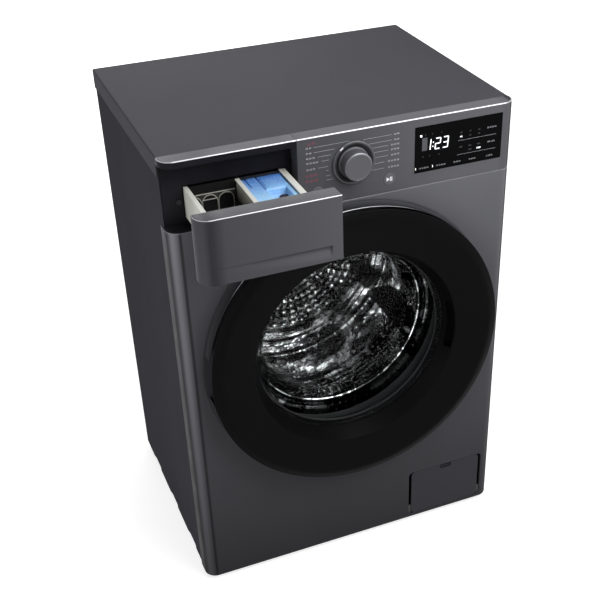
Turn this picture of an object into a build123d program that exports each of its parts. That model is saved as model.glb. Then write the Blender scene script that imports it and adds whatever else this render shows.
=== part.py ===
from build123d import *
import os

# Front load washing machine: cabinet, detergent drawer, porthole door, hung tub and direct-drive drum.
# Millimetres, +Z up. The origin is on the floor, under the middle of the cabinet's footprint.
# The front faces -Y. The detergent drawer is modelled pulled out to its stop, everything else at rest.

os.makedirs("parts", exist_ok=True)

# ---------------------------------------------------------------- cabinet
CABINET_WIDTH = 600.0
CABINET_DEPTH = 460.0
CABINET_HEIGHT = 850.0
FLOOR_GAP = 9.0  # underside of the cabinet above the floor
SHEET = 1.2  # steel sheet
CORNER_RADIUS = 22.0  # front upright edges
SEAM = 0.6  # gap between neighbouring covers
SIDE_INSET = 2.0  # side panels stand inside the front panel and the top plate
FRONT_WRAP = 43.0  # front panel's return round each corner
FLANGE = 18.0  # folded sheet flanges
STREAK_DEPTH = 1.6  # pressed upright streaks in the side panels
STREAK_WIDTH = 46.0
STREAK_SLOPE = 9.0
TOP_SKIRT = 33.0  # the top plate's side walls
TOP_CORNER = 4.0
TOP_EDGE = 3.0
BRACE_HEIGHT = 30.0
BRACE_DEPTH = 30.0
BASE_WALL = 3.0
BASE_RIM = 30.0

FRONT = -CABINET_DEPTH / 2
REAR = CABINET_DEPTH / 2
HALF_WIDTH = CABINET_WIDTH / 2
SIDE_X = HALF_WIDTH - SIDE_INSET
INSIDE_X = SIDE_X - SHEET
BASE_X = INSIDE_X - STREAK_DEPTH  # the base touches the inside of the pressed streaks
BASE_TOP = FLOOR_GAP + BASE_RIM
SIDE_TOP = CABINET_HEIGHT - SHEET - TOP_EDGE  # side and rear panels end under the top's rounded edge

# ---------------------------------------------------------------- control panel and recess
FASCIA_HEIGHT = 116.4
FASCIA_DEPTH = 28.0
FASCIA_WALL = 2.5
DRAWER_BAY = 214.0  # from the cabinet's left side to the fascia's upright edge
FASCIA_LEFT = DRAWER_BAY - HALF_WIDTH
TOP_CHAMFER = 1.4
DISPLAY_MARGIN = 28.0  # from the cabinet's right side
DISPLAY_DROP = 54.5  # its middle below the top
DISPLAY_SPACING = 37.1  # from the right button
DISPLAY_HEIGHT = 73.0
WINDOW_LIP = 3.0
WINDOW_PROUD = 0.3
WINDOW_FIT = 0.2
DIAL_SETBACK = 94.0  # its middle from the fascia's upright edge
DIAL_X = FASCIA_LEFT + DIAL_SETBACK
DIAL_DROP = 54.0  # its middle below the top
DIAL_Z = CABINET_HEIGHT - DIAL_DROP
BEZEL_RADIUS = 36.5
BEZEL_PROUD = 3.0
BEZEL_BODY_RADIUS = 33.0
KNOB_RADIUS = 24.0
KNOB_PROUD = 22.0
KNOB_SKIRT = 2.0
DIAL_SHAFT_RADIUS = 3.0
BUTTON_RADIUS = 10.5
BUTTON_RISE = 21.9  # above the fascia's lower edge
BUTTON_SPREAD = 62.4  # from the dial's centre line to each button
BUTTON_PROUD = 0.6
BUTTON_TRAVEL = 1.2
BUTTON_LIP = 2.0
BOARD_SETBACK = 12.0  # circuit board behind the panel's front face
BOARD_THICKNESS = 1.6
BOARD_MARGIN = 12.0
POST_RADIUS = 4.0
SWITCH_RADIUS = 5.0
ENCODER_SIZE = 13.0
ENCODER_DEPTH = 6.0
RUNNING_FIT = 0.05  # radial, for every shaft in its bore

FASCIA_BOTTOM = CABINET_HEIGHT - FASCIA_HEIGHT
BUTTON_Z = FASCIA_BOTTOM + BUTTON_RISE
DISPLAY_LEFT = DIAL_X + BUTTON_SPREAD + BUTTON_RADIUS + DISPLAY_SPACING
DISPLAY_RIGHT = HALF_WIDTH - DISPLAY_MARGIN
DISPLAY_WIDTH = DISPLAY_RIGHT - DISPLAY_LEFT
DISPLAY_X = (DISPLAY_LEFT + DISPLAY_RIGHT) / 2
DISPLAY_Z = CABINET_HEIGHT - DISPLAY_DROP
FASCIA_BACK = FRONT + FASCIA_DEPTH
WALL_BACK = FRONT + FASCIA_WALL  # back of the fascia's front wall
BOARD_Y = FRONT + BOARD_SETBACK
RECESS_RIGHT = FASCIA_LEFT - SEAM

# ---------------------------------------------------------------- detergent drawer
DRAWER_OPEN = 182.0  # how far it stands out
RECESS_FACE = 2.6  # thickness of the recess's back face
LEDGE = 1.6  # floor of the recess
HEAD_STRIP = 11.4  # fixed strip over the drawer
DRAWER_GAP = 0.7
DRAWER_FRONT_WALL = 3.0
SCOOP_TOP = 25.4  # the finger scoop's upper edge above the drawer's lower edge
SCOOP_HEIGHT = 19.0
SCOOP_DEPTH = 14.0
SCOOP_RIGHT = 16.0  # its right end from the drawer's right edge
SCOOP_LEFT = 24.0
TRAY_WIDTH = 164.0
TRAY_SETBACK = 12.0  # its right side from the fascia's upright edge
TRAY_RIGHT = FASCIA_LEFT - TRAY_SETBACK
TRAY_DROP = 55.0  # its rim below the top
TRAY_TOP = CABINET_HEIGHT - TRAY_DROP
CELL_SETBACK = 5.0  # the cells end this far in front of the recess's back face
TRAY_HEIGHT = 50.0
TRAY_LENGTH = 210.0
TRAY_WALL = 2.5
TRAY_LIP = 7.0
TRAY_RIGHT_LIP = 10.0
RIGHT_CELL_PITCH = 80.0  # from the tray's right side to the divider's middle
DIVIDER_X = TRAY_RIGHT - RIGHT_CELL_PITCH
HOUSING_FIT = 2.0  # between the tray and its housing
HOUSING_WALL = 2.5
RUNNER_WIDTH = 5.0  # rails that the tray slides on
RUNNER_FIT = 0.3
HOUSING_LENGTH = 222.0
CAP_THICKNESS = 3.0
CAP_SKIRT = 20.0
CAP_FIT = 0.4
CAP_POCKET = 12.0
INSERT_LENGTH = 84.0
INSERT_WALL = 2.0
INSERT_HEIGHT = 30.0
INSERT_FIT = 0.4
SURROUND_SCREW_INSET = 29.0  # from the cabinet's left side
SURROUND_SCREW_X = SURROUND_SCREW_INSET - HALF_WIDTH
SURROUND_SCREW_DROP = 78.0  # below the top
SURROUND_SCREW_Z = CABINET_HEIGHT - SURROUND_SCREW_DROP

DRAWER_FRONT_Y = FRONT - DRAWER_OPEN
DRAWER_BACK_Y = DRAWER_FRONT_Y + FASCIA_DEPTH
DRAWER_BOTTOM = FASCIA_BOTTOM + LEDGE + DRAWER_GAP
DRAWER_TOP = CABINET_HEIGHT - HEAD_STRIP - DRAWER_GAP
DRAWER_RIGHT = RECESS_RIGHT - DRAWER_GAP
TRAY_LEFT = TRAY_RIGHT - TRAY_WIDTH
TRAY_FLOOR = TRAY_TOP - TRAY_HEIGHT

# ---------------------------------------------------------------- door
DOOR_DROP = 271.6  # the door's middle below the fascia
DOOR_Z = FASCIA_BOTTOM - DOOR_DROP  # centre of the door, the tub and the drum
RING_RADIUS = 265.5
RING_EDGE = 37.0  # its outer edge in front of the panel
RING_CROWN = 42.5
RING_CROWN_RADIUS = 250.0
RING_BACK_RADIUS = 246.0
RING_BACK_GAP = 3.0
RING_WALL = 3.0
WELL_RADIUS = 188.0  # inner edge of the ring's face
WELL_EDGE = 31.0
SEAT_RADIUS = 174.0  # where the ring meets the glass
SEAT_DEPTH = 4.0
GRIP_HEIGHT = 96.0  # finger recess in the well's right wall
GRIP_DEPTH = 17.0
FRAME_RADIUS = 243.0
FRAME_THICKNESS = 4.0
GLASS_FLANGE_RADIUS = 185.0
GLASS_THICKNESS = 5.0
BOWL_MOUTH_RADIUS = 172.0
BOWL_END_RADIUS = 152.0
BOWL_DEPTH = 90.0
BOWL_CROWN = 6.0
BOWL_BEND = 10.0  # corner between the bowl's side and its end
HINGE_X = -238.0
HINGE_STANDOFF = 30.0  # hinge pin in front of the panel
HINGE_PIN_RADIUS = 3.0
KNUCKLE_RADIUS = 6.0
HINGE_CLEARANCE = 0.8
KNUCKLE_HEIGHT = 8.0
ARM_KNUCKLE_Z = 16.0  # middle of the door's knuckles above and below the centre
EAR_KNUCKLE_Z = 26.0  # middle of the cabinet's ears
EAR_REACH = 30.0  # how far the ears lean towards the middle
HINGE_NOTCH = 36.0  # half height of the opening in the ring and frame round the hinge
ARM_PLATE = 6.0
ARM_HALF_HEIGHT = 62.0
ARM_PLATE_X = -196.0
ARM_PLATE_TOP = 24.0  # in front of the panel's plane
BRACKET_HALF_HEIGHT = 44.0
BRACKET_THICKNESS = 3.0
HOOK_X = 214.0
HOOK_THICKNESS = 6.0
HOOK_WIDTH = 6.0
HOOK_REACH = 21.0  # behind the panel's plane
HOOK_BARB = 5.0
HOOK_PIN_RADIUS = 2.0
HOOK_PIVOT = 9.0  # in front of the panel's plane
HOOK_CLEARANCE = 3.0
HOOK_SWING = 8.0  # room for the hook when the button in the lock pushes it aside
LOCK_HALF_HEIGHT = 34.0
LOCK_DEPTH = 22.0
LOCK_WALL = 3.0

# ---------------------------------------------------------------- front panel
DISH_RADIUS = 268.0
DISH_FLOOR_RADIUS = 240.0
DISH_DEPTH = 9.0
PORT_RADIUS = 190.0
PORT_FLANGE = 12.0
COVER_INSET = 102.5  # its middle from the cabinet's right side
COVER_X = HALF_WIDTH - COVER_INSET
COVER_Z = 69.5
COVER_WIDTH = 147.0
COVER_HEIGHT = 103.0
COVER_CORNER = 8.0
COVER_GAP = 0.6
COVER_THICKNESS = 3.0
COVER_SLOT_WIDTH = 24.0
COVER_SLOT_HEIGHT = 8.0
COVER_PIN_RADIUS = 1.0
COVER_LUG = 5.0
COVER_LOW = COVER_Z - COVER_HEIGHT / 2
COVER_PIVOT_Y = FRONT + SHEET + 1.4  # pins in the cover's lower corners, just behind the sheet
COVER_PIVOT_Z = COVER_LOW + COVER_CORNER

# ---------------------------------------------------------------- gasket, tub and drum
GASKET_WALL = 3.0
GASKET_FIT = 0.3
TUB_RADIUS = 256.0
TUB_WALL = 4.0
TUB_SETBACK = 54.0  # behind the front panel
TUB_FRONT_Y = FRONT + TUB_SETBACK
TUB_FRONT_LENGTH = 156.0
TUB_SPLIT_Y = TUB_FRONT_Y + TUB_FRONT_LENGTH
DRIVE_SPACE = 90.0  # between the tub and the cabinet's rear
TUB_REAR_Y = REAR - DRIVE_SPACE
TUB_FLANGE = 8.0
TUB_MOUTH_RADIUS = 195.0
TUB_COLLAR = 14.0
HUB_RADIUS = 62.0
HUB_LENGTH = 44.0
HUB_INSET = 12.0  # the hub's nose inside the back wall
SUMP_WIDTH = 170.0
SUMP_DEPTH = 24.0
SUMP_MARGIN = 18.0
WEIGHT_PROUD = 2.0  # outside the tub
WEIGHT_MOUTH_GAP = 13.0  # between the blocks and the tub's mouth
WEIGHT_OUTER_RADIUS = TUB_RADIUS + WEIGHT_PROUD
WEIGHT_INNER_RADIUS = TUB_MOUTH_RADIUS + WEIGHT_MOUTH_GAP
WEIGHT_THICKNESS = 27.0
WEIGHT_SPAN = 92.0  # degrees covered by each block
DRUM_CLEARANCE = 18.0  # between the drum and the outside of the tub
DRUM_RADIUS = TUB_RADIUS - DRUM_CLEARANCE
DRUM_SHEET = 1.2
DRUM_FRONT_GAP = 18.0  # inside the tub's front
DRUM_FRONT_Y = TUB_FRONT_Y + DRUM_FRONT_GAP
DRUM_REAR_GAP = 28.0  # inside the tub's rear
DRUM_REAR_Y = TUB_REAR_Y - DRUM_REAR_GAP
DRUM_MOUTH_RADIUS = 166.0
DRUM_LIP = 10.0
DRUM_CONE = 14.0
DRUM_HOLE_RADIUS = 4.0
DRUM_HOLE_COLUMNS = 24
DRUM_HOLE_ROWS = 5
DRUM_HOLE_PITCH = 40.0
LIFTER_COUNT = 3
LIFTER_HEIGHT = 44.0
LIFTER_WIDTH = 52.0
LIFTER_TOP_WIDTH = 22.0
LIFTER_LENGTH = 200.0
SPIDER_ARM_WIDTH = 40.0
SPIDER_THICKNESS = 12.0
SPIDER_HUB_RADIUS = 40.0
SHAFT_RADIUS = 15.0
BEARING_RADIUS = 31.0
BEARING_WIDTH = 14.0
STATOR_RADIUS = 118.0
STATOR_INNER_RADIUS = 70.0
STATOR_THICKNESS = 22.0
STATOR_TEETH = 36
ROTOR_RADIUS = 132.0
ROTOR_WALL = 3.0
ROTOR_AIR_GAP = 1.5
SPRING_INSET = 38.0  # from the cabinet's side
SPRING_X = HALF_WIDTH - SPRING_INSET
SPRING_Y = 60.0
SPRING_COIL_RADIUS = 9.0
SPRING_WIRE = 2.0
SPRING_DROP = 68.0  # its upper hook below the top
SPRING_TOP_Z = CABINET_HEIGHT - SPRING_DROP
SPRING_LUG_RISE = 178.0  # above the tub's axis
SPRING_LUG_Z = DOOR_Z + SPRING_LUG_RISE
LUG_THICKNESS = 10.0
DAMPER_INSET = 150.0  # from the cabinet's side
DAMPER_X = HALF_WIDTH - DAMPER_INSET
DAMPER_Y = 62.0
DAMPER_RADIUS = 14.0
DAMPER_BORE = 11.0
DAMPER_LENGTH = 120.0
DAMPER_ROD_RADIUS = 5.0
DAMPER_LUG_DROP = 226.0  # below the tub's axis
DAMPER_LUG_Z = DOOR_Z - DAMPER_LUG_DROP
HEATER_RADIUS = 4.0
HEATER_SPREAD = 60.0
HEATER_MARGIN = 50.0  # from its bend to the joint of the tub's halves
HEATER_LENGTH = TUB_REAR_Y - TUB_SPLIT_Y - HEATER_MARGIN

# ---------------------------------------------------------------- pump and hoses
PUMP_INSET = 102.5  # from the cabinet's right side
PUMP_X = HALF_WIDTH - PUMP_INSET
PUMP_Z = 66.0
FILTER_RADIUS = 30.0
PUMP_WALL = 3.0
PUMP_FIT = 0.3
FILTER_SETBACK = 14.0  # behind the front panel
FILTER_FRONT_Y = FRONT + FILTER_SETBACK
FILTER_LENGTH = 96.0
CHAMBER_RADIUS = 27.0
CHAMBER_LENGTH = 24.0
MOTOR_RADIUS = 32.0
MOTOR_LENGTH = 52.0
IMPELLER_RADIUS = 22.0
IMPELLER_BLADES = 6
IMPELLER_SHAFT_RADIUS = 2.5
FILTER_CAP_LENGTH = 40.0
GRIP_WIDTH = 8.0
SUMP_OUTLET_X = 66.0
SUMP_OUTLET_SETBACK = 66.0  # behind the tub's front
SUMP_OUTLET_Y = TUB_FRONT_Y + SUMP_OUTLET_SETBACK
SUMP_HOSE_RADIUS = 18.0
DRAIN_HOSE_RADIUS = 13.0
HOSE_WALL = 3.0
DRAIN_INSET = 34.0  # from the cabinet's right side
DRAIN_X = HALF_WIDTH - DRAIN_INSET
SPIGOT_RADIUS = 10.0
SPIGOT_LENGTH = 14.0  # behind the rear panel
SHOULDER = 1.5  # step of each rear spigot in its hole in the panel
VALVE_INSET = 75.0  # from the cabinet's left side
VALVE_X = VALVE_INSET - HALF_WIDTH
VALVE_DROP = 64.0  # below the top
VALVE_Z = CABINET_HEIGHT - VALVE_DROP
VALVE_THREAD_RADIUS = 13.2
VALVE_BORE = 8.0
VALVE_SIZE = 44.0
VALVE_DEPTH = 46.0
BELLOWS_INSET = 120.0  # from the cabinet's left side
BELLOWS_X = BELLOWS_INSET - HALF_WIDTH
BELLOWS_Y = -44.0
BELLOWS_RADIUS = 20.0
GLAND_INSET = 50.0  # from the cabinet's left side
GLAND_X = GLAND_INSET - HALF_WIDTH
GLAND_Z = 120.0
GLAND_RADIUS = 9.0

# ---------------------------------------------------------------- rear, feet and fasteners
REAR_PORT_RADIUS = 158.0
COVER_RADIUS = 174.0
REAR_COVER_BULGE = 15.0
REAR_COVER_SLOPE = 16.0
SCREW_HEAD_RADIUS = 4.5
SCREW_HEAD = 2.0
SCREW_RADIUS = 2.0
SCREW_LENGTH = 8.0
SCREW_FIT = 0.3
COVER_SCREWS = 6
TRANSIT_SPREAD = 155.0
TRANSIT_RADIUS = 12.0
TRANSIT_LIP = 4.0
FOOT_INSET_X = 38.0  # each foot from the cabinet's side
FOOT_SPACING_X = CABINET_WIDTH - 2 * FOOT_INSET_X
FOOT_INSET_Y = 45.0  # each foot from the cabinet's front or rear
FOOT_SPACING_Y = CABINET_DEPTH - 2 * FOOT_INSET_Y
FOOT_RADIUS = 22.0
FOOT_PAD = 4.6
FOOT_STUD_RADIUS = 5.0
FOOT_STUD_LENGTH = 36.0
NUT_WIDTH = 17.0
BOSS_RADIUS = 13.0
BOSS_HEIGHT = 22.0


def facing_front(y):
    """Sketch plane at depth y that reads (x, z); extruding goes towards the front."""
    return Plane.XZ.offset(-y)


def to_back(x, y, z):
    """Sketch plane at a point, extruding towards the rear."""
    return Plane((x, y, z), x_dir=(1, 0, 0), z_dir=(0, 1, 0))


def block(low, high, mode=Mode.ADD):
    """Box between two opposite corners."""
    size = [b - a for a, b in zip(low, high)]
    with Locations(low):
        Box(*size, align=(Align.MIN, Align.MIN, Align.MIN), mode=mode)


def rod(plane, radius, length, mode=Mode.ADD):
    """Cylinder standing on a plane."""
    with BuildSketch(plane) as disc:
        Circle(radius)
    extrude(disc.sketch, amount=length, mode=mode)


def turned(points, x=0.0, z=DOOR_Z, mode=Mode.ADD, arc=360.0):
    """Revolve an outline of (radius, y) points about the line along Y through (x, z)."""
    with BuildSketch(Plane((x, 0, z))) as outline:
        with BuildLine():
            Polyline(*points, close=True)
        make_face()
    revolve(outline.sketch, axis=Axis((x, 0, z), (0, 1, 0)), revolution_arc=arc, mode=mode)


def turned_up(points, x, y, mode=Mode.ADD):
    """Revolve an outline of (radius, z) points about the upright line through (x, y)."""
    with BuildSketch(Plane((x, y, 0), x_dir=(1, 0, 0), z_dir=(0, -1, 0))) as outline:
        with BuildLine():
            Polyline(*points, close=True)
        make_face()
    revolve(outline.sketch, axis=Axis((x, y, 0), (0, 0, 1)), mode=mode)


def prism(points, plane, length, mode=Mode.ADD):
    """Extrude a closed outline from a plane."""
    with BuildSketch(plane) as outline:
        with BuildLine():
            Polyline(*points, close=True)
        make_face()
    extrude(outline.sketch, amount=length, mode=mode)


def hose(points, bend, outer, inner):
    """Tube along straight runs joined by tangent bends."""
    with BuildLine() as path:
        FilletPolyline(*points, radius=bend)
    with BuildSketch(Plane(path.line @ 0, z_dir=path.line % 0)) as section:
        Circle(outer)
        Circle(inner, mode=Mode.SUBTRACT)
    sweep(section.sketch, path=path.line)


# ================================================================ cabinet shell
with BuildPart() as base_pan:
    with BuildSketch(Plane.XY.offset(FLOOR_GAP)) as base_plan:
        Rectangle(2 * BASE_X, CABINET_DEPTH - 2 * SHEET)
        fillet(base_plan.vertices().group_by(Axis.Y)[0], CORNER_RADIUS)
    extrude(amount=BASE_RIM)
    with BuildSketch(Plane.XY.offset(FLOOR_GAP + BASE_WALL)) as base_hollow:
        Rectangle(2 * (BASE_X - BASE_WALL), CABINET_DEPTH - 2 * SHEET - 2 * BASE_WALL)
        fillet(base_hollow.vertices().group_by(Axis.Y)[0], CORNER_RADIUS - BASE_WALL)
    extrude(amount=BASE_RIM, mode=Mode.SUBTRACT)
    with BuildSketch(Plane.XY.offset(FLOOR_GAP)) as foot_bosses:
        with GridLocations(FOOT_SPACING_X, FOOT_SPACING_Y, 2, 2):
            Circle(BOSS_RADIUS)
    extrude(amount=BOSS_HEIGHT)
    # crossing ribs that stiffen the floor
    for rib_x in (-CABINET_WIDTH / 6, CABINET_WIDTH / 6):
        block(
            (rib_x - BASE_WALL / 2, -CABINET_DEPTH / 2 + SHEET + BASE_WALL, FLOOR_GAP + BASE_WALL),
            (rib_x + BASE_WALL / 2, CABINET_DEPTH / 2 - SHEET - BASE_WALL, FLOOR_GAP + BASE_RIM / 2),
        )
    # damper feet and the pump's cradle
    for side in (-1, 1):
        for end in (-1, 1):
            block(
                (side * DAMPER_X - DAMPER_RADIUS, end * DAMPER_Y - DAMPER_RADIUS, FLOOR_GAP + BASE_WALL),
                (side * DAMPER_X + DAMPER_RADIUS, end * DAMPER_Y + DAMPER_RADIUS, FLOOR_GAP + BASE_RIM),
            )
    block(
        (PUMP_X - FILTER_RADIUS, FILTER_FRONT_Y + FILTER_LENGTH / 2, FLOOR_GAP + BASE_WALL),
        (PUMP_X + FILTER_RADIUS, FILTER_FRONT_Y + FILTER_LENGTH, PUMP_Z - FILTER_RADIUS / 2),
    )
    rod(
        to_back(PUMP_X, FRONT, PUMP_Z),
        FILTER_RADIUS + PUMP_WALL + PUMP_FIT,
        CABINET_DEPTH / 2,
        mode=Mode.SUBTRACT,
    )
    # the front rim is open behind the drain cover, between the two lugs that carry its pins
    cover_side = COVER_WIDTH / 2 + COVER_GAP
    block(
        (COVER_X - cover_side, FRONT, FLOOR_GAP + BASE_WALL),
        (COVER_X + cover_side, FRONT + COVER_CORNER + FLANGE, FLOOR_GAP + 2 * BASE_RIM),
        mode=Mode.SUBTRACT,
    )
    for side in (-1, 1):
        block(
            (
                min(COVER_X + side * cover_side, COVER_X + side * (cover_side + COVER_LUG)),
                FRONT + SHEET,
                FLOOR_GAP,
            ),
            (
                max(COVER_X + side * cover_side, COVER_X + side * (cover_side + COVER_LUG)),
                FRONT + SHEET + 2 * COVER_LUG,
                COVER_PIVOT_Z + COVER_LUG,
            ),
        )
    rod(
        Plane((COVER_X - cover_side - COVER_LUG, COVER_PIVOT_Y, COVER_PIVOT_Z), z_dir=(1, 0, 0)),
        COVER_PIN_RADIUS + RUNNING_FIT,
        2 * (cover_side + COVER_LUG),
        mode=Mode.SUBTRACT,
    )
    with BuildSketch(Plane.XY.offset(FLOOR_GAP)) as foot_bores:
        with GridLocations(FOOT_SPACING_X, FOOT_SPACING_Y, 2, 2):
            Circle(FOOT_STUD_RADIUS + RUNNING_FIT)
    extrude(amount=CABINET_HEIGHT / 2, mode=Mode.SUBTRACT)
base_pan.part.label = "base_pan"
export_step(base_pan.part, "parts/base_pan.step")


SIDE_FRONT = FRONT + FRONT_WRAP + SEAM
SIDE_BACK = REAR - SHEET
BRACE_TOP = CABINET_HEIGHT - SHEET
STREAKS = (0.2, 0.5, 0.8)  # where the pressed streaks stand along the panel


def side_outline(side):
    """Plan of a side panel with its folded flanges and shallow pressed streaks."""
    run = SIDE_BACK - SIDE_FRONT
    skin = [(FLANGE, SIDE_FRONT), (0, SIDE_FRONT)]
    for share in STREAKS:
        start = SIDE_FRONT + run * share - STREAK_WIDTH / 2
        skin.append((0, start))
        skin.append((STREAK_DEPTH, start + STREAK_SLOPE))
        skin.append((STREAK_DEPTH, start + STREAK_WIDTH - STREAK_SLOPE))
        skin.append((0, start + STREAK_WIDTH))
    skin += [(0, SIDE_BACK), (FLANGE, SIDE_BACK)]
    inner = [(FLANGE, SIDE_BACK - SHEET), (SHEET, SIDE_BACK - SHEET)]
    inner += [(inset + SHEET, y) for inset, y in reversed(skin[2:-2])]
    inner += [(SHEET, SIDE_FRONT + SHEET), (FLANGE, SIDE_FRONT + SHEET)]
    return [(side * (SIDE_X - inset), y) for inset, y in skin + inner]


for side, side_label in ((-1, "side_panel_left"), (1, "side_panel_right")):
    with BuildPart() as side_panel:
        prism(side_outline(side), Plane.XY.offset(FLOOR_GAP), SIDE_TOP - FLOOR_GAP)
        # the flanges stop at the base and at the top brace
        block(
            (min(side * BASE_X, side * (BASE_X - FLANGE)), FRONT, FLOOR_GAP),
            (max(side * BASE_X, side * (BASE_X - FLANGE)), SIDE_BACK, BASE_TOP),
            mode=Mode.SUBTRACT,
        )
        block(
            (
                min(side * INSIDE_X, side * (INSIDE_X - FLANGE)),
                FRONT,
                BRACE_TOP - BRACE_HEIGHT - SEAM,
            ),
            (
                max(side * INSIDE_X, side * (INSIDE_X - FLANGE)),
                SIDE_FRONT + FLANGE,
                CABINET_HEIGHT,
            ),
            mode=Mode.SUBTRACT,
        )
        # the upper front corner reaches on to the control panel
        block(
            (min(side * SIDE_X, side * INSIDE_X), FASCIA_BACK + SEAM, FASCIA_BOTTOM),
            (max(side * SIDE_X, side * INSIDE_X), SIDE_FRONT + SHEET, SIDE_TOP),
        )
        # welded bracket that carries the tub spring
        block(
            (
                min(side * INSIDE_X, side * (SPRING_X - SPRING_COIL_RADIUS)),
                SPRING_Y - LUG_THICKNESS,
                SPRING_TOP_Z,
            ),
            (
                max(side * INSIDE_X, side * (SPRING_X - SPRING_COIL_RADIUS)),
                SPRING_Y + LUG_THICKNESS,
                SPRING_TOP_Z + SHEET * 2,
            ),
        )
    side_panel.part.label = side_label
    export_step(side_panel.part, f"parts/{side_label}.step")


with BuildPart() as rear_panel:
    block((-INSIDE_X, REAR - SHEET, FLOOR_GAP), (INSIDE_X, REAR, SIDE_TOP))
    rod(to_back(0, REAR - FLANGE, DOOR_Z), REAR_PORT_RADIUS, 2 * FLANGE, mode=Mode.SUBTRACT)
    rod(
        to_back(VALVE_X, REAR - FLANGE, VALVE_Z),
        VALVE_THREAD_RADIUS + SHOULDER + SCREW_FIT,
        2 * FLANGE,
        mode=Mode.SUBTRACT,
    )
    rod(
        to_back(DRAIN_X, REAR - FLANGE, PUMP_Z),
        SPIGOT_RADIUS + SHOULDER + SCREW_FIT,
        2 * FLANGE,
        mode=Mode.SUBTRACT,
    )
    rod(
        to_back(GLAND_X, REAR - FLANGE, GLAND_Z),
        GLAND_RADIUS + SCREW_FIT,
        2 * FLANGE,
        mode=Mode.SUBTRACT,
    )
    with BuildSketch(facing_front(REAR)) as rear_holes:
        with Locations((0, DOOR_Z)):
            with GridLocations(2 * TRANSIT_SPREAD, 2 * TRANSIT_SPREAD, 2, 2):
                Circle(TRANSIT_RADIUS + SCREW_FIT)
            with PolarLocations((REAR_PORT_RADIUS + COVER_RADIUS) / 2, COVER_SCREWS, start_angle=30):
                Circle(SCREW_RADIUS + SCREW_FIT)
    extrude(amount=2 * SHEET, mode=Mode.SUBTRACT)
rear_panel.part.label = "rear_panel"
export_step(rear_panel.part, "parts/rear_panel.step")


with BuildPart() as rear_cover:
    crown_radius = REAR_PORT_RADIUS - SHEET - REAR_COVER_SLOPE
    turned(
        [
            (0, REAR + REAR_COVER_BULGE),
            (crown_radius, REAR + REAR_COVER_BULGE),
            (REAR_PORT_RADIUS - SHEET, REAR + SHEET),
            (COVER_RADIUS, REAR + SHEET),
            (COVER_RADIUS, REAR),
            (REAR_PORT_RADIUS - 2 * SHEET, REAR),
            (crown_radius - SHEET, REAR + REAR_COVER_BULGE - SHEET),
            (0, REAR + REAR_COVER_BULGE - SHEET),
        ]
    )
    with BuildSketch(facing_front(REAR + REAR_COVER_BULGE)) as cover_holes:
        with Locations((0, DOOR_Z)):
            with PolarLocations((REAR_PORT_RADIUS + COVER_RADIUS) / 2, COVER_SCREWS, start_angle=30):
                Circle(SCREW_RADIUS + SCREW_FIT)
    extrude(amount=REAR_COVER_BULGE, mode=Mode.SUBTRACT)
rear_cover.part.label = "rear_cover"
export_step(rear_cover.part, "parts/rear_cover.step")


PANEL_TOP = FASCIA_BOTTOM - SEAM
PANEL_BACK = FRONT + FRONT_WRAP

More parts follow.
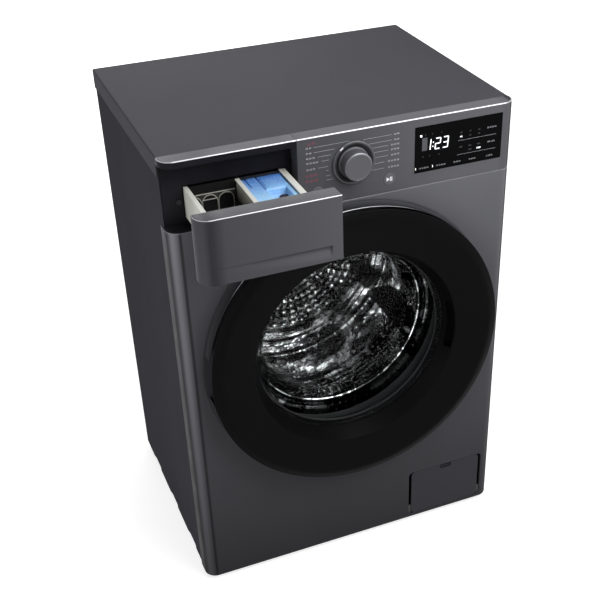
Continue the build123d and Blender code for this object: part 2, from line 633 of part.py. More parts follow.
with BuildPart() as front_panel:
    with BuildSketch(Plane.XY.offset(FLOOR_GAP)) as panel_plan:
        with Locations((0, (FRONT + PANEL_BACK) / 2)):
            Rectangle(CABINET_WIDTH, FRONT_WRAP)
        fillet(panel_plan.vertices().group_by(Axis.Y)[0], CORNER_RADIUS)
    extrude(amount=PANEL_TOP - FLOOR_GAP)
    with BuildSketch(Plane.XY.offset(FLOOR_GAP)) as panel_hollow:
        with Locations((0, (FRONT + PANEL_BACK) / 2 + SHEET)):
            Rectangle(CABINET_WIDTH - 2 * SHEET, FRONT_WRAP)
        fillet(panel_hollow.vertices().group_by(Axis.Y)[0], CORNER_RADIUS - SHEET)
    extrude(amount=PANEL_TOP - FLOOR_GAP - SHEET, mode=Mode.SUBTRACT)
    # the top flange is a narrow fold, not a shelf
    block(
        (-HALF_WIDTH, FRONT + FLANGE, PANEL_TOP - 2 * SHEET),
        (HALF_WIDTH, PANEL_BACK + SHEET, CABINET_HEIGHT),
        mode=Mode.SUBTRACT,
    )
    # pressed dish round the door, and the flange that the gasket clips on to
    rod(to_back(0, FRONT - SHEET, DOOR_Z), DISH_RADIUS, FLANGE, mode=Mode.SUBTRACT)
    turned(
        [
            (DISH_RADIUS, FRONT),
            ((2 * DISH_RADIUS + DISH_FLOOR_RADIUS) / 3, FRONT + DISH_DEPTH / 6),
            ((DISH_RADIUS + 2 * DISH_FLOOR_RADIUS) / 3, FRONT + DISH_DEPTH * 5 / 6),
            (DISH_FLOOR_RADIUS, FRONT + DISH_DEPTH),
            (PORT_RADIUS, FRONT + DISH_DEPTH),
            (PORT_RADIUS, FRONT + DISH_DEPTH + PORT_FLANGE),
            (PORT_RADIUS + SHEET, FRONT + DISH_DEPTH + PORT_FLANGE),
            (PORT_RADIUS + SHEET, FRONT + DISH_DEPTH + SHEET),
            (DISH_FLOOR_RADIUS, FRONT + DISH_DEPTH + SHEET),
            ((DISH_RADIUS + 2 * DISH_FLOOR_RADIUS) / 3, FRONT + DISH_DEPTH * 5 / 6 + SHEET),
            ((2 * DISH_RADIUS + DISH_FLOOR_RADIUS) / 3, FRONT + DISH_DEPTH / 6 + SHEET),
            (DISH_RADIUS, FRONT + SHEET),
        ]
    )
    # opening behind the drain cover
    with BuildSketch(facing_front(FRONT + FLANGE)) as cover_opening:
        with Locations((COVER_X, COVER_Z)):
            RectangleRounded(
                COVER_WIDTH + 2 * COVER_GAP, COVER_HEIGHT + 2 * COVER_GAP, COVER_CORNER + COVER_GAP
            )
    extrude(amount=2 * FLANGE, mode=Mode.SUBTRACT)
    # slots for the lock and for the hinge ears
    block(
        (HOOK_X - HOOK_WIDTH / 2 - HOOK_SWING, FRONT, DOOR_Z - HOOK_THICKNESS),
        (HOOK_X + HOOK_WIDTH / 2 + HOOK_BARB + HOOK_CLEARANCE, FRONT + FLANGE, DOOR_Z + HOOK_THICKNESS),
        mode=Mode.SUBTRACT,
    )
    block(
        (HINGE_X + EAR_REACH - 2 * KNUCKLE_RADIUS, FRONT, DOOR_Z - EAR_KNUCKLE_Z - KNUCKLE_HEIGHT),
        (HINGE_X + EAR_REACH + 1.5 * KNUCKLE_RADIUS, FRONT + FLANGE, DOOR_Z + EAR_KNUCKLE_Z + KNUCKLE_HEIGHT),
        mode=Mode.SUBTRACT,
    )
front_panel.part.label = "front_panel"
export_step(front_panel.part, "parts/front_panel.step")


with BuildPart() as top_plate:
    top_front = FASCIA_BACK + SEAM
    top_back = REAR + SCREW_FIT + SHEET
    with BuildSketch(Plane.XY.offset(CABINET_HEIGHT - TOP_SKIRT)) as top_plan:
        with Locations((0, (top_front + top_back) / 2)):
            Rectangle(CABINET_WIDTH, top_back - top_front)
        fillet(top_plan.vertices().group_by(Axis.Y)[-1], TOP_CORNER)
    extrude(amount=TOP_SKIRT)
    rim_edges = top_plate.faces().sort_by(Axis.Z)[-1].edges().sort_by(Axis.Y)[1:]
    fillet(rim_edges, TOP_EDGE)
    top_openings = [top_plate.faces().sort_by(Axis.Z)[0], top_plate.faces().sort_by(Axis.Y)[0]]
    offset(amount=-SHEET, openings=top_openings)
top_plate.part.label = "top_plate"
export_step(top_plate.part, "parts/top_plate.step")


with BuildPart() as cross_brace:
    brace_front = FASCIA_BACK + RECESS_FACE + SEAM
    prism(
        [
            (brace_front, BRACE_TOP),
            (brace_front + BRACE_DEPTH, BRACE_TOP),
            (brace_front + BRACE_DEPTH, BRACE_TOP - BRACE_HEIGHT),
            (brace_front + BRACE_DEPTH - SHEET, BRACE_TOP - BRACE_HEIGHT),
            (brace_front + BRACE_DEPTH - SHEET, BRACE_TOP - SHEET),
            (brace_front + SHEET, BRACE_TOP - SHEET),
            (brace_front + SHEET, BRACE_TOP - BRACE_HEIGHT),
            (brace_front, BRACE_TOP - BRACE_HEIGHT),
        ],
        Plane.YZ.offset(-INSIDE_X),
        2 * INSIDE_X,
    )
cross_brace.part.label = "cross_brace"
export_step(cross_brace.part, "parts/cross_brace.step")


# ================================================================ control panel
with BuildPart() as control_panel:
    with BuildSketch(Plane.XY.offset(FASCIA_BOTTOM)) as fascia_plan:
        with Locations(((FASCIA_LEFT + HALF_WIDTH) / 2, FRONT + FASCIA_DEPTH / 2)):
            Rectangle(HALF_WIDTH - FASCIA_LEFT, FASCIA_DEPTH)
        fillet(fascia_plan.vertices().group_by(Axis.Y)[0].sort_by(Axis.X)[-1], CORNER_RADIUS)
    extrude(amount=FASCIA_HEIGHT)
    fascia_top = control_panel.faces().sort_by(Axis.Z)[-1]
    chamfer(fascia_top.edges().filter_by(GeomType.LINE).sort_by(Axis.Y)[0], TOP_CHAMFER)
    offset(amount=-FASCIA_WALL, openings=control_panel.faces().sort_by(Axis.Y)[-1])
    with BuildSketch(facing_front(FRONT + FASCIA_WALL)) as fascia_cuts:
        with Locations((DISPLAY_X, DISPLAY_Z)):
            Rectangle(DISPLAY_WIDTH + 2 * WINDOW_FIT, DISPLAY_HEIGHT + 2 * WINDOW_FIT)
        with Locations((DIAL_X, DIAL_Z)):
            Circle(BEZEL_BODY_RADIUS + WINDOW_FIT)
        with Locations((DIAL_X - BUTTON_SPREAD, BUTTON_Z), (DIAL_X + BUTTON_SPREAD, BUTTON_Z)):
            Circle(BUTTON_RADIUS + SCREW_FIT)
    extrude(amount=2 * FASCIA_WALL, mode=Mode.SUBTRACT)
    # posts that carry the circuit board
    board_left = FASCIA_LEFT + BOARD_MARGIN
    board_right = DISPLAY_X + DISPLAY_WIDTH / 2 + WINDOW_LIP + SCREW_FIT + 2 * POST_RADIUS
    board_low = FASCIA_BOTTOM + BOARD_MARGIN / 2
    board_high = CABINET_HEIGHT - BOARD_MARGIN / 2
    post_xs = (board_left + POST_RADIUS, (DIAL_X + DISPLAY_X) / 2, board_right - POST_RADIUS)
    post_zs = (board_low + POST_RADIUS, board_high - POST_RADIUS)
    with BuildSketch(facing_front(BOARD_Y)) as posts:
        with Locations(*[(x, z) for x in post_xs for z in post_zs]):
            Circle(POST_RADIUS)
    extrude(amount=BOARD_Y - WALL_BACK)
control_panel.part.label = "control_panel"
export_step(control_panel.part, "parts/control_panel.step")


with BuildPart() as display_window:
    window_front = FRONT - WINDOW_PROUD
    block(
        (DISPLAY_X - DISPLAY_WIDTH / 2, window_front, DISPLAY_Z - DISPLAY_HEIGHT / 2),
        (DISPLAY_X + DISPLAY_WIDTH / 2, WALL_BACK, DISPLAY_Z + DISPLAY_HEIGHT / 2),
    )
    chamfer(display_window.faces().sort_by(Axis.Y)[0].edges(), WINDOW_PROUD)
    block(
        (
            DISPLAY_X - DISPLAY_WIDTH / 2 - WINDOW_LIP,
            WALL_BACK,
            DISPLAY_Z - DISPLAY_HEIGHT / 2 - WINDOW_LIP,
        ),
        (
            DISPLAY_X + DISPLAY_WIDTH / 2 + WINDOW_LIP,
            WALL_BACK + WINDOW_LIP / 2,
            DISPLAY_Z + DISPLAY_HEIGHT / 2 + WINDOW_LIP,
        ),
    )
display_window.part.label = "display_window"
export_step(display_window.part, "parts/display_window.step")


# button faces stand proud; their pins end one travel and a little more short of the switches
PIN_END = BOARD_Y - ENCODER_DEPTH
SWITCH_TOP = PIN_END + BUTTON_TRAVEL + SCREW_FIT
KNOB_BACK = FRONT - SCREW_FIT

with BuildPart() as display_board:
    block(
        (board_left, BOARD_Y, board_low),
        (board_right, BOARD_Y + BOARD_THICKNESS, board_high),
    )
    for side in (-1, 1):
        rod(
            to_back(DIAL_X + side * BUTTON_SPREAD, SWITCH_TOP, BUTTON_Z),
            SWITCH_RADIUS,
            BOARD_Y - SWITCH_TOP,
        )
    block(
        (DIAL_X - ENCODER_SIZE / 2, BOARD_Y - ENCODER_DEPTH, DIAL_Z - ENCODER_SIZE / 2),
        (DIAL_X + ENCODER_SIZE / 2, BOARD_Y, DIAL_Z + ENCODER_SIZE / 2),
    )
    rod(
        to_back(DIAL_X, BOARD_Y - 2 * ENCODER_DEPTH, DIAL_Z),
        DIAL_SHAFT_RADIUS + RUNNING_FIT,
        2 * ENCODER_DEPTH,
        mode=Mode.SUBTRACT,
    )
display_board.part.label = "display_board"
export_step(display_board.part, "parts/display_board.step")


with BuildPart() as dial_bezel:
    turned(
        [
            (BEZEL_RADIUS, FRONT),
            (BEZEL_RADIUS - 1, FRONT - BEZEL_PROUD + 1),
            (BEZEL_RADIUS - 3, FRONT - BEZEL_PROUD),
            (KNOB_RADIUS + KNOB_SKIRT + 3, FRONT - 1),
            (KNOB_RADIUS + KNOB_SKIRT + SCREW_FIT, FRONT - 1),
            (KNOB_RADIUS + KNOB_SKIRT + SCREW_FIT, WALL_BACK),
            (BEZEL_BODY_RADIUS, WALL_BACK),
            (BEZEL_BODY_RADIUS, FRONT),
        ],
        x=DIAL_X,
        z=DIAL_Z,
    )
dial_bezel.part.label = "dial_bezel"
export_step(dial_bezel.part, "parts/dial_bezel.step")


with BuildPart() as dial_knob:
    turned(
        [
            (0, FRONT - KNOB_PROUD),
            (KNOB_RADIUS - 3, FRONT - KNOB_PROUD),
            (KNOB_RADIUS - 1, FRONT - KNOB_PROUD + 1),
            (KNOB_RADIUS, FRONT - KNOB_PROUD + 3),
            (KNOB_RADIUS + 0.5, FRONT - 6),
            (KNOB_RADIUS + KNOB_SKIRT, FRONT - 3),
            (KNOB_RADIUS + KNOB_SKIRT, KNOB_BACK),
            (DIAL_SHAFT_RADIUS, KNOB_BACK),
            (DIAL_SHAFT_RADIUS, BOARD_Y - SCREW_FIT),
            (0, BOARD_Y - SCREW_FIT),
        ],
        x=DIAL_X,
        z=DIAL_Z,
    )
dial_knob.part.label = "dial_knob"
export_step(dial_knob.part, "parts/dial_knob.step")


for side, button_label in ((-1, "power_button"), (1, "start_button")):
    with BuildPart() as button:
        turned(
            [
                (0, FRONT - BUTTON_PROUD),
                (BUTTON_RADIUS - 0.6, FRONT - BUTTON_PROUD),
                (BUTTON_RADIUS, FRONT - BUTTON_PROUD + 0.4),
                (BUTTON_RADIUS, WALL_BACK),
                (BUTTON_RADIUS + BUTTON_LIP, WALL_BACK),
                (BUTTON_RADIUS + BUTTON_LIP, WALL_BACK + BUTTON_LIP / 2),
                (SWITCH_RADIUS / 2, WALL_BACK + BUTTON_LIP / 2),
                (SWITCH_RADIUS / 2, PIN_END),
                (0, PIN_END),
            ],
            x=DIAL_X + side * BUTTON_SPREAD,
            z=BUTTON_Z,
        )
    button.part.label = button_label
    export_step(button.part, f"parts/{button_label}.step")


# ================================================================ drawer recess and housing
with BuildPart() as drawer_surround:
    with BuildSketch(Plane.XY.offset(FASCIA_BOTTOM)) as surround_plan:
        with Locations(((RECESS_RIGHT - HALF_WIDTH) / 2, FRONT + FASCIA_DEPTH / 2)):
            Rectangle(RECESS_RIGHT + HALF_WIDTH, FASCIA_DEPTH)
        fillet(surround_plan.vertices().group_by(Axis.Y)[0].sort_by(Axis.X)[0], CORNER_RADIUS)
    extrude(amount=FASCIA_HEIGHT)
    surround_top = drawer_surround.faces().sort_by(Axis.Z)[-1]
    chamfer(surround_top.edges().filter_by(GeomType.LINE).sort_by(Axis.Y)[0], TOP_CHAMFER)
    block(
        (-2 * HALF_WIDTH, FRONT - FASCIA_DEPTH, FASCIA_BOTTOM + LEDGE),
        (HALF_WIDTH, FASCIA_BACK, CABINET_HEIGHT - HEAD_STRIP),
        mode=Mode.SUBTRACT,
    )
    block(
        (-INSIDE_X + SEAM, FASCIA_BACK, FASCIA_BOTTOM),
        (RECESS_RIGHT, FASCIA_BACK + RECESS_FACE, BRACE_TOP - SEAM),
    )
    block(
        (TRAY_LEFT - HOUSING_FIT, FRONT, TRAY_FLOOR - HOUSING_FIT),
        (TRAY_RIGHT + HOUSING_FIT, REAR, TRAY_TOP + HOUSING_FIT),
        mode=Mode.SUBTRACT,
    )
    rod(
        to_back(SURROUND_SCREW_X, FRONT, SURROUND_SCREW_Z),
        SCREW_RADIUS + SCREW_FIT,
        FASCIA_DEPTH + FLANGE,
        mode=Mode.SUBTRACT,
    )
drawer_surround.part.label = "drawer_surround"
export_step(drawer_surround.part, "parts/drawer_surround.step")


HOUSING_FRONT = FASCIA_BACK + RECESS_FACE
HOUSING_BACK = HOUSING_FRONT + HOUSING_LENGTH
HOUSING_LOW = TRAY_FLOOR - HOUSING_FIT - HOUSING_WALL
HOUSING_HIGH = TRAY_TOP + HOUSING_FIT + HOUSING_WALL

with BuildPart() as dispenser_housing:
    block(
        (TRAY_LEFT - HOUSING_FIT - HOUSING_WALL, HOUSING_FRONT, HOUSING_LOW),
        (TRAY_RIGHT + HOUSING_FIT + HOUSING_WALL, HOUSING_BACK, HOUSING_HIGH),
    )
    block(
        (TRAY_LEFT - HOUSING_FIT, HOUSING_FRONT, HOUSING_LOW + HOUSING_WALL),
        (TRAY_RIGHT + HOUSING_FIT, HOUSING_BACK - HOUSING_WALL, HOUSING_HIGH - HOUSING_WALL),
        mode=Mode.SUBTRACT,
    )
    # rails along the floor that carry the tray
    for rail_x in (TRAY_LEFT + RUNNER_WIDTH, TRAY_RIGHT - 2 * RUNNER_WIDTH):
        block(
            (rail_x, HOUSING_FRONT, HOUSING_LOW),
            (rail_x + RUNNER_WIDTH, HOUSING_BACK, TRAY_FLOOR - RUNNER_FIT),
        )
    # outlet to the tub, and the socket of the fill hose
    rod(
        Plane((BELLOWS_X, BELLOWS_Y, HOUSING_LOW - FLANGE)),
        BELLOWS_RADIUS - HOSE_WALL - SCREW_FIT,
        FLANGE,
    )
    rod(
        Plane((BELLOWS_X, BELLOWS_Y, HOUSING_LOW - 2 * FLANGE)),
        BELLOWS_RADIUS - 2 * HOSE_WALL,
        2 * FLANGE + 2 * HOUSING_WALL,
        mode=Mode.SUBTRACT,
    )
    rod(
        to_back(VALVE_X, HOUSING_BACK - HOUSING_WALL, VALVE_Z),
        VALVE_BORE - HOSE_WALL,
        HOUSING_WALL,
        mode=Mode.SUBTRACT,
    )
dispenser_housing.part.label = "dispenser_housing"
export_step(dispenser_housing.part, "parts/dispenser_housing.step")


with BuildPart() as inlet_valve:
    block(
        (VALVE_X - VALVE_SIZE / 2, REAR - SHEET - VALVE_DEPTH, VALVE_Z - VALVE_SIZE / 2),
        (VALVE_X + VALVE_SIZE / 2, REAR - SHEET, VALVE_Z + VALVE_SIZE / 2),
    )
    fillet(inlet_valve.edges().filter_by(Axis.Y), VALVE_BORE)
    rod(to_back(VALVE_X, REAR - SHEET, VALVE_Z), VALVE_THREAD_RADIUS + SHOULDER, SHEET)
    rod(to_back(VALVE_X, REAR, VALVE_Z), VALVE_THREAD_RADIUS, SPIGOT_LENGTH)
    rod(
        to_back(VALVE_X, REAR - SHEET - VALVE_DEPTH, VALVE_Z),
        VALVE_BORE,
        VALVE_DEPTH + 2 * SPIGOT_LENGTH,
        mode=Mode.SUBTRACT,
    )
inlet_valve.part.label = "inlet_valve"
export_step(inlet_valve.part, "parts/inlet_valve.step")


with BuildPart() as fill_hose:
    fill_start = HOUSING_BACK
    fill_end = REAR - SHEET - VALVE_DEPTH
    rod(to_back(VALVE_X, fill_start, VALVE_Z), VALVE_BORE + HOSE_WALL, fill_end - fill_start)
    rod(
        to_back(VALVE_X, fill_start, VALVE_Z),
        VALVE_BORE,
        fill_end - fill_start,
        mode=Mode.SUBTRACT,
    )
fill_hose.part.label = "fill_hose"
export_step(fill_hose.part, "parts/fill_hose.step")


# ================================================================ drawer
with BuildPart() as drawer_front:
    with BuildSketch(Plane.XY.offset(DRAWER_BOTTOM)) as drawer_plan:
        with Locations(((DRAWER_RIGHT - HALF_WIDTH) / 2, DRAWER_FRONT_Y + FASCIA_DEPTH / 2)):
            Rectangle(DRAWER_RIGHT + HALF_WIDTH, FASCIA_DEPTH)
        fillet(drawer_plan.vertices().group_by(Axis.Y)[0].sort_by(Axis.X)[0], CORNER_RADIUS)
    extrude(amount=DRAWER_TOP - DRAWER_BOTTOM)
    drawer_rim = drawer_front.faces().sort_by(Axis.Z)[-1]
    chamfer(drawer_rim.edges().filter_by(GeomType.LINE).sort_by(Axis.Y)[0], TOP_CHAMFER)
    # finger scoop: a ramp that deepens upwards and towards the right, under an overhanging edge
    scoop_top = DRAWER_BOTTOM + SCOOP_TOP
    for x, deep in ((DRAWER_RIGHT - SCOOP_RIGHT, 1.0), (-HALF_WIDTH + SCOOP_LEFT, 0.1)):
        with BuildSketch(Plane.YZ.offset(x)):
            with BuildLine():
                Polyline(
                    (DRAWER_FRONT_Y - 1, scoop_top),
                    (DRAWER_FRONT_Y + SCOOP_DEPTH * deep, scoop_top),
                    (DRAWER_FRONT_Y - 1, scoop_top - SCOOP_HEIGHT * (0.4 + 0.6 * deep)),
                    close=True,
                )
            make_face()
    loft(mode=Mode.SUBTRACT)
    # hollow back above the scoop
    block(
        (-HALF_WIDTH + CORNER_RADIUS, DRAWER_FRONT_Y + DRAWER_FRONT_WALL, scoop_top + DRAWER_FRONT_WALL),
        (DRAWER_RIGHT - DRAWER_FRONT_WALL, DRAWER_BACK_Y, DRAWER_TOP - DRAWER_FRONT_WALL),
        mode=Mode.SUBTRACT,
    )
    # web behind the hollow that the tray fastens to
    block(
        (TRAY_LEFT, DRAWER_BACK_Y - DRAWER_FRONT_WALL, TRAY_FLOOR),
        (TRAY_RIGHT, DRAWER_BACK_Y, TRAY_TOP),
    )
drawer_front.part.label = "drawer_front"
export_step(drawer_front.part, "parts/drawer_front.step")


TRAY_FRONT_Y = DRAWER_BACK_Y
TRAY_BACK_Y = TRAY_FRONT_Y + TRAY_LENGTH
LEFT_CELL = (TRAY_LEFT + TRAY_WALL, DIVIDER_X - TRAY_WALL / 2)
RIGHT_CELL = (DIVIDER_X + TRAY_WALL / 2, TRAY_RIGHT - TRAY_WALL)
CELL_BACK_Y = FASCIA_BACK - CELL_SETBACK

with BuildPart() as drawer_tray:
    block((TRAY_LEFT, TRAY_FRONT_Y, TRAY_FLOOR), (TRAY_RIGHT, TRAY_BACK_Y, TRAY_TOP))
    for cell in (LEFT_CELL, RIGHT_CELL):
        block(
            (cell[0], TRAY_FRONT_Y + TRAY_WALL, TRAY_FLOOR + TRAY_WALL),
            (cell[1], CELL_BACK_Y, TRAY_TOP),
            mode=Mode.SUBTRACT,
        )
    # the tail that stays in the housing when the drawer is out
    block(
        (TRAY_LEFT + TRAY_WALL, CELL_BACK_Y + TRAY_WALL, TRAY_FLOOR + TRAY_WALL),
        (TRAY_RIGHT - TRAY_WALL, TRAY_BACK_Y - TRAY_WALL, TRAY_TOP),
        mode=Mode.SUBTRACT,
    )
    # broad rims along both sides and on the divider
    for low_x, rim_width in (
        (TRAY_LEFT, TRAY_LIP),
        (DIVIDER_X - TRAY_LIP / 2, TRAY_LIP),
        (TRAY_RIGHT - TRAY_RIGHT_LIP, TRAY_RIGHT_LIP),
    ):
        block(
            (low_x, TRAY_FRONT_Y, TRAY_TOP - TRAY_WALL),
            (low_x + rim_width, TRAY_BACK_Y, TRAY_TOP),
        )
drawer_tray.part.label = "drawer_tray"
export_step(drawer_tray.part, "parts/drawer_tray.step")


with BuildPart() as liquid_insert:
    insert_low = TRAY_FLOOR + TRAY_WALL
    insert_left = TRAY_LEFT + TRAY_LIP + INSERT_FIT
    insert_right = DIVIDER_X - TRAY_LIP / 2 - INSERT_FIT
    insert_back = CELL_BACK_Y - INSERT_FIT
    insert_front = insert_back - INSERT_LENGTH
    block((insert_left, insert_front, insert_low), (insert_right, insert_back, insert_low + INSERT_HEIGHT))
    block(
        (insert_left + INSERT_WALL, insert_front + INSERT_WALL, insert_low + INSERT_WALL),
        (insert_right - INSERT_WALL, insert_back - INSERT_WALL, insert_low + INSERT_HEIGHT),
        mode=Mode.SUBTRACT,
    )
    # cross wall with arched openings
    wall_y = insert_front + INSERT_LENGTH / 3
    block(
        (insert_left, wall_y, insert_low),
        (insert_right, wall_y + INSERT_WALL, insert_low + INSERT_HEIGHT),
    )
    arch_pitch = (insert_right - insert_left) / 3
    with BuildSketch(facing_front(wall_y + INSERT_WALL)) as arches:
        with Locations(((insert_left + insert_right) / 2, insert_low + INSERT_HEIGHT / 2)):
            with GridLocations(arch_pitch, 0, 3, 1):
                Circle(arch_pitch / 2 - INSERT_WALL)
    extrude(amount=INSERT_WALL, mode=Mode.SUBTRACT)
liquid_insert.part.label = "liquid_insert"
export_step(liquid_insert.part, "parts/liquid_insert.step")


with BuildPart() as softener_cap:
    cap_left = DIVIDER_X + TRAY_LIP / 2 + CAP_FIT
    cap_right = TRAY_RIGHT - TRAY_RIGHT_LIP - CAP_FIT
    cap_front = TRAY_FRONT_Y + TRAY_WALL + CAP_FIT
    cap_back = CELL_BACK_Y - CAP_FIT
    cap_top = TRAY_TOP - TRAY_WALL
    block((cap_left, cap_front, cap_top - CAP_SKIRT), (cap_right, cap_back, cap_top))
    block(
        (cap_left + CAP_THICKNESS, cap_front + CAP_THICKNESS, cap_top - CAP_SKIRT),
        (cap_right - CAP_THICKNESS, cap_back - CAP_THICKNESS, cap_top - CAP_THICKNESS),
        mode=Mode.SUBTRACT,
    )
    # filling pocket with its round mouth
    pocket_y = cap_front + (cap_back - cap_front) * 0.36
    pocket_left = (cap_left + cap_right) / 2 - CAP_THICKNESS
    block(
        (pocket_left - CAP_THICKNESS, cap_front, cap_top - CAP_POCKET - CAP_THICKNESS),
        (cap_right, pocket_y + CAP_THICKNESS, cap_top),
    )
    block(
        (pocket_left, cap_front + CAP_THICKNESS, cap_top - CAP_POCKET),
        (cap_right - CAP_THICKNESS, pocket_y, cap_top),
        mode=Mode.SUBTRACT,
    )
    rod(
        Plane(((pocket_left + cap_right) / 2, (cap_front + pocket_y) / 2, cap_top - CAP_SKIRT)),
        CAP_POCKET / 2,
        CAP_SKIRT,
        mode=Mode.SUBTRACT,
    )
    # feet that stand on the tray's floor
    for x in (cap_left, cap_right - CAP_THICKNESS):
        for y in (cap_front, cap_back - CAP_POCKET):
            block(
                (x, y, TRAY_FLOOR + TRAY_WALL),
                (x + CAP_THICKNESS, y + CAP_POCKET, cap_top - CAP_SKIRT),
            )
softener_cap.part.label = "softener_cap"
export_step(softener_cap.part, "parts/softener_cap.step")


# ================================================================ door
def ahead(distance):
    """Depth of a point in front of the front panel's plane."""
    return FRONT - distance


def notch(inner_x):
    """Opening at the hinge side that the cabinet's ears swing through."""
    block(
        (-RING_RADIUS - RING_WALL, ahead(RING_EDGE - RING_WALL), DOOR_Z - HINGE_NOTCH),
        (inner_x, ahead(-DISH_DEPTH), DOOR_Z + HINGE_NOTCH),
        mode=Mode.SUBTRACT,
    )


HINGE_Y = ahead(HINGE_STANDOFF)
DISH_BACK = FRONT + DISH_DEPTH + SHEET  # inner face of the dished sheet
RING_OUTLINE = [
    (SEAT_RADIUS, ahead(SEAT_DEPTH)),
    (WELL_RADIUS, ahead(WELL_EDGE)),
    (RING_CROWN_RADIUS, ahead(RING_CROWN)),
    (RING_RADIUS, ahead(RING_EDGE)),
    (RING_BACK_RADIUS, ahead(RING_BACK_GAP)),
    (SEAT_RADIUS + 2 * RING_WALL, ahead(RING_BACK_GAP)),
    (SEAT_RADIUS + 2 * RING_WALL, ahead(SEAT_DEPTH)),
]

with BuildPart() as door_ring:
    with BuildSketch(Plane((0, 0, DOOR_Z))) as ring_outline:
        with BuildLine():
            Polyline(*RING_OUTLINE, close=True)
        make_face()
        ring_edges = ring_outline.vertices().group_by(Axis.Y)[0]
        fillet(ring_edges, RING_EDGE / 2)
        fillet(ring_outline.vertices().sort_by(Axis.X)[-1], RING_WALL / 2)
    revolve(axis=Axis((0, 0, DOOR_Z), (0, 1, 0)))
    with BuildSketch(Plane((0, 0, DOOR_Z))) as ring_hollow:
        add(ring_outline.sketch)
        offset(amount=-RING_WALL, mode=Mode.REPLACE)
    revolve(axis=Axis((0, 0, DOOR_Z), (0, 1, 0)), mode=Mode.SUBTRACT)
    turned(
        [
            (SEAT_RADIUS + 2 * RING_WALL, ahead(0)),
            (SEAT_RADIUS + 2 * RING_WALL, ahead(SEAT_DEPTH + 2 * RING_WALL)),
            (RING_BACK_RADIUS - RING_WALL, ahead(SEAT_DEPTH + 2 * RING_WALL)),
            (RING_BACK_RADIUS - RING_WALL, ahead(0)),
        ],
        mode=Mode.SUBTRACT,
    )
    # finger recess: a window in the well's wall at the handle side
    block(
        (SEAT_RADIUS, ahead(WELL_EDGE - RING_WALL), DOOR_Z - GRIP_HEIGHT / 2),
        (
            WELL_RADIUS + RING_WALL,
            ahead(WELL_EDGE - RING_WALL - GRIP_DEPTH),
            DOOR_Z + GRIP_HEIGHT / 2,
        ),
        mode=Mode.SUBTRACT,
    )
    # the hinge's opening stops short of the front edge, with a hollow round its knuckles
    notch(HINGE_X + 2 * KNUCKLE_RADIUS)
    rod(
        Plane((HINGE_X, HINGE_Y, DOOR_Z - HINGE_NOTCH)),
        KNUCKLE_RADIUS + HINGE_CLEARANCE,
        2 * HINGE_NOTCH,
        mode=Mode.SUBTRACT,
    )
door_ring.part.label = "door_ring"
export_step(door_ring.part, "parts/door_ring.step")


FLANGE_BACK = SEAT_DEPTH - GLASS_THICKNESS  # back of the glass's flange, from the panel's plane

with BuildPart() as door_inner_frame:
    turned(
        [
            (GLASS_FLANGE_RADIUS + SCREW_FIT, ahead(RING_BACK_GAP)),
            (FRAME_RADIUS, ahead(RING_BACK_GAP)),
            (FRAME_RADIUS, ahead(RING_BACK_GAP - FRAME_THICKNESS)),
            (GLASS_FLANGE_RADIUS + FRAME_THICKNESS, ahead(RING_BACK_GAP - FRAME_THICKNESS)),
            (GLASS_FLANGE_RADIUS + FRAME_THICKNESS, ahead(FLANGE_BACK - FRAME_THICKNESS)),
            (GLASS_FLANGE_RADIUS - FRAME_THICKNESS, ahead(FLANGE_BACK - FRAME_THICKNESS)),
            (GLASS_FLANGE_RADIUS - FRAME_THICKNESS, ahead(FLANGE_BACK)),
            (GLASS_FLANGE_RADIUS + SCREW_FIT, ahead(FLANGE_BACK)),
        ]
    )
    # back wall of the finger recess
    grip_back = GLASS_FLANGE_RADIUS + FRAME_THICKNESS + GRIP_DEPTH
    block(
        (grip_back, ahead(WELL_EDGE - RING_WALL), DOOR_Z - GRIP_HEIGHT / 2),
        (grip_back + RING_WALL / 2, ahead(RING_BACK_GAP), DOOR_Z + GRIP_HEIGHT / 2),
    )
    # ears and window for the latch hook
    ear_inner = HOOK_THICKNESS / 2 + SCREW_FIT
    for side in (-1, 1):
        ear_a = DOOR_Z + side * ear_inner
        ear_b = DOOR_Z + side * (ear_inner + HOOK_WIDTH)
        block(
            (HOOK_X - HOOK_WIDTH / 2, ahead(HOOK_PIVOT + HOOK_WIDTH / 2), min(ear_a, ear_b)),
            (HOOK_X + HOOK_WIDTH / 2, ahead(RING_BACK_GAP), max(ear_a, ear_b)),
        )
    rod(
        Plane((HOOK_X, ahead(HOOK_PIVOT), DOOR_Z - 2 * HOOK_THICKNESS - HOOK_WIDTH)),
        HOOK_PIN_RADIUS + RUNNING_FIT,
        4 * HOOK_THICKNESS + 2 * HOOK_WIDTH,
        mode=Mode.SUBTRACT,
    )
    block(
        (HOOK_X - HOOK_WIDTH, ahead(RING_BACK_GAP), DOOR_Z - ear_inner),
        (HOOK_X + HOOK_WIDTH, ahead(-DISH_DEPTH), DOOR_Z + ear_inner),
        mode=Mode.SUBTRACT,
    )
    notch(HINGE_X + EAR_REACH + KNUCKLE_RADIUS)
door_inner_frame.part.label = "door_inner_frame"
export_step(door_inner_frame.part, "parts/door_inner_frame.step")


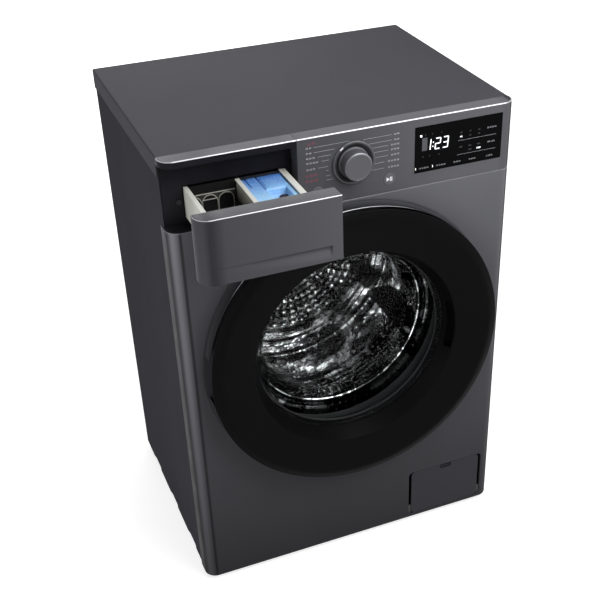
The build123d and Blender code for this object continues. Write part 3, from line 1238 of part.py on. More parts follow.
with BuildPart() as door_glass:
    with BuildSketch(Plane((0, 0, DOOR_Z))) as glass_outline:
        with BuildLine():
            Polyline(
                (0, ahead(-BOWL_DEPTH - BOWL_CROWN)),
                (BOWL_END_RADIUS - BOWL_BEND, ahead(-BOWL_DEPTH)),
                (BOWL_END_RADIUS, ahead(-BOWL_DEPTH + BOWL_BEND)),
                (BOWL_MOUTH_RADIUS, ahead(FLANGE_BACK)),
                (GLASS_FLANGE_RADIUS, ahead(FLANGE_BACK)),
                (GLASS_FLANGE_RADIUS, ahead(SEAT_DEPTH)),
                (BOWL_MOUTH_RADIUS - GLASS_THICKNESS, ahead(SEAT_DEPTH)),
                (BOWL_END_RADIUS - GLASS_THICKNESS, ahead(-BOWL_DEPTH + BOWL_BEND)),
                (
                    BOWL_END_RADIUS - BOWL_BEND - GLASS_THICKNESS / 2,
                    ahead(-BOWL_DEPTH + GLASS_THICKNESS),
                ),
                (0, ahead(-BOWL_DEPTH - BOWL_CROWN + GLASS_THICKNESS)),
                close=True,
            )
        make_face()
    revolve(axis=Axis((0, 0, DOOR_Z), (0, 1, 0)))
door_glass.part.label = "door_glass"
export_step(door_glass.part, "parts/door_glass.step")



with BuildPart() as door_hinge_arm:
    for side in (-1, 1):
        middle = DOOR_Z + side * ARM_KNUCKLE_Z
        rod(
            Plane((HINGE_X, HINGE_Y, middle - KNUCKLE_HEIGHT / 2)),
            KNUCKLE_RADIUS,
            KNUCKLE_HEIGHT,
        )
        prism(
            [
                (HINGE_X, HINGE_Y - KNUCKLE_RADIUS / 2),
                (ARM_PLATE_X, ahead(ARM_PLATE_TOP)),
                (ARM_PLATE_X, ahead(ARM_PLATE_TOP - KNUCKLE_RADIUS)),
                (HINGE_X, HINGE_Y + KNUCKLE_RADIUS / 2),
            ],
            Plane.XY.offset(middle - KNUCKLE_HEIGHT / 2),
            KNUCKLE_HEIGHT,
        )
    block(
        (ARM_PLATE_X - ARM_PLATE / 2, ahead(ARM_PLATE_TOP), DOOR_Z - ARM_HALF_HEIGHT),
        (ARM_PLATE_X + ARM_PLATE / 2, ahead(RING_BACK_GAP), DOOR_Z + ARM_HALF_HEIGHT),
    )
    # the hinge pin is riveted into the knuckles
    rod(
        Plane((HINGE_X, HINGE_Y, DOOR_Z - EAR_KNUCKLE_Z - KNUCKLE_HEIGHT / 2 - 1)),
        HINGE_PIN_RADIUS,
        2 * EAR_KNUCKLE_Z + KNUCKLE_HEIGHT + 2,
    )
door_hinge_arm.part.label = "door_hinge_arm"
export_step(door_hinge_arm.part, "parts/door_hinge_arm.step")


with BuildPart() as hinge_bracket:
    block(
        (HINGE_X + KNUCKLE_RADIUS * 1.5, DISH_BACK, DOOR_Z - BRACKET_HALF_HEIGHT),
        (-PORT_RADIUS - 2 * GASKET_WALL, DISH_BACK + BRACKET_THICKNESS, DOOR_Z + BRACKET_HALF_HEIGHT),
    )
    lean = Vector(EAR_REACH, DISH_BACK - HINGE_Y, 0).normalized() * KNUCKLE_RADIUS
    for side in (-1, 1):
        low = DOOR_Z + side * EAR_KNUCKLE_Z - KNUCKLE_HEIGHT / 2
        prism(
            [
                (HINGE_X - lean.Y, HINGE_Y + lean.X),
                (HINGE_X + lean.Y, HINGE_Y - lean.X),
                (HINGE_X + EAR_REACH + lean.Y, DISH_BACK - lean.X),
                (HINGE_X + EAR_REACH + lean.Y, DISH_BACK + BRACKET_THICKNESS),
                (HINGE_X + EAR_REACH - lean.Y, DISH_BACK + BRACKET_THICKNESS),
                (HINGE_X + EAR_REACH - lean.Y, DISH_BACK + lean.X),
            ],
            Plane.XY.offset(low),
            KNUCKLE_HEIGHT,
        )
        rod(Plane((HINGE_X, HINGE_Y, low)), KNUCKLE_RADIUS, KNUCKLE_HEIGHT)
    rod(
        Plane((HINGE_X, HINGE_Y, DOOR_Z - 2 * EAR_KNUCKLE_Z)),
        HINGE_PIN_RADIUS + RUNNING_FIT,
        4 * EAR_KNUCKLE_Z,
        mode=Mode.SUBTRACT,
    )
hinge_bracket.part.label = "hinge_bracket"
export_step(hinge_bracket.part, "parts/hinge_bracket.step")


with BuildPart() as latch_hook:
    hook_low = Plane.XY.offset(DOOR_Z - HOOK_THICKNESS / 2)
    prism(
        [
            (HOOK_X - HOOK_WIDTH / 2, ahead(HOOK_PIVOT + HOOK_WIDTH / 2)),
            (HOOK_X + HOOK_WIDTH / 2, ahead(HOOK_PIVOT + HOOK_WIDTH / 2)),
            (HOOK_X + HOOK_WIDTH / 2, ahead(-HOOK_REACH + 2 * HOOK_BARB)),
            (HOOK_X + HOOK_WIDTH / 2 + HOOK_BARB, ahead(-HOOK_REACH + HOOK_BARB)),
            (HOOK_X, ahead(-HOOK_REACH)),
            (HOOK_X - HOOK_WIDTH / 2, ahead(-HOOK_REACH)),
        ],
        hook_low,
        HOOK_THICKNESS,
    )
    rod(
        Plane((HOOK_X, ahead(HOOK_PIVOT), DOOR_Z - HOOK_THICKNESS / 2 - HOOK_WIDTH)),
        HOOK_PIN_RADIUS,
        HOOK_THICKNESS + 2 * HOOK_WIDTH,
    )
latch_hook.part.label = "latch_hook"
export_step(latch_hook.part, "parts/latch_hook.step")


with BuildPart() as door_lock:
    lock_left = HOOK_X - HOOK_WIDTH / 2 - HOOK_SWING - LOCK_WALL
    lock_right = HOOK_X + HOOK_WIDTH / 2 + HOOK_BARB + HOOK_CLEARANCE + LOCK_WALL
    block(
        (lock_left, DISH_BACK, DOOR_Z - LOCK_HALF_HEIGHT),
        (lock_right, DISH_BACK + LOCK_DEPTH, DOOR_Z + LOCK_HALF_HEIGHT),
    )
    block(
        (lock_left + LOCK_WALL, DISH_BACK, DOOR_Z - HOOK_THICKNESS),
        (lock_right - LOCK_WALL, DISH_BACK + LOCK_DEPTH - LOCK_WALL, DOOR_Z + HOOK_THICKNESS),
        mode=Mode.SUBTRACT,
    )
door_lock.part.label = "door_lock"
export_step(door_lock.part, "parts/door_lock.step")


# ================================================================ drain cover
with BuildPart() as drain_cover:
    with BuildSketch(facing_front(FRONT + COVER_THICKNESS)) as cover_face:
        with Locations((COVER_X, COVER_Z)):
            RectangleRounded(COVER_WIDTH, COVER_HEIGHT, COVER_CORNER)
    extrude(amount=COVER_THICKNESS)
    # finger slot in the middle of the upper edge
    block(
        (COVER_X - COVER_SLOT_WIDTH / 2, FRONT, COVER_Z + COVER_HEIGHT / 2 - COVER_SLOT_HEIGHT),
        (COVER_X + COVER_SLOT_WIDTH / 2, FRONT + COVER_THICKNESS / 2, COVER_Z + COVER_HEIGHT / 2),
        mode=Mode.SUBTRACT,
    )
    # pins in the lower corners
    rod(
        Plane((COVER_X - cover_side - COVER_LUG, COVER_PIVOT_Y, COVER_PIVOT_Z), z_dir=(1, 0, 0)),
        COVER_PIN_RADIUS,
        2 * (cover_side + COVER_LUG),
    )
drain_cover.part.label = "drain_cover"
export_step(drain_cover.part, "parts/drain_cover.step")


# ================================================================ pump
MOUTH_Y = FILTER_FRONT_Y
CHAMBER_Y = MOUTH_Y + FILTER_LENGTH
MOTOR_Y = CHAMBER_Y + CHAMBER_LENGTH
SUMP_Z = DOOR_Z - TUB_RADIUS
HOSE_BORE = SUMP_HOSE_RADIUS - HOSE_WALL
SPIGOT_FIT = 0.2  # between a hose's bore and its spigot
INLET_Y = SUMP_OUTLET_Y
INLET_X = PUMP_X - FILTER_RADIUS - PUMP_WALL - 2 * FLANGE / 2
OUTLET_Y = CHAMBER_Y + CHAMBER_LENGTH / 2
OUTLET_X = PUMP_X + MOTOR_RADIUS + FLANGE

with BuildPart() as pump_body:
    turned(
        [
            (0, MOUTH_Y),
            (FILTER_RADIUS + PUMP_WALL, MOUTH_Y),
            (FILTER_RADIUS + PUMP_WALL, CHAMBER_Y),
            (CHAMBER_RADIUS + PUMP_WALL, CHAMBER_Y),
            (CHAMBER_RADIUS + PUMP_WALL, MOTOR_Y),
            (MOTOR_RADIUS, MOTOR_Y),
            (MOTOR_RADIUS, MOTOR_Y + MOTOR_LENGTH),
            (0, MOTOR_Y + MOTOR_LENGTH),
        ],
        x=PUMP_X,
        z=PUMP_Z,
    )
    rod(
        Plane((PUMP_X, INLET_Y, PUMP_Z), z_dir=(-1, 0, 0)),
        HOSE_BORE - SPIGOT_FIT,
        PUMP_X - INLET_X,
    )
    rod(
        Plane((PUMP_X, OUTLET_Y, PUMP_Z), z_dir=(1, 0, 0)),
        DRAIN_HOSE_RADIUS - HOSE_WALL - SPIGOT_FIT,
        OUTLET_X - PUMP_X,
    )
    turned(
        [
            (0, MOUTH_Y),
            (FILTER_RADIUS, MOUTH_Y),
            (FILTER_RADIUS, CHAMBER_Y - PUMP_WALL),
            (CHAMBER_RADIUS - 2 * PUMP_WALL, CHAMBER_Y - PUMP_WALL),
            (CHAMBER_RADIUS - 2 * PUMP_WALL, CHAMBER_Y),
            (CHAMBER_RADIUS, CHAMBER_Y),
            (CHAMBER_RADIUS, MOTOR_Y - PUMP_WALL),
            (IMPELLER_SHAFT_RADIUS + RUNNING_FIT, MOTOR_Y - PUMP_WALL),
            (IMPELLER_SHAFT_RADIUS + RUNNING_FIT, MOTOR_Y + MOTOR_LENGTH / 2),
            (0, MOTOR_Y + MOTOR_LENGTH / 2),
        ],
        x=PUMP_X,
        z=PUMP_Z,
        mode=Mode.SUBTRACT,
    )
    rod(
        Plane((PUMP_X - CHAMBER_RADIUS, INLET_Y, PUMP_Z), z_dir=(-1, 0, 0)),
        HOSE_BORE - 2 * PUMP_WALL,
        PUMP_X,
        mode=Mode.SUBTRACT,
    )
    rod(
        Plane((PUMP_X + CHAMBER_RADIUS / 2, OUTLET_Y, PUMP_Z), z_dir=(1, 0, 0)),
        DRAIN_HOSE_RADIUS - HOSE_WALL - PUMP_WALL,
        PUMP_X,
        mode=Mode.SUBTRACT,
    )
pump_body.part.label = "pump_body"
export_step(pump_body.part, "parts/pump_body.step")


with BuildPart() as filter_cap:
    cap_radius = FILTER_RADIUS - RUNNING_FIT
    turned(
        [
            (0, MOUTH_Y),
            (cap_radius, MOUTH_Y),
            (cap_radius, MOUTH_Y + FILTER_CAP_LENGTH / 2),
            (cap_radius / 2, MOUTH_Y + FILTER_CAP_LENGTH / 2),
            (cap_radius / 2, MOUTH_Y + FILTER_CAP_LENGTH),
            (0, MOUTH_Y + FILTER_CAP_LENGTH),
        ],
        x=PUMP_X,
        z=PUMP_Z,
    )
    # ring-shaped well round a bar grip
    rod(to_back(PUMP_X, MOUTH_Y, PUMP_Z), cap_radius - PUMP_WALL, GRIP_WIDTH, mode=Mode.SUBTRACT)
    block(
        (PUMP_X - cap_radius + PUMP_WALL / 2, MOUTH_Y, PUMP_Z - GRIP_WIDTH / 2),
        (PUMP_X + cap_radius - PUMP_WALL / 2, MOUTH_Y + GRIP_WIDTH, PUMP_Z + GRIP_WIDTH / 2),
    )
filter_cap.part.label = "filter_cap"
export_step(filter_cap.part, "parts/filter_cap.step")


with BuildPart() as pump_impeller:
    impeller_front = CHAMBER_Y + PUMP_WALL
    impeller_back = MOTOR_Y - 2 * PUMP_WALL
    rod(to_back(PUMP_X, impeller_back - 2, PUMP_Z), IMPELLER_RADIUS, 2)
    rod(to_back(PUMP_X, impeller_front, PUMP_Z), 2 * IMPELLER_SHAFT_RADIUS, impeller_back - impeller_front)
    with BuildSketch(facing_front(impeller_back - 1)) as blades:
        with Locations((PUMP_X, PUMP_Z)):
            with PolarLocations(IMPELLER_RADIUS / 2, IMPELLER_BLADES):
                Rectangle(IMPELLER_RADIUS - 1, 2)
    extrude(amount=impeller_back - impeller_front - 1)
    rod(
        to_back(PUMP_X, impeller_back - 1, PUMP_Z),
        IMPELLER_SHAFT_RADIUS,
        2 * PUMP_WALL + MOTOR_LENGTH / 2,
    )
pump_impeller.part.label = "pump_impeller"
export_step(pump_impeller.part, "parts/pump_impeller.step")


with BuildPart() as sump_hose:
    sump_end = SUMP_Z - FLANGE
    hose(
        [
            (SUMP_OUTLET_X, SUMP_OUTLET_Y, sump_end + FLANGE / 2),
            (SUMP_OUTLET_X, SUMP_OUTLET_Y, PUMP_Z),
            (INLET_X + FLANGE / 2, SUMP_OUTLET_Y, PUMP_Z),
        ],
        2 * SUMP_HOSE_RADIUS,
        SUMP_HOSE_RADIUS,
        HOSE_BORE,
    )
sump_hose.part.label = "sump_hose"
export_step(sump_hose.part, "parts/sump_hose.step")


DRAIN_END = REAR - SHEET - FLANGE
with BuildPart() as drain_hose:
    hose(
        [
            (OUTLET_X - FLANGE / 2, OUTLET_Y, PUMP_Z),
            (DRAIN_X, OUTLET_Y, PUMP_Z),
            (DRAIN_X, DRAIN_END + FLANGE / 2, PUMP_Z),
        ],
        1.6 * DRAIN_HOSE_RADIUS,
        DRAIN_HOSE_RADIUS,
        DRAIN_HOSE_RADIUS - HOSE_WALL,
    )
drain_hose.part.label = "drain_hose"
export_step(drain_hose.part, "parts/drain_hose.step")


with BuildPart() as drain_outlet:
    spigot_inner = DRAIN_HOSE_RADIUS - HOSE_WALL - SPIGOT_FIT
    turned(
        [
            (spigot_inner - PUMP_WALL, DRAIN_END),
            (spigot_inner, DRAIN_END),
            (spigot_inner, REAR - SHEET - PUMP_WALL),
            (SPIGOT_RADIUS + PUMP_WALL, REAR - SHEET - PUMP_WALL),
            (SPIGOT_RADIUS + PUMP_WALL, REAR - SHEET),
            (SPIGOT_RADIUS + SHOULDER, REAR - SHEET),
            (SPIGOT_RADIUS + SHOULDER, REAR),
            (SPIGOT_RADIUS, REAR),
            (SPIGOT_RADIUS, REAR + SPIGOT_LENGTH),
            (spigot_inner - PUMP_WALL, REAR + SPIGOT_LENGTH),
        ],
        x=DRAIN_X,
        z=PUMP_Z,
    )
drain_outlet.part.label = "drain_outlet"
export_step(drain_outlet.part, "parts/drain_outlet.step")


with BuildPart() as mains_gland:
    turned(
        [
            (GLAND_RADIUS / 2, REAR - SHEET - PUMP_WALL),
            (GLAND_RADIUS + PUMP_WALL, REAR - SHEET - PUMP_WALL),
            (GLAND_RADIUS + PUMP_WALL, REAR - SHEET),
            (GLAND_RADIUS, REAR - SHEET),
            (GLAND_RADIUS, REAR + PUMP_WALL),
            (GLAND_RADIUS / 2, REAR + PUMP_WALL),
        ],
        x=GLAND_X,
        z=GLAND_Z,
    )
mains_gland.part.label = "mains_gland"
export_step(mains_gland.part, "parts/mains_gland.step")


# ================================================================ gasket and tub
FLANGE_END = FRONT + DISH_DEPTH + PORT_FLANGE  # rear edge of the port's flange
COLLAR_FRONT = TUB_FRONT_Y - TUB_COLLAR

with BuildPart() as door_gasket:
    lip_y = FRONT + DISH_DEPTH + SHEET
    # the lip seals all round the bowl, which narrows towards the rear
    bowl_slope = (BOWL_MOUTH_RADIUS - BOWL_END_RADIUS) / (FLANGE_BACK + BOWL_DEPTH - BOWL_BEND)
    lip_radius = BOWL_MOUTH_RADIUS - bowl_slope * (lip_y - ahead(FLANGE_BACK)) + GASKET_FIT
    hook_in = PORT_RADIUS - GASKET_FIT
    hook_out = PORT_RADIUS + SHEET + GASKET_FIT
    bead_in = TUB_MOUTH_RADIUS + GASKET_FIT
    turned(
        [
            (lip_radius, lip_y),
            (lip_radius + GASKET_WALL, lip_y),
            (hook_in - GASKET_WALL, lip_y + GASKET_WALL),
            (hook_in, lip_y + GASKET_WALL),
            (hook_in, FLANGE_END + GASKET_FIT),
            (hook_out + GASKET_WALL, FLANGE_END + GASKET_FIT),
            (hook_out + GASKET_WALL, FLANGE_END + GASKET_WALL + GASKET_FIT),
            (hook_in, FLANGE_END + GASKET_WALL + GASKET_FIT),
            (hook_in - GASKET_WALL, COLLAR_FRONT - 2 * GASKET_WALL),
            (bead_in + GASKET_WALL, COLLAR_FRONT - GASKET_WALL),
            (bead_in + GASKET_WALL, COLLAR_FRONT + TUB_COLLAR / 2),
            (bead_in, COLLAR_FRONT + TUB_COLLAR / 2),
            (bead_in, COLLAR_FRONT),
            (hook_in - 2 * GASKET_WALL, COLLAR_FRONT - GASKET_WALL),
            (hook_in - 2 * GASKET_WALL, FLANGE_END - GASKET_WALL),
            (lip_radius + GASKET_WALL, lip_y + 2 * GASKET_WALL),
            (lip_radius, lip_y + GASKET_WALL),
        ]
    )
door_gasket.part.label = "door_gasket"
export_step(door_gasket.part, "parts/door_gasket.step")


TUB_INNER = TUB_RADIUS - TUB_WALL
SPRING_LUG_X = SPRING_X + SPRING_COIL_RADIUS

with BuildPart() as tub_front:
    turned(
        [
            (TUB_MOUTH_RADIUS - TUB_WALL, COLLAR_FRONT),
            (TUB_MOUTH_RADIUS, COLLAR_FRONT),
            (TUB_MOUTH_RADIUS, TUB_FRONT_Y),
            (TUB_RADIUS, TUB_FRONT_Y),
            (TUB_RADIUS, TUB_SPLIT_Y - TUB_FLANGE),
            (TUB_RADIUS + TUB_FLANGE, TUB_SPLIT_Y - TUB_FLANGE),
            (TUB_RADIUS + TUB_FLANGE, TUB_SPLIT_Y),
            (TUB_INNER, TUB_SPLIT_Y),
            (TUB_INNER, TUB_FRONT_Y + TUB_WALL),
            (TUB_MOUTH_RADIUS - TUB_WALL, TUB_FRONT_Y + TUB_WALL),
        ]
    )
    # outlet spigot under the tub and its bore
    rod(
        Plane((SUMP_OUTLET_X, SUMP_OUTLET_Y, SUMP_Z - FLANGE)),
        HOSE_BORE - SPIGOT_FIT,
        2 * FLANGE,
    )
    # damper lugs
    for side in (-1, 1):
        block(
            (side * DAMPER_X - LUG_THICKNESS, -DAMPER_Y - LUG_THICKNESS, DAMPER_LUG_Z),
            (side * DAMPER_X + LUG_THICKNESS, -DAMPER_Y + LUG_THICKNESS, DOOR_Z - TUB_RADIUS / 2),
        )
    # filling spigot from the dispenser
    rod(
        Plane((BELLOWS_X, BELLOWS_Y, DOOR_Z + TUB_RADIUS / 2)),
        BELLOWS_RADIUS - HOSE_WALL - SPIGOT_FIT,
        HOUSING_LOW - 3 * FLANGE - DOOR_Z - TUB_RADIUS / 2,
    )
    rod(to_back(0, TUB_FRONT_Y + TUB_WALL, DOOR_Z), TUB_INNER, TUB_SPLIT_Y - TUB_FRONT_Y, mode=Mode.SUBTRACT)
    rod(
        Plane((BELLOWS_X, BELLOWS_Y, DOOR_Z)),
        BELLOWS_RADIUS - 2 * HOSE_WALL,
        CABINET_HEIGHT / 2,
        mode=Mode.SUBTRACT,
    )
    rod(
        Plane((SUMP_OUTLET_X, SUMP_OUTLET_Y, SUMP_Z - 2 * FLANGE)),
        HOSE_BORE - PUMP_WALL,
        TUB_RADIUS,
        mode=Mode.SUBTRACT,
    )
tub_front.part.label = "tub_front"
export_step(tub_front.part, "parts/tub_front.step")


HUB_FRONT = TUB_REAR_Y - HUB_INSET
HUB_BACK = HUB_FRONT + HUB_LENGTH
SUMP_LOW = DOOR_Z - TUB_RADIUS - SUMP_DEPTH
ROTOR_BACK = HUB_BACK + ROTOR_WALL + ROTOR_AIR_GAP

with BuildPart() as tub_rear:
    turned(
        [
            (TUB_INNER, TUB_SPLIT_Y),
            (TUB_RADIUS + TUB_FLANGE, TUB_SPLIT_Y),
            (TUB_RADIUS + TUB_FLANGE, TUB_SPLIT_Y + TUB_FLANGE),
            (TUB_RADIUS, TUB_SPLIT_Y + TUB_FLANGE),
            (TUB_RADIUS, TUB_REAR_Y),
            (0, TUB_REAR_Y),
            (0, TUB_REAR_Y - TUB_WALL),
            (TUB_INNER, TUB_REAR_Y - TUB_WALL),
        ]
    )
    # heater well along the bottom
    block(
        (-SUMP_WIDTH / 2, TUB_SPLIT_Y + SUMP_MARGIN, SUMP_LOW),
        (SUMP_WIDTH / 2, TUB_REAR_Y, DOOR_Z - TUB_RADIUS / 2),
    )
    for side in (-1, 1):
        # spring lugs and rear damper lugs
        block(
            (min(0, side * SPRING_LUG_X), SPRING_Y - LUG_THICKNESS, SPRING_LUG_Z - LUG_THICKNESS),
            (max(0, side * SPRING_LUG_X), SPRING_Y + LUG_THICKNESS, SPRING_LUG_Z),
        )
        block(
            (side * DAMPER_X - LUG_THICKNESS, DAMPER_Y - LUG_THICKNESS, DAMPER_LUG_Z),
            (side * DAMPER_X + LUG_THICKNESS, DAMPER_Y + LUG_THICKNESS, DOOR_Z - TUB_RADIUS / 2),
        )
    # stiffening ribs on the back wall
    with BuildSketch(facing_front(TUB_REAR_Y + SUMP_MARGIN)) as tub_ribs:
        with Locations((0, DOOR_Z)):
            with PolarLocations((TUB_RADIUS + ROTOR_RADIUS + SUMP_MARGIN) / 2, 12):
                Rectangle(TUB_RADIUS - ROTOR_RADIUS - SUMP_MARGIN, TUB_WALL)
    extrude(amount=SUMP_MARGIN)
    rod(to_back(0, TUB_SPLIT_Y, DOOR_Z), TUB_INNER, TUB_REAR_Y - TUB_WALL - TUB_SPLIT_Y, mode=Mode.SUBTRACT)
    block(
        (-SUMP_WIDTH / 2 + TUB_WALL, TUB_SPLIT_Y + SUMP_MARGIN + TUB_WALL, SUMP_LOW + TUB_WALL),
        (SUMP_WIDTH / 2 - TUB_WALL, TUB_REAR_Y - TUB_WALL, DOOR_Z - TUB_RADIUS / 2),
        mode=Mode.SUBTRACT,
    )
    # bearing hub
    rod(to_back(0, HUB_FRONT, DOOR_Z), HUB_RADIUS, HUB_LENGTH)
    rod(to_back(0, HUB_FRONT - 1, DOOR_Z), SHAFT_RADIUS + TUB_WALL, HUB_LENGTH + 2, mode=Mode.SUBTRACT)
    for bearing_y in (HUB_FRONT, HUB_BACK - BEARING_WIDTH):
        rod(to_back(0, bearing_y, DOOR_Z), BEARING_RADIUS + RUNNING_FIT, BEARING_WIDTH, mode=Mode.SUBTRACT)
    # holes for the heater's terminals
    terminal_z = SUMP_LOW + SUMP_DEPTH / 2 + TUB_WALL / 2
    for side in (-1, 1):
        rod(
            to_back(side * HEATER_SPREAD, TUB_REAR_Y - 2 * TUB_WALL, terminal_z),
            HEATER_RADIUS + RUNNING_FIT,
            3 * TUB_WALL,
            mode=Mode.SUBTRACT,
        )
tub_rear.part.label = "tub_rear"
export_step(tub_rear.part, "parts/tub_rear.step")


with BuildPart() as counterweights:
    with BuildSketch(facing_front(TUB_FRONT_Y)) as weight_face:
        with Locations((0, DOOR_Z)):
            Circle(WEIGHT_OUTER_RADIUS)
            Circle(WEIGHT_INNER_RADIUS, mode=Mode.SUBTRACT)
        with Locations((0, DOOR_Z)):
            Rectangle(3 * TUB_RADIUS, 2 * WEIGHT_OUTER_RADIUS * (1 - WEIGHT_SPAN / 180), mode=Mode.SUBTRACT)
    extrude(amount=WEIGHT_THICKNESS)
counterweights.part.label = "counterweights"
export_step(counterweights.part, "parts/counterweights.step")


with BuildPart() as stator:
    with BuildSketch(facing_front(TUB_REAR_Y + STATOR_THICKNESS)) as stator_face:
        with Locations((0, DOOR_Z)):
            Circle(STATOR_INNER_RADIUS + STATOR_THICKNESS)
            with PolarLocations((STATOR_RADIUS + STATOR_INNER_RADIUS) / 2, STATOR_TEETH):
                Rectangle(STATOR_RADIUS - STATOR_INNER_RADIUS, 0.6 * STATOR_THICKNESS / 2)
            Circle(STATOR_INNER_RADIUS, mode=Mode.SUBTRACT)
    extrude(amount=STATOR_THICKNESS)
stator.part.label = "stator"
export_step(stator.part, "parts/stator.step")


with BuildPart() as shaft_bearings:
    for bearing_y in (HUB_FRONT, HUB_BACK - BEARING_WIDTH):
        turned(
            [
                (SHAFT_RADIUS + RUNNING_FIT, bearing_y),
                (BEARING_RADIUS, bearing_y),
                (BEARING_RADIUS, bearing_y + BEARING_WIDTH),
                (SHAFT_RADIUS + RUNNING_FIT, bearing_y + BEARING_WIDTH),
            ]
        )
shaft_bearings.part.label = "shaft_bearings"
export_step(shaft_bearings.part, "parts/shaft_bearings.step")


with BuildPart() as heater:
    heater_back = TUB_REAR_Y + 3 * TUB_WALL
    heater_front = TUB_REAR_Y - HEATER_LENGTH
    with BuildLine() as heater_path:
        FilletPolyline(
            (-HEATER_SPREAD, heater_back, terminal_z),
            (-HEATER_SPREAD, heater_front, terminal_z),
            (HEATER_SPREAD, heater_front, terminal_z),
            (HEATER_SPREAD, heater_back, terminal_z),
            radius=4 * HEATER_RADIUS,
        )
    with BuildSketch(Plane(heater_path.line @ 0, z_dir=heater_path.line % 0)) as heater_section:
        Circle(HEATER_RADIUS)
    sweep(heater_section.sketch, path=heater_path.line)
heater.part.label = "heater"
export_step(heater.part, "parts/heater.step")


with BuildPart() as tub_springs:
    # each spring stands for its coils as a tube between two end pads
    for side in (-1, 1):
        turned_up(
            [
                (SPRING_COIL_RADIUS - SPRING_WIRE, SPRING_LUG_Z),
                (SPRING_COIL_RADIUS, SPRING_LUG_Z),
                (SPRING_COIL_RADIUS, SPRING_TOP_Z),
                (SPRING_COIL_RADIUS - SPRING_WIRE, SPRING_TOP_Z),
            ],
            side * SPRING_X,
            SPRING_Y,
        )
tub_springs.part.label = "tub_springs"
export_step(tub_springs.part, "parts/tub_springs.step")


DAMPER_LOW = FLOOR_GAP + BASE_RIM
ROD_LOW = DAMPER_LOW + DAMPER_LENGTH * 0.3
DAMPER_PLACES = [(x, y) for x in (-DAMPER_X, DAMPER_X) for y in (-DAMPER_Y, DAMPER_Y)]

with BuildPart() as damper_cylinders:
    for x, y in DAMPER_PLACES:
        turned_up(
            [
                (0, DAMPER_LOW),
                (DAMPER_RADIUS, DAMPER_LOW),
                (DAMPER_RADIUS, DAMPER_LOW + DAMPER_LENGTH),
                (DAMPER_ROD_RADIUS + RUNNING_FIT, DAMPER_LOW + DAMPER_LENGTH),
                (DAMPER_ROD_RADIUS + RUNNING_FIT, DAMPER_LOW + DAMPER_LENGTH - HOSE_WALL),
                (DAMPER_BORE, DAMPER_LOW + DAMPER_LENGTH - HOSE_WALL),
                (DAMPER_BORE, DAMPER_LOW + HOSE_WALL),
                (0, DAMPER_LOW + HOSE_WALL),
            ],
            x,
            y,
        )
damper_cylinders.part.label = "damper_cylinders"
export_step(damper_cylinders.part, "parts/damper_cylinders.step")


with BuildPart() as damper_rods:
    for x, y in DAMPER_PLACES:
        turned_up(
            [
                (0, ROD_LOW),
                (DAMPER_BORE - RUNNING_FIT, ROD_LOW),
                (DAMPER_BORE - RUNNING_FIT, ROD_LOW + DAMPER_ROD_RADIUS),
                (DAMPER_ROD_RADIUS, ROD_LOW + DAMPER_ROD_RADIUS),
                (DAMPER_ROD_RADIUS, DAMPER_LUG_Z),
                (0, DAMPER_LUG_Z),
            ],
            x,
            y,
        )
damper_rods.part.label = "damper_rods"
export_step(damper_rods.part, "parts/damper_rods.step")


with BuildPart() as dispenser_bellows:
    bellows_low = HOUSING_LOW - 3 * FLANGE - FLANGE / 2
    bellows_high = HOUSING_LOW - FLANGE / 4
    bellows_in = BELLOWS_RADIUS - HOSE_WALL
    folds = 4
    fold = (bellows_high - bellows_low) / folds
    outside = [(BELLOWS_RADIUS, bellows_low)]
    for turn in range(1, folds):
        outside.append((BELLOWS_RADIUS + HOSE_WALL, bellows_low + fold * (turn - 0.5)))
        outside.append((BELLOWS_RADIUS, bellows_low + fold * turn))
    outside.append((BELLOWS_RADIUS, bellows_high))
    turned_up(outside + [(bellows_in, bellows_high), (bellows_in, bellows_low)], BELLOWS_X, BELLOWS_Y)
dispenser_bellows.part.label = "dispenser_bellows"
export_step(dispenser_bellows.part, "parts/dispenser_bellows.step")


# ================================================================ drum
DRUM_INNER = DRUM_RADIUS - DRUM_SHEET

with BuildPart() as drum_shell:
    turned(
        [
            (DRUM_MOUTH_RADIUS, DRUM_FRONT_Y),
            (DRUM_RADIUS - DRUM_CONE, DRUM_FRONT_Y),
            (DRUM_RADIUS, DRUM_FRONT_Y + DRUM_CONE),
            (DRUM_RADIUS, DRUM_REAR_Y),
            (0, DRUM_REAR_Y),
            (0, DRUM_REAR_Y - DRUM_SHEET),
            (DRUM_INNER, DRUM_REAR_Y - DRUM_SHEET),
            (DRUM_INNER, DRUM_FRONT_Y + DRUM_CONE + DRUM_SHEET / 2),
            (DRUM_RADIUS - DRUM_CONE - DRUM_SHEET / 2, DRUM_FRONT_Y + DRUM_SHEET),
            (DRUM_MOUTH_RADIUS + DRUM_SHEET, DRUM_FRONT_Y + DRUM_SHEET),
            (DRUM_MOUTH_RADIUS + DRUM_SHEET, DRUM_FRONT_Y + DRUM_LIP),
            (DRUM_MOUTH_RADIUS, DRUM_FRONT_Y + DRUM_LIP),
        ]
    )
    # rows of water holes
    first_row = (DRUM_FRONT_Y + DRUM_REAR_Y - (DRUM_HOLE_ROWS - 1) * DRUM_HOLE_PITCH) / 2
    for row in range(DRUM_HOLE_ROWS):
        with Locations(Location((0, first_row + row * DRUM_HOLE_PITCH, DOOR_Z), (90, 0, 0))):
            with PolarLocations(DRUM_RADIUS, DRUM_HOLE_COLUMNS, start_angle=180 / DRUM_HOLE_COLUMNS):
                Cylinder(DRUM_HOLE_RADIUS, 4 * DRUM_SHEET, rotation=(0, 90, 0), mode=Mode.SUBTRACT)
drum_shell.part.label = "drum_shell"
export_step(drum_shell.part, "parts/drum_shell.step")


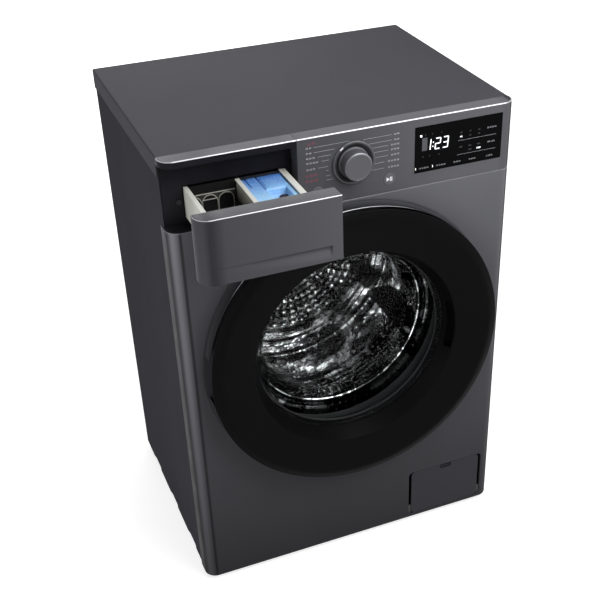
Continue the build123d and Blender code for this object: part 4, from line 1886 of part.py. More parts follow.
with BuildPart() as drum_lifters:
    lifter_front = (DRUM_FRONT_Y + DRUM_REAR_Y - LIFTER_LENGTH) / 2
    lifter_foot = (DRUM_INNER**2 - (LIFTER_WIDTH / 2) ** 2) ** 0.5 - SCREW_FIT
    lifter_crown = DRUM_INNER - LIFTER_HEIGHT
    for turn in range(LIFTER_COUNT):
        spoke_dir = Vector(0, 0, 1).rotate(Axis.Y, turn * 360 / LIFTER_COUNT)
        spoke = Plane((0, lifter_front, DOOR_Z), x_dir=spoke_dir, z_dir=(0, 1, 0))
        with BuildSketch(spoke) as lifter_section:
            with BuildLine():
                Polyline(
                    (lifter_foot, -LIFTER_WIDTH / 2),
                    (lifter_crown + LIFTER_TOP_WIDTH / 4, -LIFTER_TOP_WIDTH / 2),
                    (lifter_crown, 0),
                    (lifter_crown + LIFTER_TOP_WIDTH / 4, LIFTER_TOP_WIDTH / 2),
                    (lifter_foot, LIFTER_WIDTH / 2),
                    close=True,
                )
            make_face()
        extrude(lifter_section.sketch, amount=LIFTER_LENGTH)
drum_lifters.part.label = "drum_lifters"
export_step(drum_lifters.part, "parts/drum_lifters.step")


with BuildPart() as drum_spider:
    arm_back = DRUM_REAR_Y + SPIDER_THICKNESS
    with BuildSketch(facing_front(arm_back)) as spider_arms:
        with Locations((0, DOOR_Z)):
            Circle(SPIDER_HUB_RADIUS)
            with PolarLocations((DRUM_RADIUS - SPIDER_ARM_WIDTH / 2) / 2, 3, start_angle=30):
                Rectangle(DRUM_RADIUS - SPIDER_ARM_WIDTH / 2, SPIDER_ARM_WIDTH)
    extrude(amount=SPIDER_THICKNESS)
    # shaft through both bearings to the rotor
    rod(
        to_back(0, DRUM_REAR_Y + SPIDER_THICKNESS / 2, DOOR_Z),
        SHAFT_RADIUS,
        ROTOR_BACK + 3 * ROTOR_WALL - DRUM_REAR_Y - SPIDER_THICKNESS / 2,
    )
drum_spider.part.label = "drum_spider"
export_step(drum_spider.part, "parts/drum_spider.step")


with BuildPart() as rotor:
    rotor_front = TUB_REAR_Y + ROTOR_AIR_GAP
    turned(
        [
            (SHAFT_RADIUS + RUNNING_FIT, ROTOR_BACK - ROTOR_WALL),
            (ROTOR_RADIUS - ROTOR_WALL, ROTOR_BACK - ROTOR_WALL),
            (ROTOR_RADIUS - ROTOR_WALL, rotor_front),
            (ROTOR_RADIUS, rotor_front),
            (ROTOR_RADIUS, ROTOR_BACK),
            (SHAFT_RADIUS + RUNNING_FIT, ROTOR_BACK),
        ]
    )
    # ring of magnets inside the rim
    turned(
        [
            (STATOR_RADIUS + ROTOR_AIR_GAP, rotor_front),
            (ROTOR_RADIUS - ROTOR_WALL, rotor_front),
            (ROTOR_RADIUS - ROTOR_WALL, rotor_front + STATOR_THICKNESS),
            (STATOR_RADIUS + ROTOR_AIR_GAP, rotor_front + STATOR_THICKNESS),
        ]
    )
    # hub washer and nut on the shaft's end
    turned(
        [
            (SHAFT_RADIUS + RUNNING_FIT, ROTOR_BACK),
            (SHAFT_RADIUS * 2, ROTOR_BACK),
            (SHAFT_RADIUS * 2, ROTOR_BACK + ROTOR_WALL),
            (SHAFT_RADIUS + RUNNING_FIT, ROTOR_BACK + ROTOR_WALL),
        ]
    )
rotor.part.label = "rotor"
export_step(rotor.part, "parts/rotor.step")


# ================================================================ feet, nuts and small hardware
with BuildPart() as lock_nuts:
    with BuildSketch(Plane.XY.offset(FOOT_PAD)) as nut_faces:
        with GridLocations(FOOT_SPACING_X, FOOT_SPACING_Y, 2, 2):
            RegularPolygon(NUT_WIDTH / 2, 6, major_radius=False)
            Circle(FOOT_STUD_RADIUS + RUNNING_FIT, mode=Mode.SUBTRACT)
    extrude(amount=FLOOR_GAP - FOOT_PAD)
lock_nuts.part.label = "lock_nuts"
export_step(lock_nuts.part, "parts/lock_nuts.step")


for foot_x, foot_y, foot_label in (
    (-1, -1, "foot_front_left"),
    (1, -1, "foot_front_right"),
    (-1, 1, "foot_rear_left"),
    (1, 1, "foot_rear_right"),
):
    with BuildPart() as foot:
        turned_up(
            [
                (0, 0),
                (FOOT_RADIUS, 0),
                (FOOT_RADIUS, FOOT_PAD),
                (FOOT_STUD_RADIUS, FOOT_PAD),
                (FOOT_STUD_RADIUS, FOOT_PAD + FOOT_STUD_LENGTH),
                (0, FOOT_PAD + FOOT_STUD_LENGTH),
            ],
            foot_x * FOOT_SPACING_X / 2,
            foot_y * FOOT_SPACING_Y / 2,
        )
    foot.part.label = foot_label
    export_step(foot.part, f"parts/{foot_label}.step")


with BuildPart() as transit_caps:
    with BuildSketch(facing_front(REAR)) as cap_stems:
        with Locations((0, DOOR_Z)):
            with GridLocations(2 * TRANSIT_SPREAD, 2 * TRANSIT_SPREAD, 2, 2):
                Circle(TRANSIT_RADIUS)
    extrude(amount=-TRANSIT_LIP / 2)
    extrude(cap_stems.sketch, amount=2 * TRANSIT_LIP)
    with BuildSketch(facing_front(REAR + TRANSIT_LIP / 2)) as cap_heads:
        with Locations((0, DOOR_Z)):
            with GridLocations(2 * TRANSIT_SPREAD, 2 * TRANSIT_SPREAD, 2, 2):
                Circle(TRANSIT_RADIUS + TRANSIT_LIP)
    extrude(amount=TRANSIT_LIP / 2)
transit_caps.part.label = "transit_caps"
export_step(transit_caps.part, "parts/transit_caps.step")


with BuildPart() as panel_screws:
    # rear cover's screws
    with BuildSketch(facing_front(REAR + SHEET + SCREW_HEAD)) as screw_heads:
        with Locations((0, DOOR_Z)):
            with PolarLocations((REAR_PORT_RADIUS + COVER_RADIUS) / 2, COVER_SCREWS, start_angle=30):
                Circle(SCREW_HEAD_RADIUS)
    extrude(amount=SCREW_HEAD)
    with BuildSketch(facing_front(REAR + SHEET)) as screw_shanks:
        with Locations((0, DOOR_Z)):
            with PolarLocations((REAR_PORT_RADIUS + COVER_RADIUS) / 2, COVER_SCREWS, start_angle=30):
                Circle(SCREW_RADIUS)
    extrude(amount=SCREW_LENGTH)
    # the screw in the drawer's recess
    rod(to_back(SURROUND_SCREW_X, FASCIA_BACK - SCREW_HEAD, SURROUND_SCREW_Z), SCREW_HEAD_RADIUS, SCREW_HEAD)
    rod(to_back(SURROUND_SCREW_X, FASCIA_BACK, SURROUND_SCREW_Z), SCREW_RADIUS, SCREW_LENGTH)
panel_screws.part.label = "panel_screws"
export_step(panel_screws.part, "parts/panel_screws.step")
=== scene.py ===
import math

import bmesh
import bpy
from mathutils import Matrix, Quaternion, Vector


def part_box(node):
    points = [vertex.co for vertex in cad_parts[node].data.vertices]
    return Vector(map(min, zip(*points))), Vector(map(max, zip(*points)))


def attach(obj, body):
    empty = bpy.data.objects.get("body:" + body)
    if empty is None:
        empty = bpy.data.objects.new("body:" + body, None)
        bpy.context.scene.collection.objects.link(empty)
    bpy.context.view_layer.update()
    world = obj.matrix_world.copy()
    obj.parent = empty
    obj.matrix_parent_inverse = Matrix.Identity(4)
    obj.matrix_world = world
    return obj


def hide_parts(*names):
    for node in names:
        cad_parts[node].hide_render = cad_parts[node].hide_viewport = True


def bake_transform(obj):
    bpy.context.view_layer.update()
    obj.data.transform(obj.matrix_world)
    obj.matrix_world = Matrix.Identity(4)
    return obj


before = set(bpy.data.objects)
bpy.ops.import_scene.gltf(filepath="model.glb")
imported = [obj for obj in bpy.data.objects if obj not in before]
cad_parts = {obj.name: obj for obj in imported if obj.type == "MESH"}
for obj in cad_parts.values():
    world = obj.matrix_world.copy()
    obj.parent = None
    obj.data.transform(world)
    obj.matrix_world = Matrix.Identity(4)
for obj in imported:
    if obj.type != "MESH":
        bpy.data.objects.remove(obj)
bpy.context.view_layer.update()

# Lengths below are millimetres in the frame: +Z up, the front faces -Y, the floor is z 0.
MM = 0.001
SMOOTH_ANGLE = math.radians(32)
RING_STEPS = 192  # facets round the large circles
TIP_RADIUS = 0.001  # stands for a radius of 0


# ---------------------------------------------------------------- places taken from the frame
class Box:
    """A CAD node's box in millimetres."""

    def __init__(self, node):
        low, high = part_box(node)
        self.x0, self.y0, self.z0 = (value / MM for value in low)
        self.x1, self.y1, self.z1 = (value / MM for value in high)
        self.xm = (self.x0 + self.x1) / 2
        self.ym = (self.y0 + self.y1) / 2
        self.zm = (self.z0 + self.z1) / 2


PANEL = Box("front_panel")
FASCIA = Box("control_panel")
SURROUND = Box("drawer_surround")
TOP = Box("top_plate")
SIDE = Box("side_panel_left")
DRAWER = Box("drawer_front")
TRAY = Box("drawer_tray")
INSERT = Box("liquid_insert")
CAP = Box("softener_cap")
WINDOW = Box("display_window")
BEZEL = Box("dial_bezel")
KNOB = Box("dial_knob")
RING = Box("door_ring")
GLASS = Box("door_glass")
DRUM = Box("drum_shell")
COVER = Box("drain_cover")
LIFTERS = Box("drum_lifters")

FRONT = PANEL.y0
CORNER = 22.0  # upright front corners
SHEET = 1.2
DOOR_X = GLASS.xm
DOOR_Z = GLASS.zm


# ---------------------------------------------------------------- small geometry helpers
def soften(points, steps=5, closed=True):
    """Outline with each corner (a, b, radius) turned into an arc. Corners without a radius stay sharp."""
    out = []
    count = len(points)
    for index, point in enumerate(points):
        radius = point[2] if len(point) > 2 else 0.0
        here = Vector(point[:2])
        end_point = not closed and index in (0, count - 1)
        if radius <= 0 or end_point:
            out.append(tuple(here))
            continue
        before = (Vector(points[index - 1][:2]) - here).normalized()
        after = (Vector(points[(index + 1) % count][:2]) - here).normalized()
        half = before.angle(after) / 2
        reach = radius / math.tan(half)
        middle = here + (before + after).normalized() * radius / math.sin(half)
        start = here + before * reach - middle
        turn = start.angle_signed(here + after * reach - middle)
        for step in range(steps + 1):
            angle = -turn * step / steps
            cos, sin = math.cos(angle), math.sin(angle)
            spoke = Vector((start.x * cos - start.y * sin, start.x * sin + start.y * cos))
            out.append(tuple(middle + spoke))
    return out


def circle(x, z, radius, steps=RING_STEPS, start=0.0):
    """Points round a circle."""
    turn = 2 * math.pi / steps
    return [
        (x + radius * math.cos(start + turn * i), z + radius * math.sin(start + turn * i))
        for i in range(steps)
    ]


def rounded_rectangle(x0, z0, x1, z1, radius, steps=6):
    """Closed outline of a rectangle with round corners."""
    corners = [(x0, z0, radius), (x1, z0, radius), (x1, z1, radius), (x0, z1, radius)]
    return soften(corners, steps)


def skin(bm, loops, wrap_round=True, wrap_along=False):
    """Quads between loops of points. wrap_round closes each loop, wrap_along joins the last to the first."""
    rows = [[bm.verts.new(Vector(p) * MM) for p in loop] for loop in loops]
    pairs = list(zip(rows, rows[1:]))
    if wrap_along:
        pairs.append((rows[-1], rows[0]))
    for low, high in pairs:
        count = len(low)
        for i in range(count if wrap_round else count - 1):
            j = (i + 1) % count
            bm.faces.new((low[i], low[j], high[j], high[i]))
    return rows


def cap(bm, row):
    """One flat face over a loop."""
    return bm.faces.new(row)


def lathe(bm, profile, x=DOOR_X, z=DOOR_Z, steps=RING_STEPS, closed=True):
    """Turn an outline of (radius, y) round the line along Y through (x, z). A radius of 0 becomes a tip."""
    loops = []
    for radius, y in profile:
        loops.append([(px, y, pz) for px, pz in circle(x, z, max(radius, TIP_RADIUS), steps)])
    skin(bm, loops, wrap_along=closed)


def lathe_up(bm, profile, x, y, steps=48):
    """Turn an outline of (radius, z) round the upright line through (x, y)."""
    loops = []
    for radius, z in profile:
        loops.append([(px, py, z) for px, py in circle(x, y, max(radius, TIP_RADIUS), steps)])
    skin(bm, loops, wrap_along=True)


def fill(bm, outlines, place):
    """Flat face inside the first outline and outside the others. place turns (a, b) into (x, y, z)."""
    edges = []
    for outline in outlines:
        row = [bm.verts.new(Vector(place(a, b)) * MM) for a, b in outline]
        for i, vert in enumerate(row):
            edges.append(bm.edges.new((vert, row[(i + 1) % len(row)])))
    bmesh.ops.triangle_fill(bm, use_beauty=True, use_dissolve=False, edges=edges)


def plate(bm, outlines, front, back, place):
    """Flat plate of that outline with its holes. place turns (a, b, depth) into (x, y, z)."""
    for depth in (front, back):
        fill(bm, outlines, lambda a, b: place(a, b, depth))
    for outline in outlines:
        skin(bm, [[place(a, b, depth) for a, b in outline] for depth in (front, back)])


def facing_front(a, b, depth):
    """Place for outlines read from the front: (x, z) at depth y."""
    return (a, depth, b)


def box(bm, low, high):
    """Closed box between two corners."""
    loops = [
        [(low[0], low[1], z), (high[0], low[1], z), (high[0], high[1], z), (low[0], high[1], z)]
        for z in (low[2], high[2])
    ]
    rows = skin(bm, loops)
    cap(bm, rows[0])
    cap(bm, rows[1])


def tube(bm, points, radius, steps=8):
    """Round bar along points, each section square to the path, with closed ends."""
    path = [Vector(p) for p in points]
    rows = []
    side = None
    for i, here in enumerate(path):
        ahead = path[min(i + 1, len(path) - 1)] - path[max(i - 1, 0)]
        ahead.normalize()
        if side is None:
            side = ahead.orthogonal().normalized()
        side = (side - ahead * side.dot(ahead)).normalized()
        other = ahead.cross(side)
        turns = [2 * math.pi * k / steps for k in range(steps)]
        rows.append([tuple(here + side * radius * math.cos(a) + other * radius * math.sin(a)) for a in turns])
    made = skin(bm, rows)
    cap(bm, made[0])
    cap(bm, made[-1])


def smooth_step(value, low, high):
    """0 below low, 1 above high, and a soft S between."""
    share = min(max((value - low) / (high - low), 0.0), 1.0)
    return share * share * (3 - 2 * share)


def shade(obj):
    """Smooth shading that keeps real edges sharp."""
    mesh = obj.data
    mesh.polygons.foreach_set("use_smooth", [True] * len(mesh.polygons))
    mesh.set_sharp_from_angle(angle=SMOOTH_ANGLE)


def finish_piece(name, bm, material, body, replaces=(), bevel=0.0, thickness=0.0,
                 flat_weight=True, stretch=None):
    """Finishes a piece: merges seams, turns normals out, rounds edges, and rides it on its body.

    stretch, when given, is a second body and two points; the piece is then only baked in place and rides on
    no body, and the body and points are not used.
    """
    bmesh.ops.remove_doubles(bm, verts=bm.verts, dist=0.01 * MM)
    bmesh.ops.recalc_face_normals(bm, faces=bm.faces)
    mesh = bpy.data.meshes.new(name)
    bm.to_mesh(mesh)
    bm.free()
    obj = bpy.data.objects.new(name, mesh)
    bpy.context.scene.collection.objects.link(obj)
    mesh.materials.append(MATERIALS[material])
    if thickness:
        solid = obj.modifiers.new("wall", "SOLIDIFY")
        solid.thickness = thickness * MM
        solid.offset = -1
        solid.use_even_offset = False
    if bevel:
        rounding = obj.modifiers.new("edges", "BEVEL")
        rounding.width = bevel * MM
        rounding.segments = 3
        rounding.limit_method = "ANGLE"
        rounding.angle_limit = math.radians(40)
        rounding.use_clamp_overlap = True
        rounding.harden_normals = False
    shade(obj)
    if flat_weight:
        weight = obj.modifiers.new("flats", "WEIGHTED_NORMAL")
        weight.keep_sharp = True
    if stretch:
        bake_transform(obj)
    else:
        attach(obj, body)
    if replaces:
        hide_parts(*replaces)
    return obj


# ---------------------------------------------------------------- materials
def srgb(red, green, blue):
    """Linear colour from 0..255 display values."""
    out = []
    for value in (red, green, blue):
        share = value / 255
        out.append(share / 12.92 if share <= 0.04045 else ((share + 0.055) / 1.055) ** 2.4)
    return (*out, 1.0)


class Shader:
    """A node material with helpers. Texture lengths are millimetres on the object."""

    def __init__(self, name, colour, roughness=0.5, metallic=0.0, specular=0.5):
        self.material = bpy.data.materials.new(name)
        self.material.use_nodes = True
        self.nodes = self.material.node_tree.nodes
        self.links = self.material.node_tree.links
        self.bsdf = self.nodes["Principled BSDF"]
        self.bsdf.inputs["Base Color"].default_value = colour
        self.bsdf.inputs["Roughness"].default_value = roughness
        self.bsdf.inputs["Metallic"].default_value = metallic
        self.bsdf.inputs["Specular IOR Level"].default_value = specular
        self.material.diffuse_color = colour
        self.place = self.nodes.new("ShaderNodeTexCoord").outputs["Object"]
        self.height = None

    def set(self, **values):
        """Sets shader sockets, with _ for spaces in their names."""
        for name, value in values.items():
            self.bsdf.inputs[name.replace("_", " ")].default_value = value
        return self

    def stretched(self, x, y, z):
        """Object coordinates scaled along each axis."""
        mapping = self.nodes.new("ShaderNodeMapping")
        mapping.inputs["Scale"].default_value = (x, y, z)
        self.links.new(self.place, mapping.inputs["Vector"])
        return mapping.outputs["Vector"]

    def noise(self, size, detail=3.0, stretch=None):
        """Noise with patches of about that many millimetres."""
        texture = self.nodes.new("ShaderNodeTexNoise")
        texture.inputs["Scale"].default_value = 1 / (size * MM)
        texture.inputs["Detail"].default_value = detail
        self.links.new(self.stretched(*stretch) if stretch else self.place, texture.inputs["Vector"])
        return texture.outputs["Fac"]

    def feed(self, socket, value):
        """Gives a socket a fixed value, or links another socket to it."""
        if isinstance(value, bpy.types.NodeSocket):
            self.links.new(value, socket)
        else:
            socket.default_value = value

    def spread(self, value, low, high, to_low, to_high):
        """Maps a value from one range to another, held at both ends."""
        remap = self.nodes.new("ShaderNodeMapRange")
        sockets = ("Value", "From Min", "From Max", "To Min", "To Max")
        for name, given in zip(sockets, (value, low, high, to_low, to_high)):
            self.feed(remap.inputs[name], given)
        return remap.outputs["Result"]

    def over(self, axis, low, high, to_low, to_high):
        """Maps a place along one axis, in millimetres, to another range."""
        return self.spread(self.axis(axis), low * MM, high * MM, to_low, to_high)

    def mottled(self, pattern, low, high, most, first, second):
        """Runs from first to most of second where the pattern rises from low to high."""
        return self.tint(self.spread(pattern, low, high, 0, most), first, second)

    def math(self, operation, first, second):
        """Node arithmetic on sockets or numbers."""
        node = self.nodes.new("ShaderNodeMath")
        node.operation = operation
        for socket, value in zip(node.inputs, (first, second)):
            self.feed(socket, value)
        return node.outputs["Value"]

    def product(self, *factors):
        """All the factors multiplied together."""
        total = factors[0]
        for factor in factors[1:]:
            total = self.math("MULTIPLY", total, factor)
        return total

    def axis(self, name):
        """One object coordinate, in metres."""
        split = self.nodes.new("ShaderNodeSeparateXYZ")
        self.links.new(self.place, split.inputs["Vector"])
        return split.outputs[name]

    def tint(self, factor, first, second):
        """Colour that runs from first to second with factor. Each may be a socket."""
        mix = self.nodes.new("ShaderNodeMix")
        mix.data_type = "RGBA"
        for index, value in ((0, factor), (6, first), (7, second)):
            self.feed(mix.inputs[index], value)
        return mix.outputs[2]

    def shaded(self, colour, factor):
        """A colour socket made lighter or darker by a number socket."""
        scale = self.nodes.new("ShaderNodeVectorMath")
        scale.operation = "SCALE"
        self.links.new(colour, scale.inputs[0])
        self.links.new(factor, scale.inputs["Scale"])
        return scale.outputs["Vector"]

    def varied(self, pattern, low, high, colour, darker, lighter):
        """The colour, from darker to lighter where the pattern rises from low to high."""
        return self.mottled(pattern, low, high, 1, scaled(colour, darker), scaled(colour, lighter))

    def colour_from(self, socket):
        self.links.new(socket, self.bsdf.inputs["Base Color"])

    def roughness_from(self, factor, low, high):
        self.links.new(self.spread(factor, 0.3, 0.7, low, high), self.bsdf.inputs["Roughness"])

    def add_bump(self, height, depth):
        """Bump of that many millimetres over the height's 0..1 range."""
        bump = self.nodes.new("ShaderNodeBump")
        bump.inputs["Strength"].default_value = 1.0
        bump.inputs["Distance"].default_value = depth * MM
        self.links.new(height, bump.inputs["Height"])
        if self.height is not None:
            self.links.new(self.height, bump.inputs["Normal"])
        self.height = bump.outputs["Normal"]
        self.links.new(self.height, self.bsdf.inputs["Normal"])

    def finished(self, colour, gloss, *bumps):
        """The material, with gloss as (pattern, low, high) or None and bumps as (height, depth)."""
        self.colour_from(colour)
        if gloss:
            self.roughness_from(*gloss)
        for height, depth in bumps:
            self.add_bump(height, depth)
        return self.material


def scaled(colour, factor):
    """A lighter or darker version of a colour."""
    return (*[min(value * factor, 1.0) for value in colour[:3]], 1.0)


def painted_steel(name, colour, metallic=0.3, roughness=0.42, brushed=False, fleck=0.10, specular=0.3,
                  painted_light=None):
    """Coated sheet: metallic flecks, slow drift in colour, faint orange peel. painted_light makes a factor
    socket of painted light and shade.
    """
    paint = Shader(name, colour, roughness, metallic, specular)
    drift = paint.noise(180, 2)
    flecks = paint.noise(0.55, 2)
    base = paint.varied(drift, 0.35, 0.65, colour, 0.95, 1.05)
    sparkle = paint.varied(flecks, 0.35, 0.7, colour, 1 - fleck, 1 + fleck)
    both = paint.tint(0.5, base, sparkle)
    # painted light and shade: the factor from painted_light scales the paint's colour
    paint.colour_from(paint.shaded(both, painted_light(paint)) if painted_light else both)
    paint.roughness_from(paint.noise(35, 3), roughness - 0.04, roughness + 0.05)
    paint.add_bump(paint.noise(2.6, 2), 0.012)
    if brushed:
        paint.add_bump(paint.noise(0.7, 2, (1, 1, 0.012)), 0.006)
    return paint.material


# Painted light and shade across the front, each from one place to the next, in millimetres from the cabinet's
# left side.
LEFT, RIGHT = PANEL.x0, PANEL.x1
# painted highlight on the left corner bend, which rises over BEND_RISE and falls over BEND_FALL
CORNER_HIGHLIGHT = 1.9  # how much lighter the bend at the left corner is
BEND_START_TONE = 0.4
BEND_RISE = (1.5, 5.5)
BEND_FALL = (9.0, 16.0)
# painted dark reflection in a narrow band where the left corner bend meets the flat
DARK_REFLECTION_LEVEL = 0.4
DARK_REFLECTION_FALL = (15.5, 17.5)
DARK_REFLECTION_RISE = (19.5, 22.5)
# painted dark reflection on the bend at the right side
RIGHT_REFLECTION_BAND = (11.2, 8.8)  # from the right side
RIGHT_REFLECTION_LEVEL = 0.2
# the drawer's painted highlight on its corner bend, and the painted shadow beside it
DRAWER_BEND_FALL = (8.0, 16.0)
DRAWER_SHADOW = (22.0, 38.0)
DRAWER_SHADOW_TONE = 0.55


def from_left(paint, band, first, last):
    """A factor that runs from first to last over a band beside the left corner, for the painted highlight and
    painted dark reflection there.
    """
    return paint.over("X", LEFT + band[0], LEFT + band[1], first, last)


def painted_dark_reflection_right(paint):
    """Painted dark reflection: the bend at the right side of the front is painted nearly black."""
    return paint.over("X", RIGHT - RIGHT_REFLECTION_BAND[0], RIGHT - RIGHT_REFLECTION_BAND[1], 1.0, RIGHT_REFLECTION_LEVEL)


def panel_painted_light(paint):
    """Painted light and shade on the sheet: lighter upwards and to the right, a painted highlight on its left
    corner bend, and painted dark reflections beside that bend and on the right bend.
    """
    over_height = paint.over("Z", 0.0, 800.0, 0.42, 1.66)
    over_width = paint.over("X", LEFT, RIGHT, 0.92, 1.1)
    rise = from_left(paint, BEND_RISE, BEND_START_TONE, CORNER_HIGHLIGHT)
    fall = from_left(paint, BEND_FALL, 1.0, 1 / CORNER_HIGHLIGHT)
    dark_reflection = from_left(paint, DARK_REFLECTION_FALL, 1.0, DARK_REFLECTION_LEVEL)
    flat = from_left(paint, DARK_REFLECTION_RISE, 0.0, 1 - DARK_REFLECTION_LEVEL)
    bend = paint.product(rise, fall, paint.math("ADD", dark_reflection, flat), painted_dark_reflection_right(paint))
    return paint.product(over_height, over_width, bend)


def drawer_painted_light(paint):
    """Painted light and shade on the drawer: lighter to the right, a painted highlight on its left corner
    bend, and a painted shadow beside the bend.
    """
    over_width = paint.over("X", -280.0, -80.0, 1.0, 1.42)
    bend = from_left(paint, DRAWER_BEND_FALL, CORNER_HIGHLIGHT, 1.0)
    return paint.product(over_width, bend, from_left(paint, DRAWER_SHADOW, DRAWER_SHADOW_TONE, 1.0))


def fascia_painted_light(paint):
    """Painted light and shade on the fascia: lighter to the right, and painted shade beside its right corner,
    with the painted dark reflection on the right bend.
    """
    along = paint.over("X", -90.0, 200.0, 0.92, 1.35)
    shade_right = paint.over("X", 270.0, 290.0, 1.0, 0.75)
    return paint.product(along, paint.product(painted_dark_reflection_right(paint), shade_right))


def textured_coat(name, colour):
    """The top plate's finely grained coat."""
    coat = Shader(name, colour, 0.65, 0.0, 0.02)
    grain = coat.noise(0.9, 3)
    drift = coat.noise(150, 2)
    base = coat.varied(drift, 0.35, 0.65, colour, 0.97, 1.03)
    colour_map = coat.mottled(grain, 0.4, 0.62, 0.55, base, scaled(colour, 0.8))
    return coat.finished(colour_map, (grain, 0.6, 0.7), (grain, 0.06))


def gloss_plastic(name, colour, roughness=0.12, specular=0.5, marks=0.04):
    """Smooth moulded plastic with faint wipe marks in its gloss."""
    plastic = Shader(name, colour, roughness, 0.0, specular)
    drift = plastic.noise(60, 3)
    colour_map = plastic.varied(drift, 0.3, 0.7, colour, 0.94, 1.06)
    wiped = (plastic.noise(22, 4, (1, 1, 0.5)), roughness, roughness + marks)
    return plastic.finished(colour_map, wiped, (plastic.noise(30, 1), 0.03))


def matt_plastic(name, colour, roughness=0.5, grain=0.8, depth=0.03, specular=0.4, glow=0.0):
    """Moulded plastic with a spark-eroded grain."""
    plastic = Shader(name, colour, roughness, 0.0, specular)
    fine = plastic.noise(grain, 3)
    drift = plastic.noise(40, 3)
    plastic.colour_from(plastic.varied(drift, 0.3, 0.7, colour, 0.92, 1.07))
    plastic.roughness_from(fine, roughness - 0.06, roughness + 0.08)
    plastic.add_bump(fine, depth)
    if glow:
        plastic.set(Subsurface_Weight=glow, Subsurface_Scale=3 * MM)
    return plastic.material


def rubber(name, colour, roughness=0.62):
    """Moulded rubber with a bloom on its surface."""
    skin_coat = Shader(name, colour, roughness, 0.0, 0.35)
    bloom = skin_coat.noise(14, 4)
    colour_map = skin_coat.mottled(bloom, 0.4, 0.75, 1, colour, scaled(colour, 1.35))
    gloss = (bloom, roughness - 0.05, roughness + 0.1)
    return skin_coat.finished(colour_map, gloss, (skin_coat.noise(0.6, 3), 0.02))


def bare_metal(name, colour, roughness=0.3, bump=0.01, patches=12):
    """Bare metal with fine rolling marks."""
    metal = Shader(name, colour, roughness, 1.0)
    marks = metal.noise(0.8, 3)
    cloud = metal.noise(patches, 3)
    colour_map = metal.varied(cloud, 0.3, 0.7, colour, 0.86, 1.06)
    return metal.finished(colour_map, (cloud, roughness * 0.8, roughness * 1.3), (marks, bump))


def pressed_steel(name):
    """The drum's perforated steel, with painted reflections: bright and nearly black patches in its colour,
    side by side.
    """
    steel = Shader(name, (0.2, 0.2, 0.205, 1), 0.12, 1.0)
    folds = steel.noise(34, 3)
    specks = steel.noise(8, 2)
    # painted reflections: dark folds and bright specks in the metal's colour
    deep = steel.mottled(folds, 0.46, 0.6, 1, (0.06, 0.06, 0.062, 1), (0.4, 0.4, 0.405, 1))
    colour_map = steel.mottled(specks, 0.58, 0.64, 0.95, deep, (0.95, 0.95, 0.96, 1))
    return steel.finished(colour_map, (specks, 0.1, 0.24), (folds, 1.4), (specks, 0.4))


def polished_steel(name):
    """The drum's smooth bands and rings, with painted reflections: crisp bright streaks between nearly black
    ones in its colour.
    """
    steel = Shader(name, (0.5, 0.5, 0.505, 1), 0.06, 1.0)
    patches = steel.noise(46, 3)
    fine = steel.noise(7, 3)
    # painted reflections: dark patches, dark flecks and bright streaks in the metal's colour
    base = steel.mottled(patches, 0.5, 0.56, 1, (0.07, 0.07, 0.072, 1), (0.75, 0.75, 0.755, 1))
    flecked = steel.mottled(fine, 0.56, 0.6, 0.75, base, (0.05, 0.05, 0.05, 1))
    colour_map = steel.tint(steel.spread(fine, 0.36, 0.4, 0.9, 0), flecked, (0.97, 0.97, 0.98, 1))
    return steel.finished(colour_map, (patches, 0.08, 0.18), (patches, 1.6), (fine, 0.12))


def galvanised_steel(name):
    """Zinc-coated sheet with its crystal spangle."""
    zinc = Shader(name, srgb(150, 152, 156), 0.42, 0.85)
    cells = zinc.nodes.new("ShaderNodeTexVoronoi")
    cells.inputs["Scale"].default_value = 1 / (5 * MM)
    zinc.links.new(zinc.place, cells.inputs["Vector"])
    grey = zinc.nodes.new("ShaderNodeRGBToBW")
    zinc.links.new(cells.outputs["Color"], grey.inputs["Color"])
    colour_map = zinc.tint(grey.outputs["Val"], srgb(136, 138, 142), srgb(148, 150, 154))
    return zinc.finished(colour_map, (grey.outputs["Val"], 0.42, 0.48), (zinc.noise(1.2, 3), 0.01))


def cast_stone(name):
    """Concrete of the counterweights: sand grains and pores."""
    stone = Shader(name, srgb(120, 116, 108), 0.85, 0.0, 0.3)
    grains = stone.noise(1.6, 5)
    pores = stone.noise(6, 3)
    base = stone.mottled(grains, 0.3, 0.7, 1, srgb(98, 94, 88), srgb(140, 136, 128))
    colour_map = stone.mottled(pores, 0.62, 0.72, 0.6, base, srgb(70, 66, 62))
    return stone.finished(colour_map, None, (grains, 0.25), (pores, 0.3))


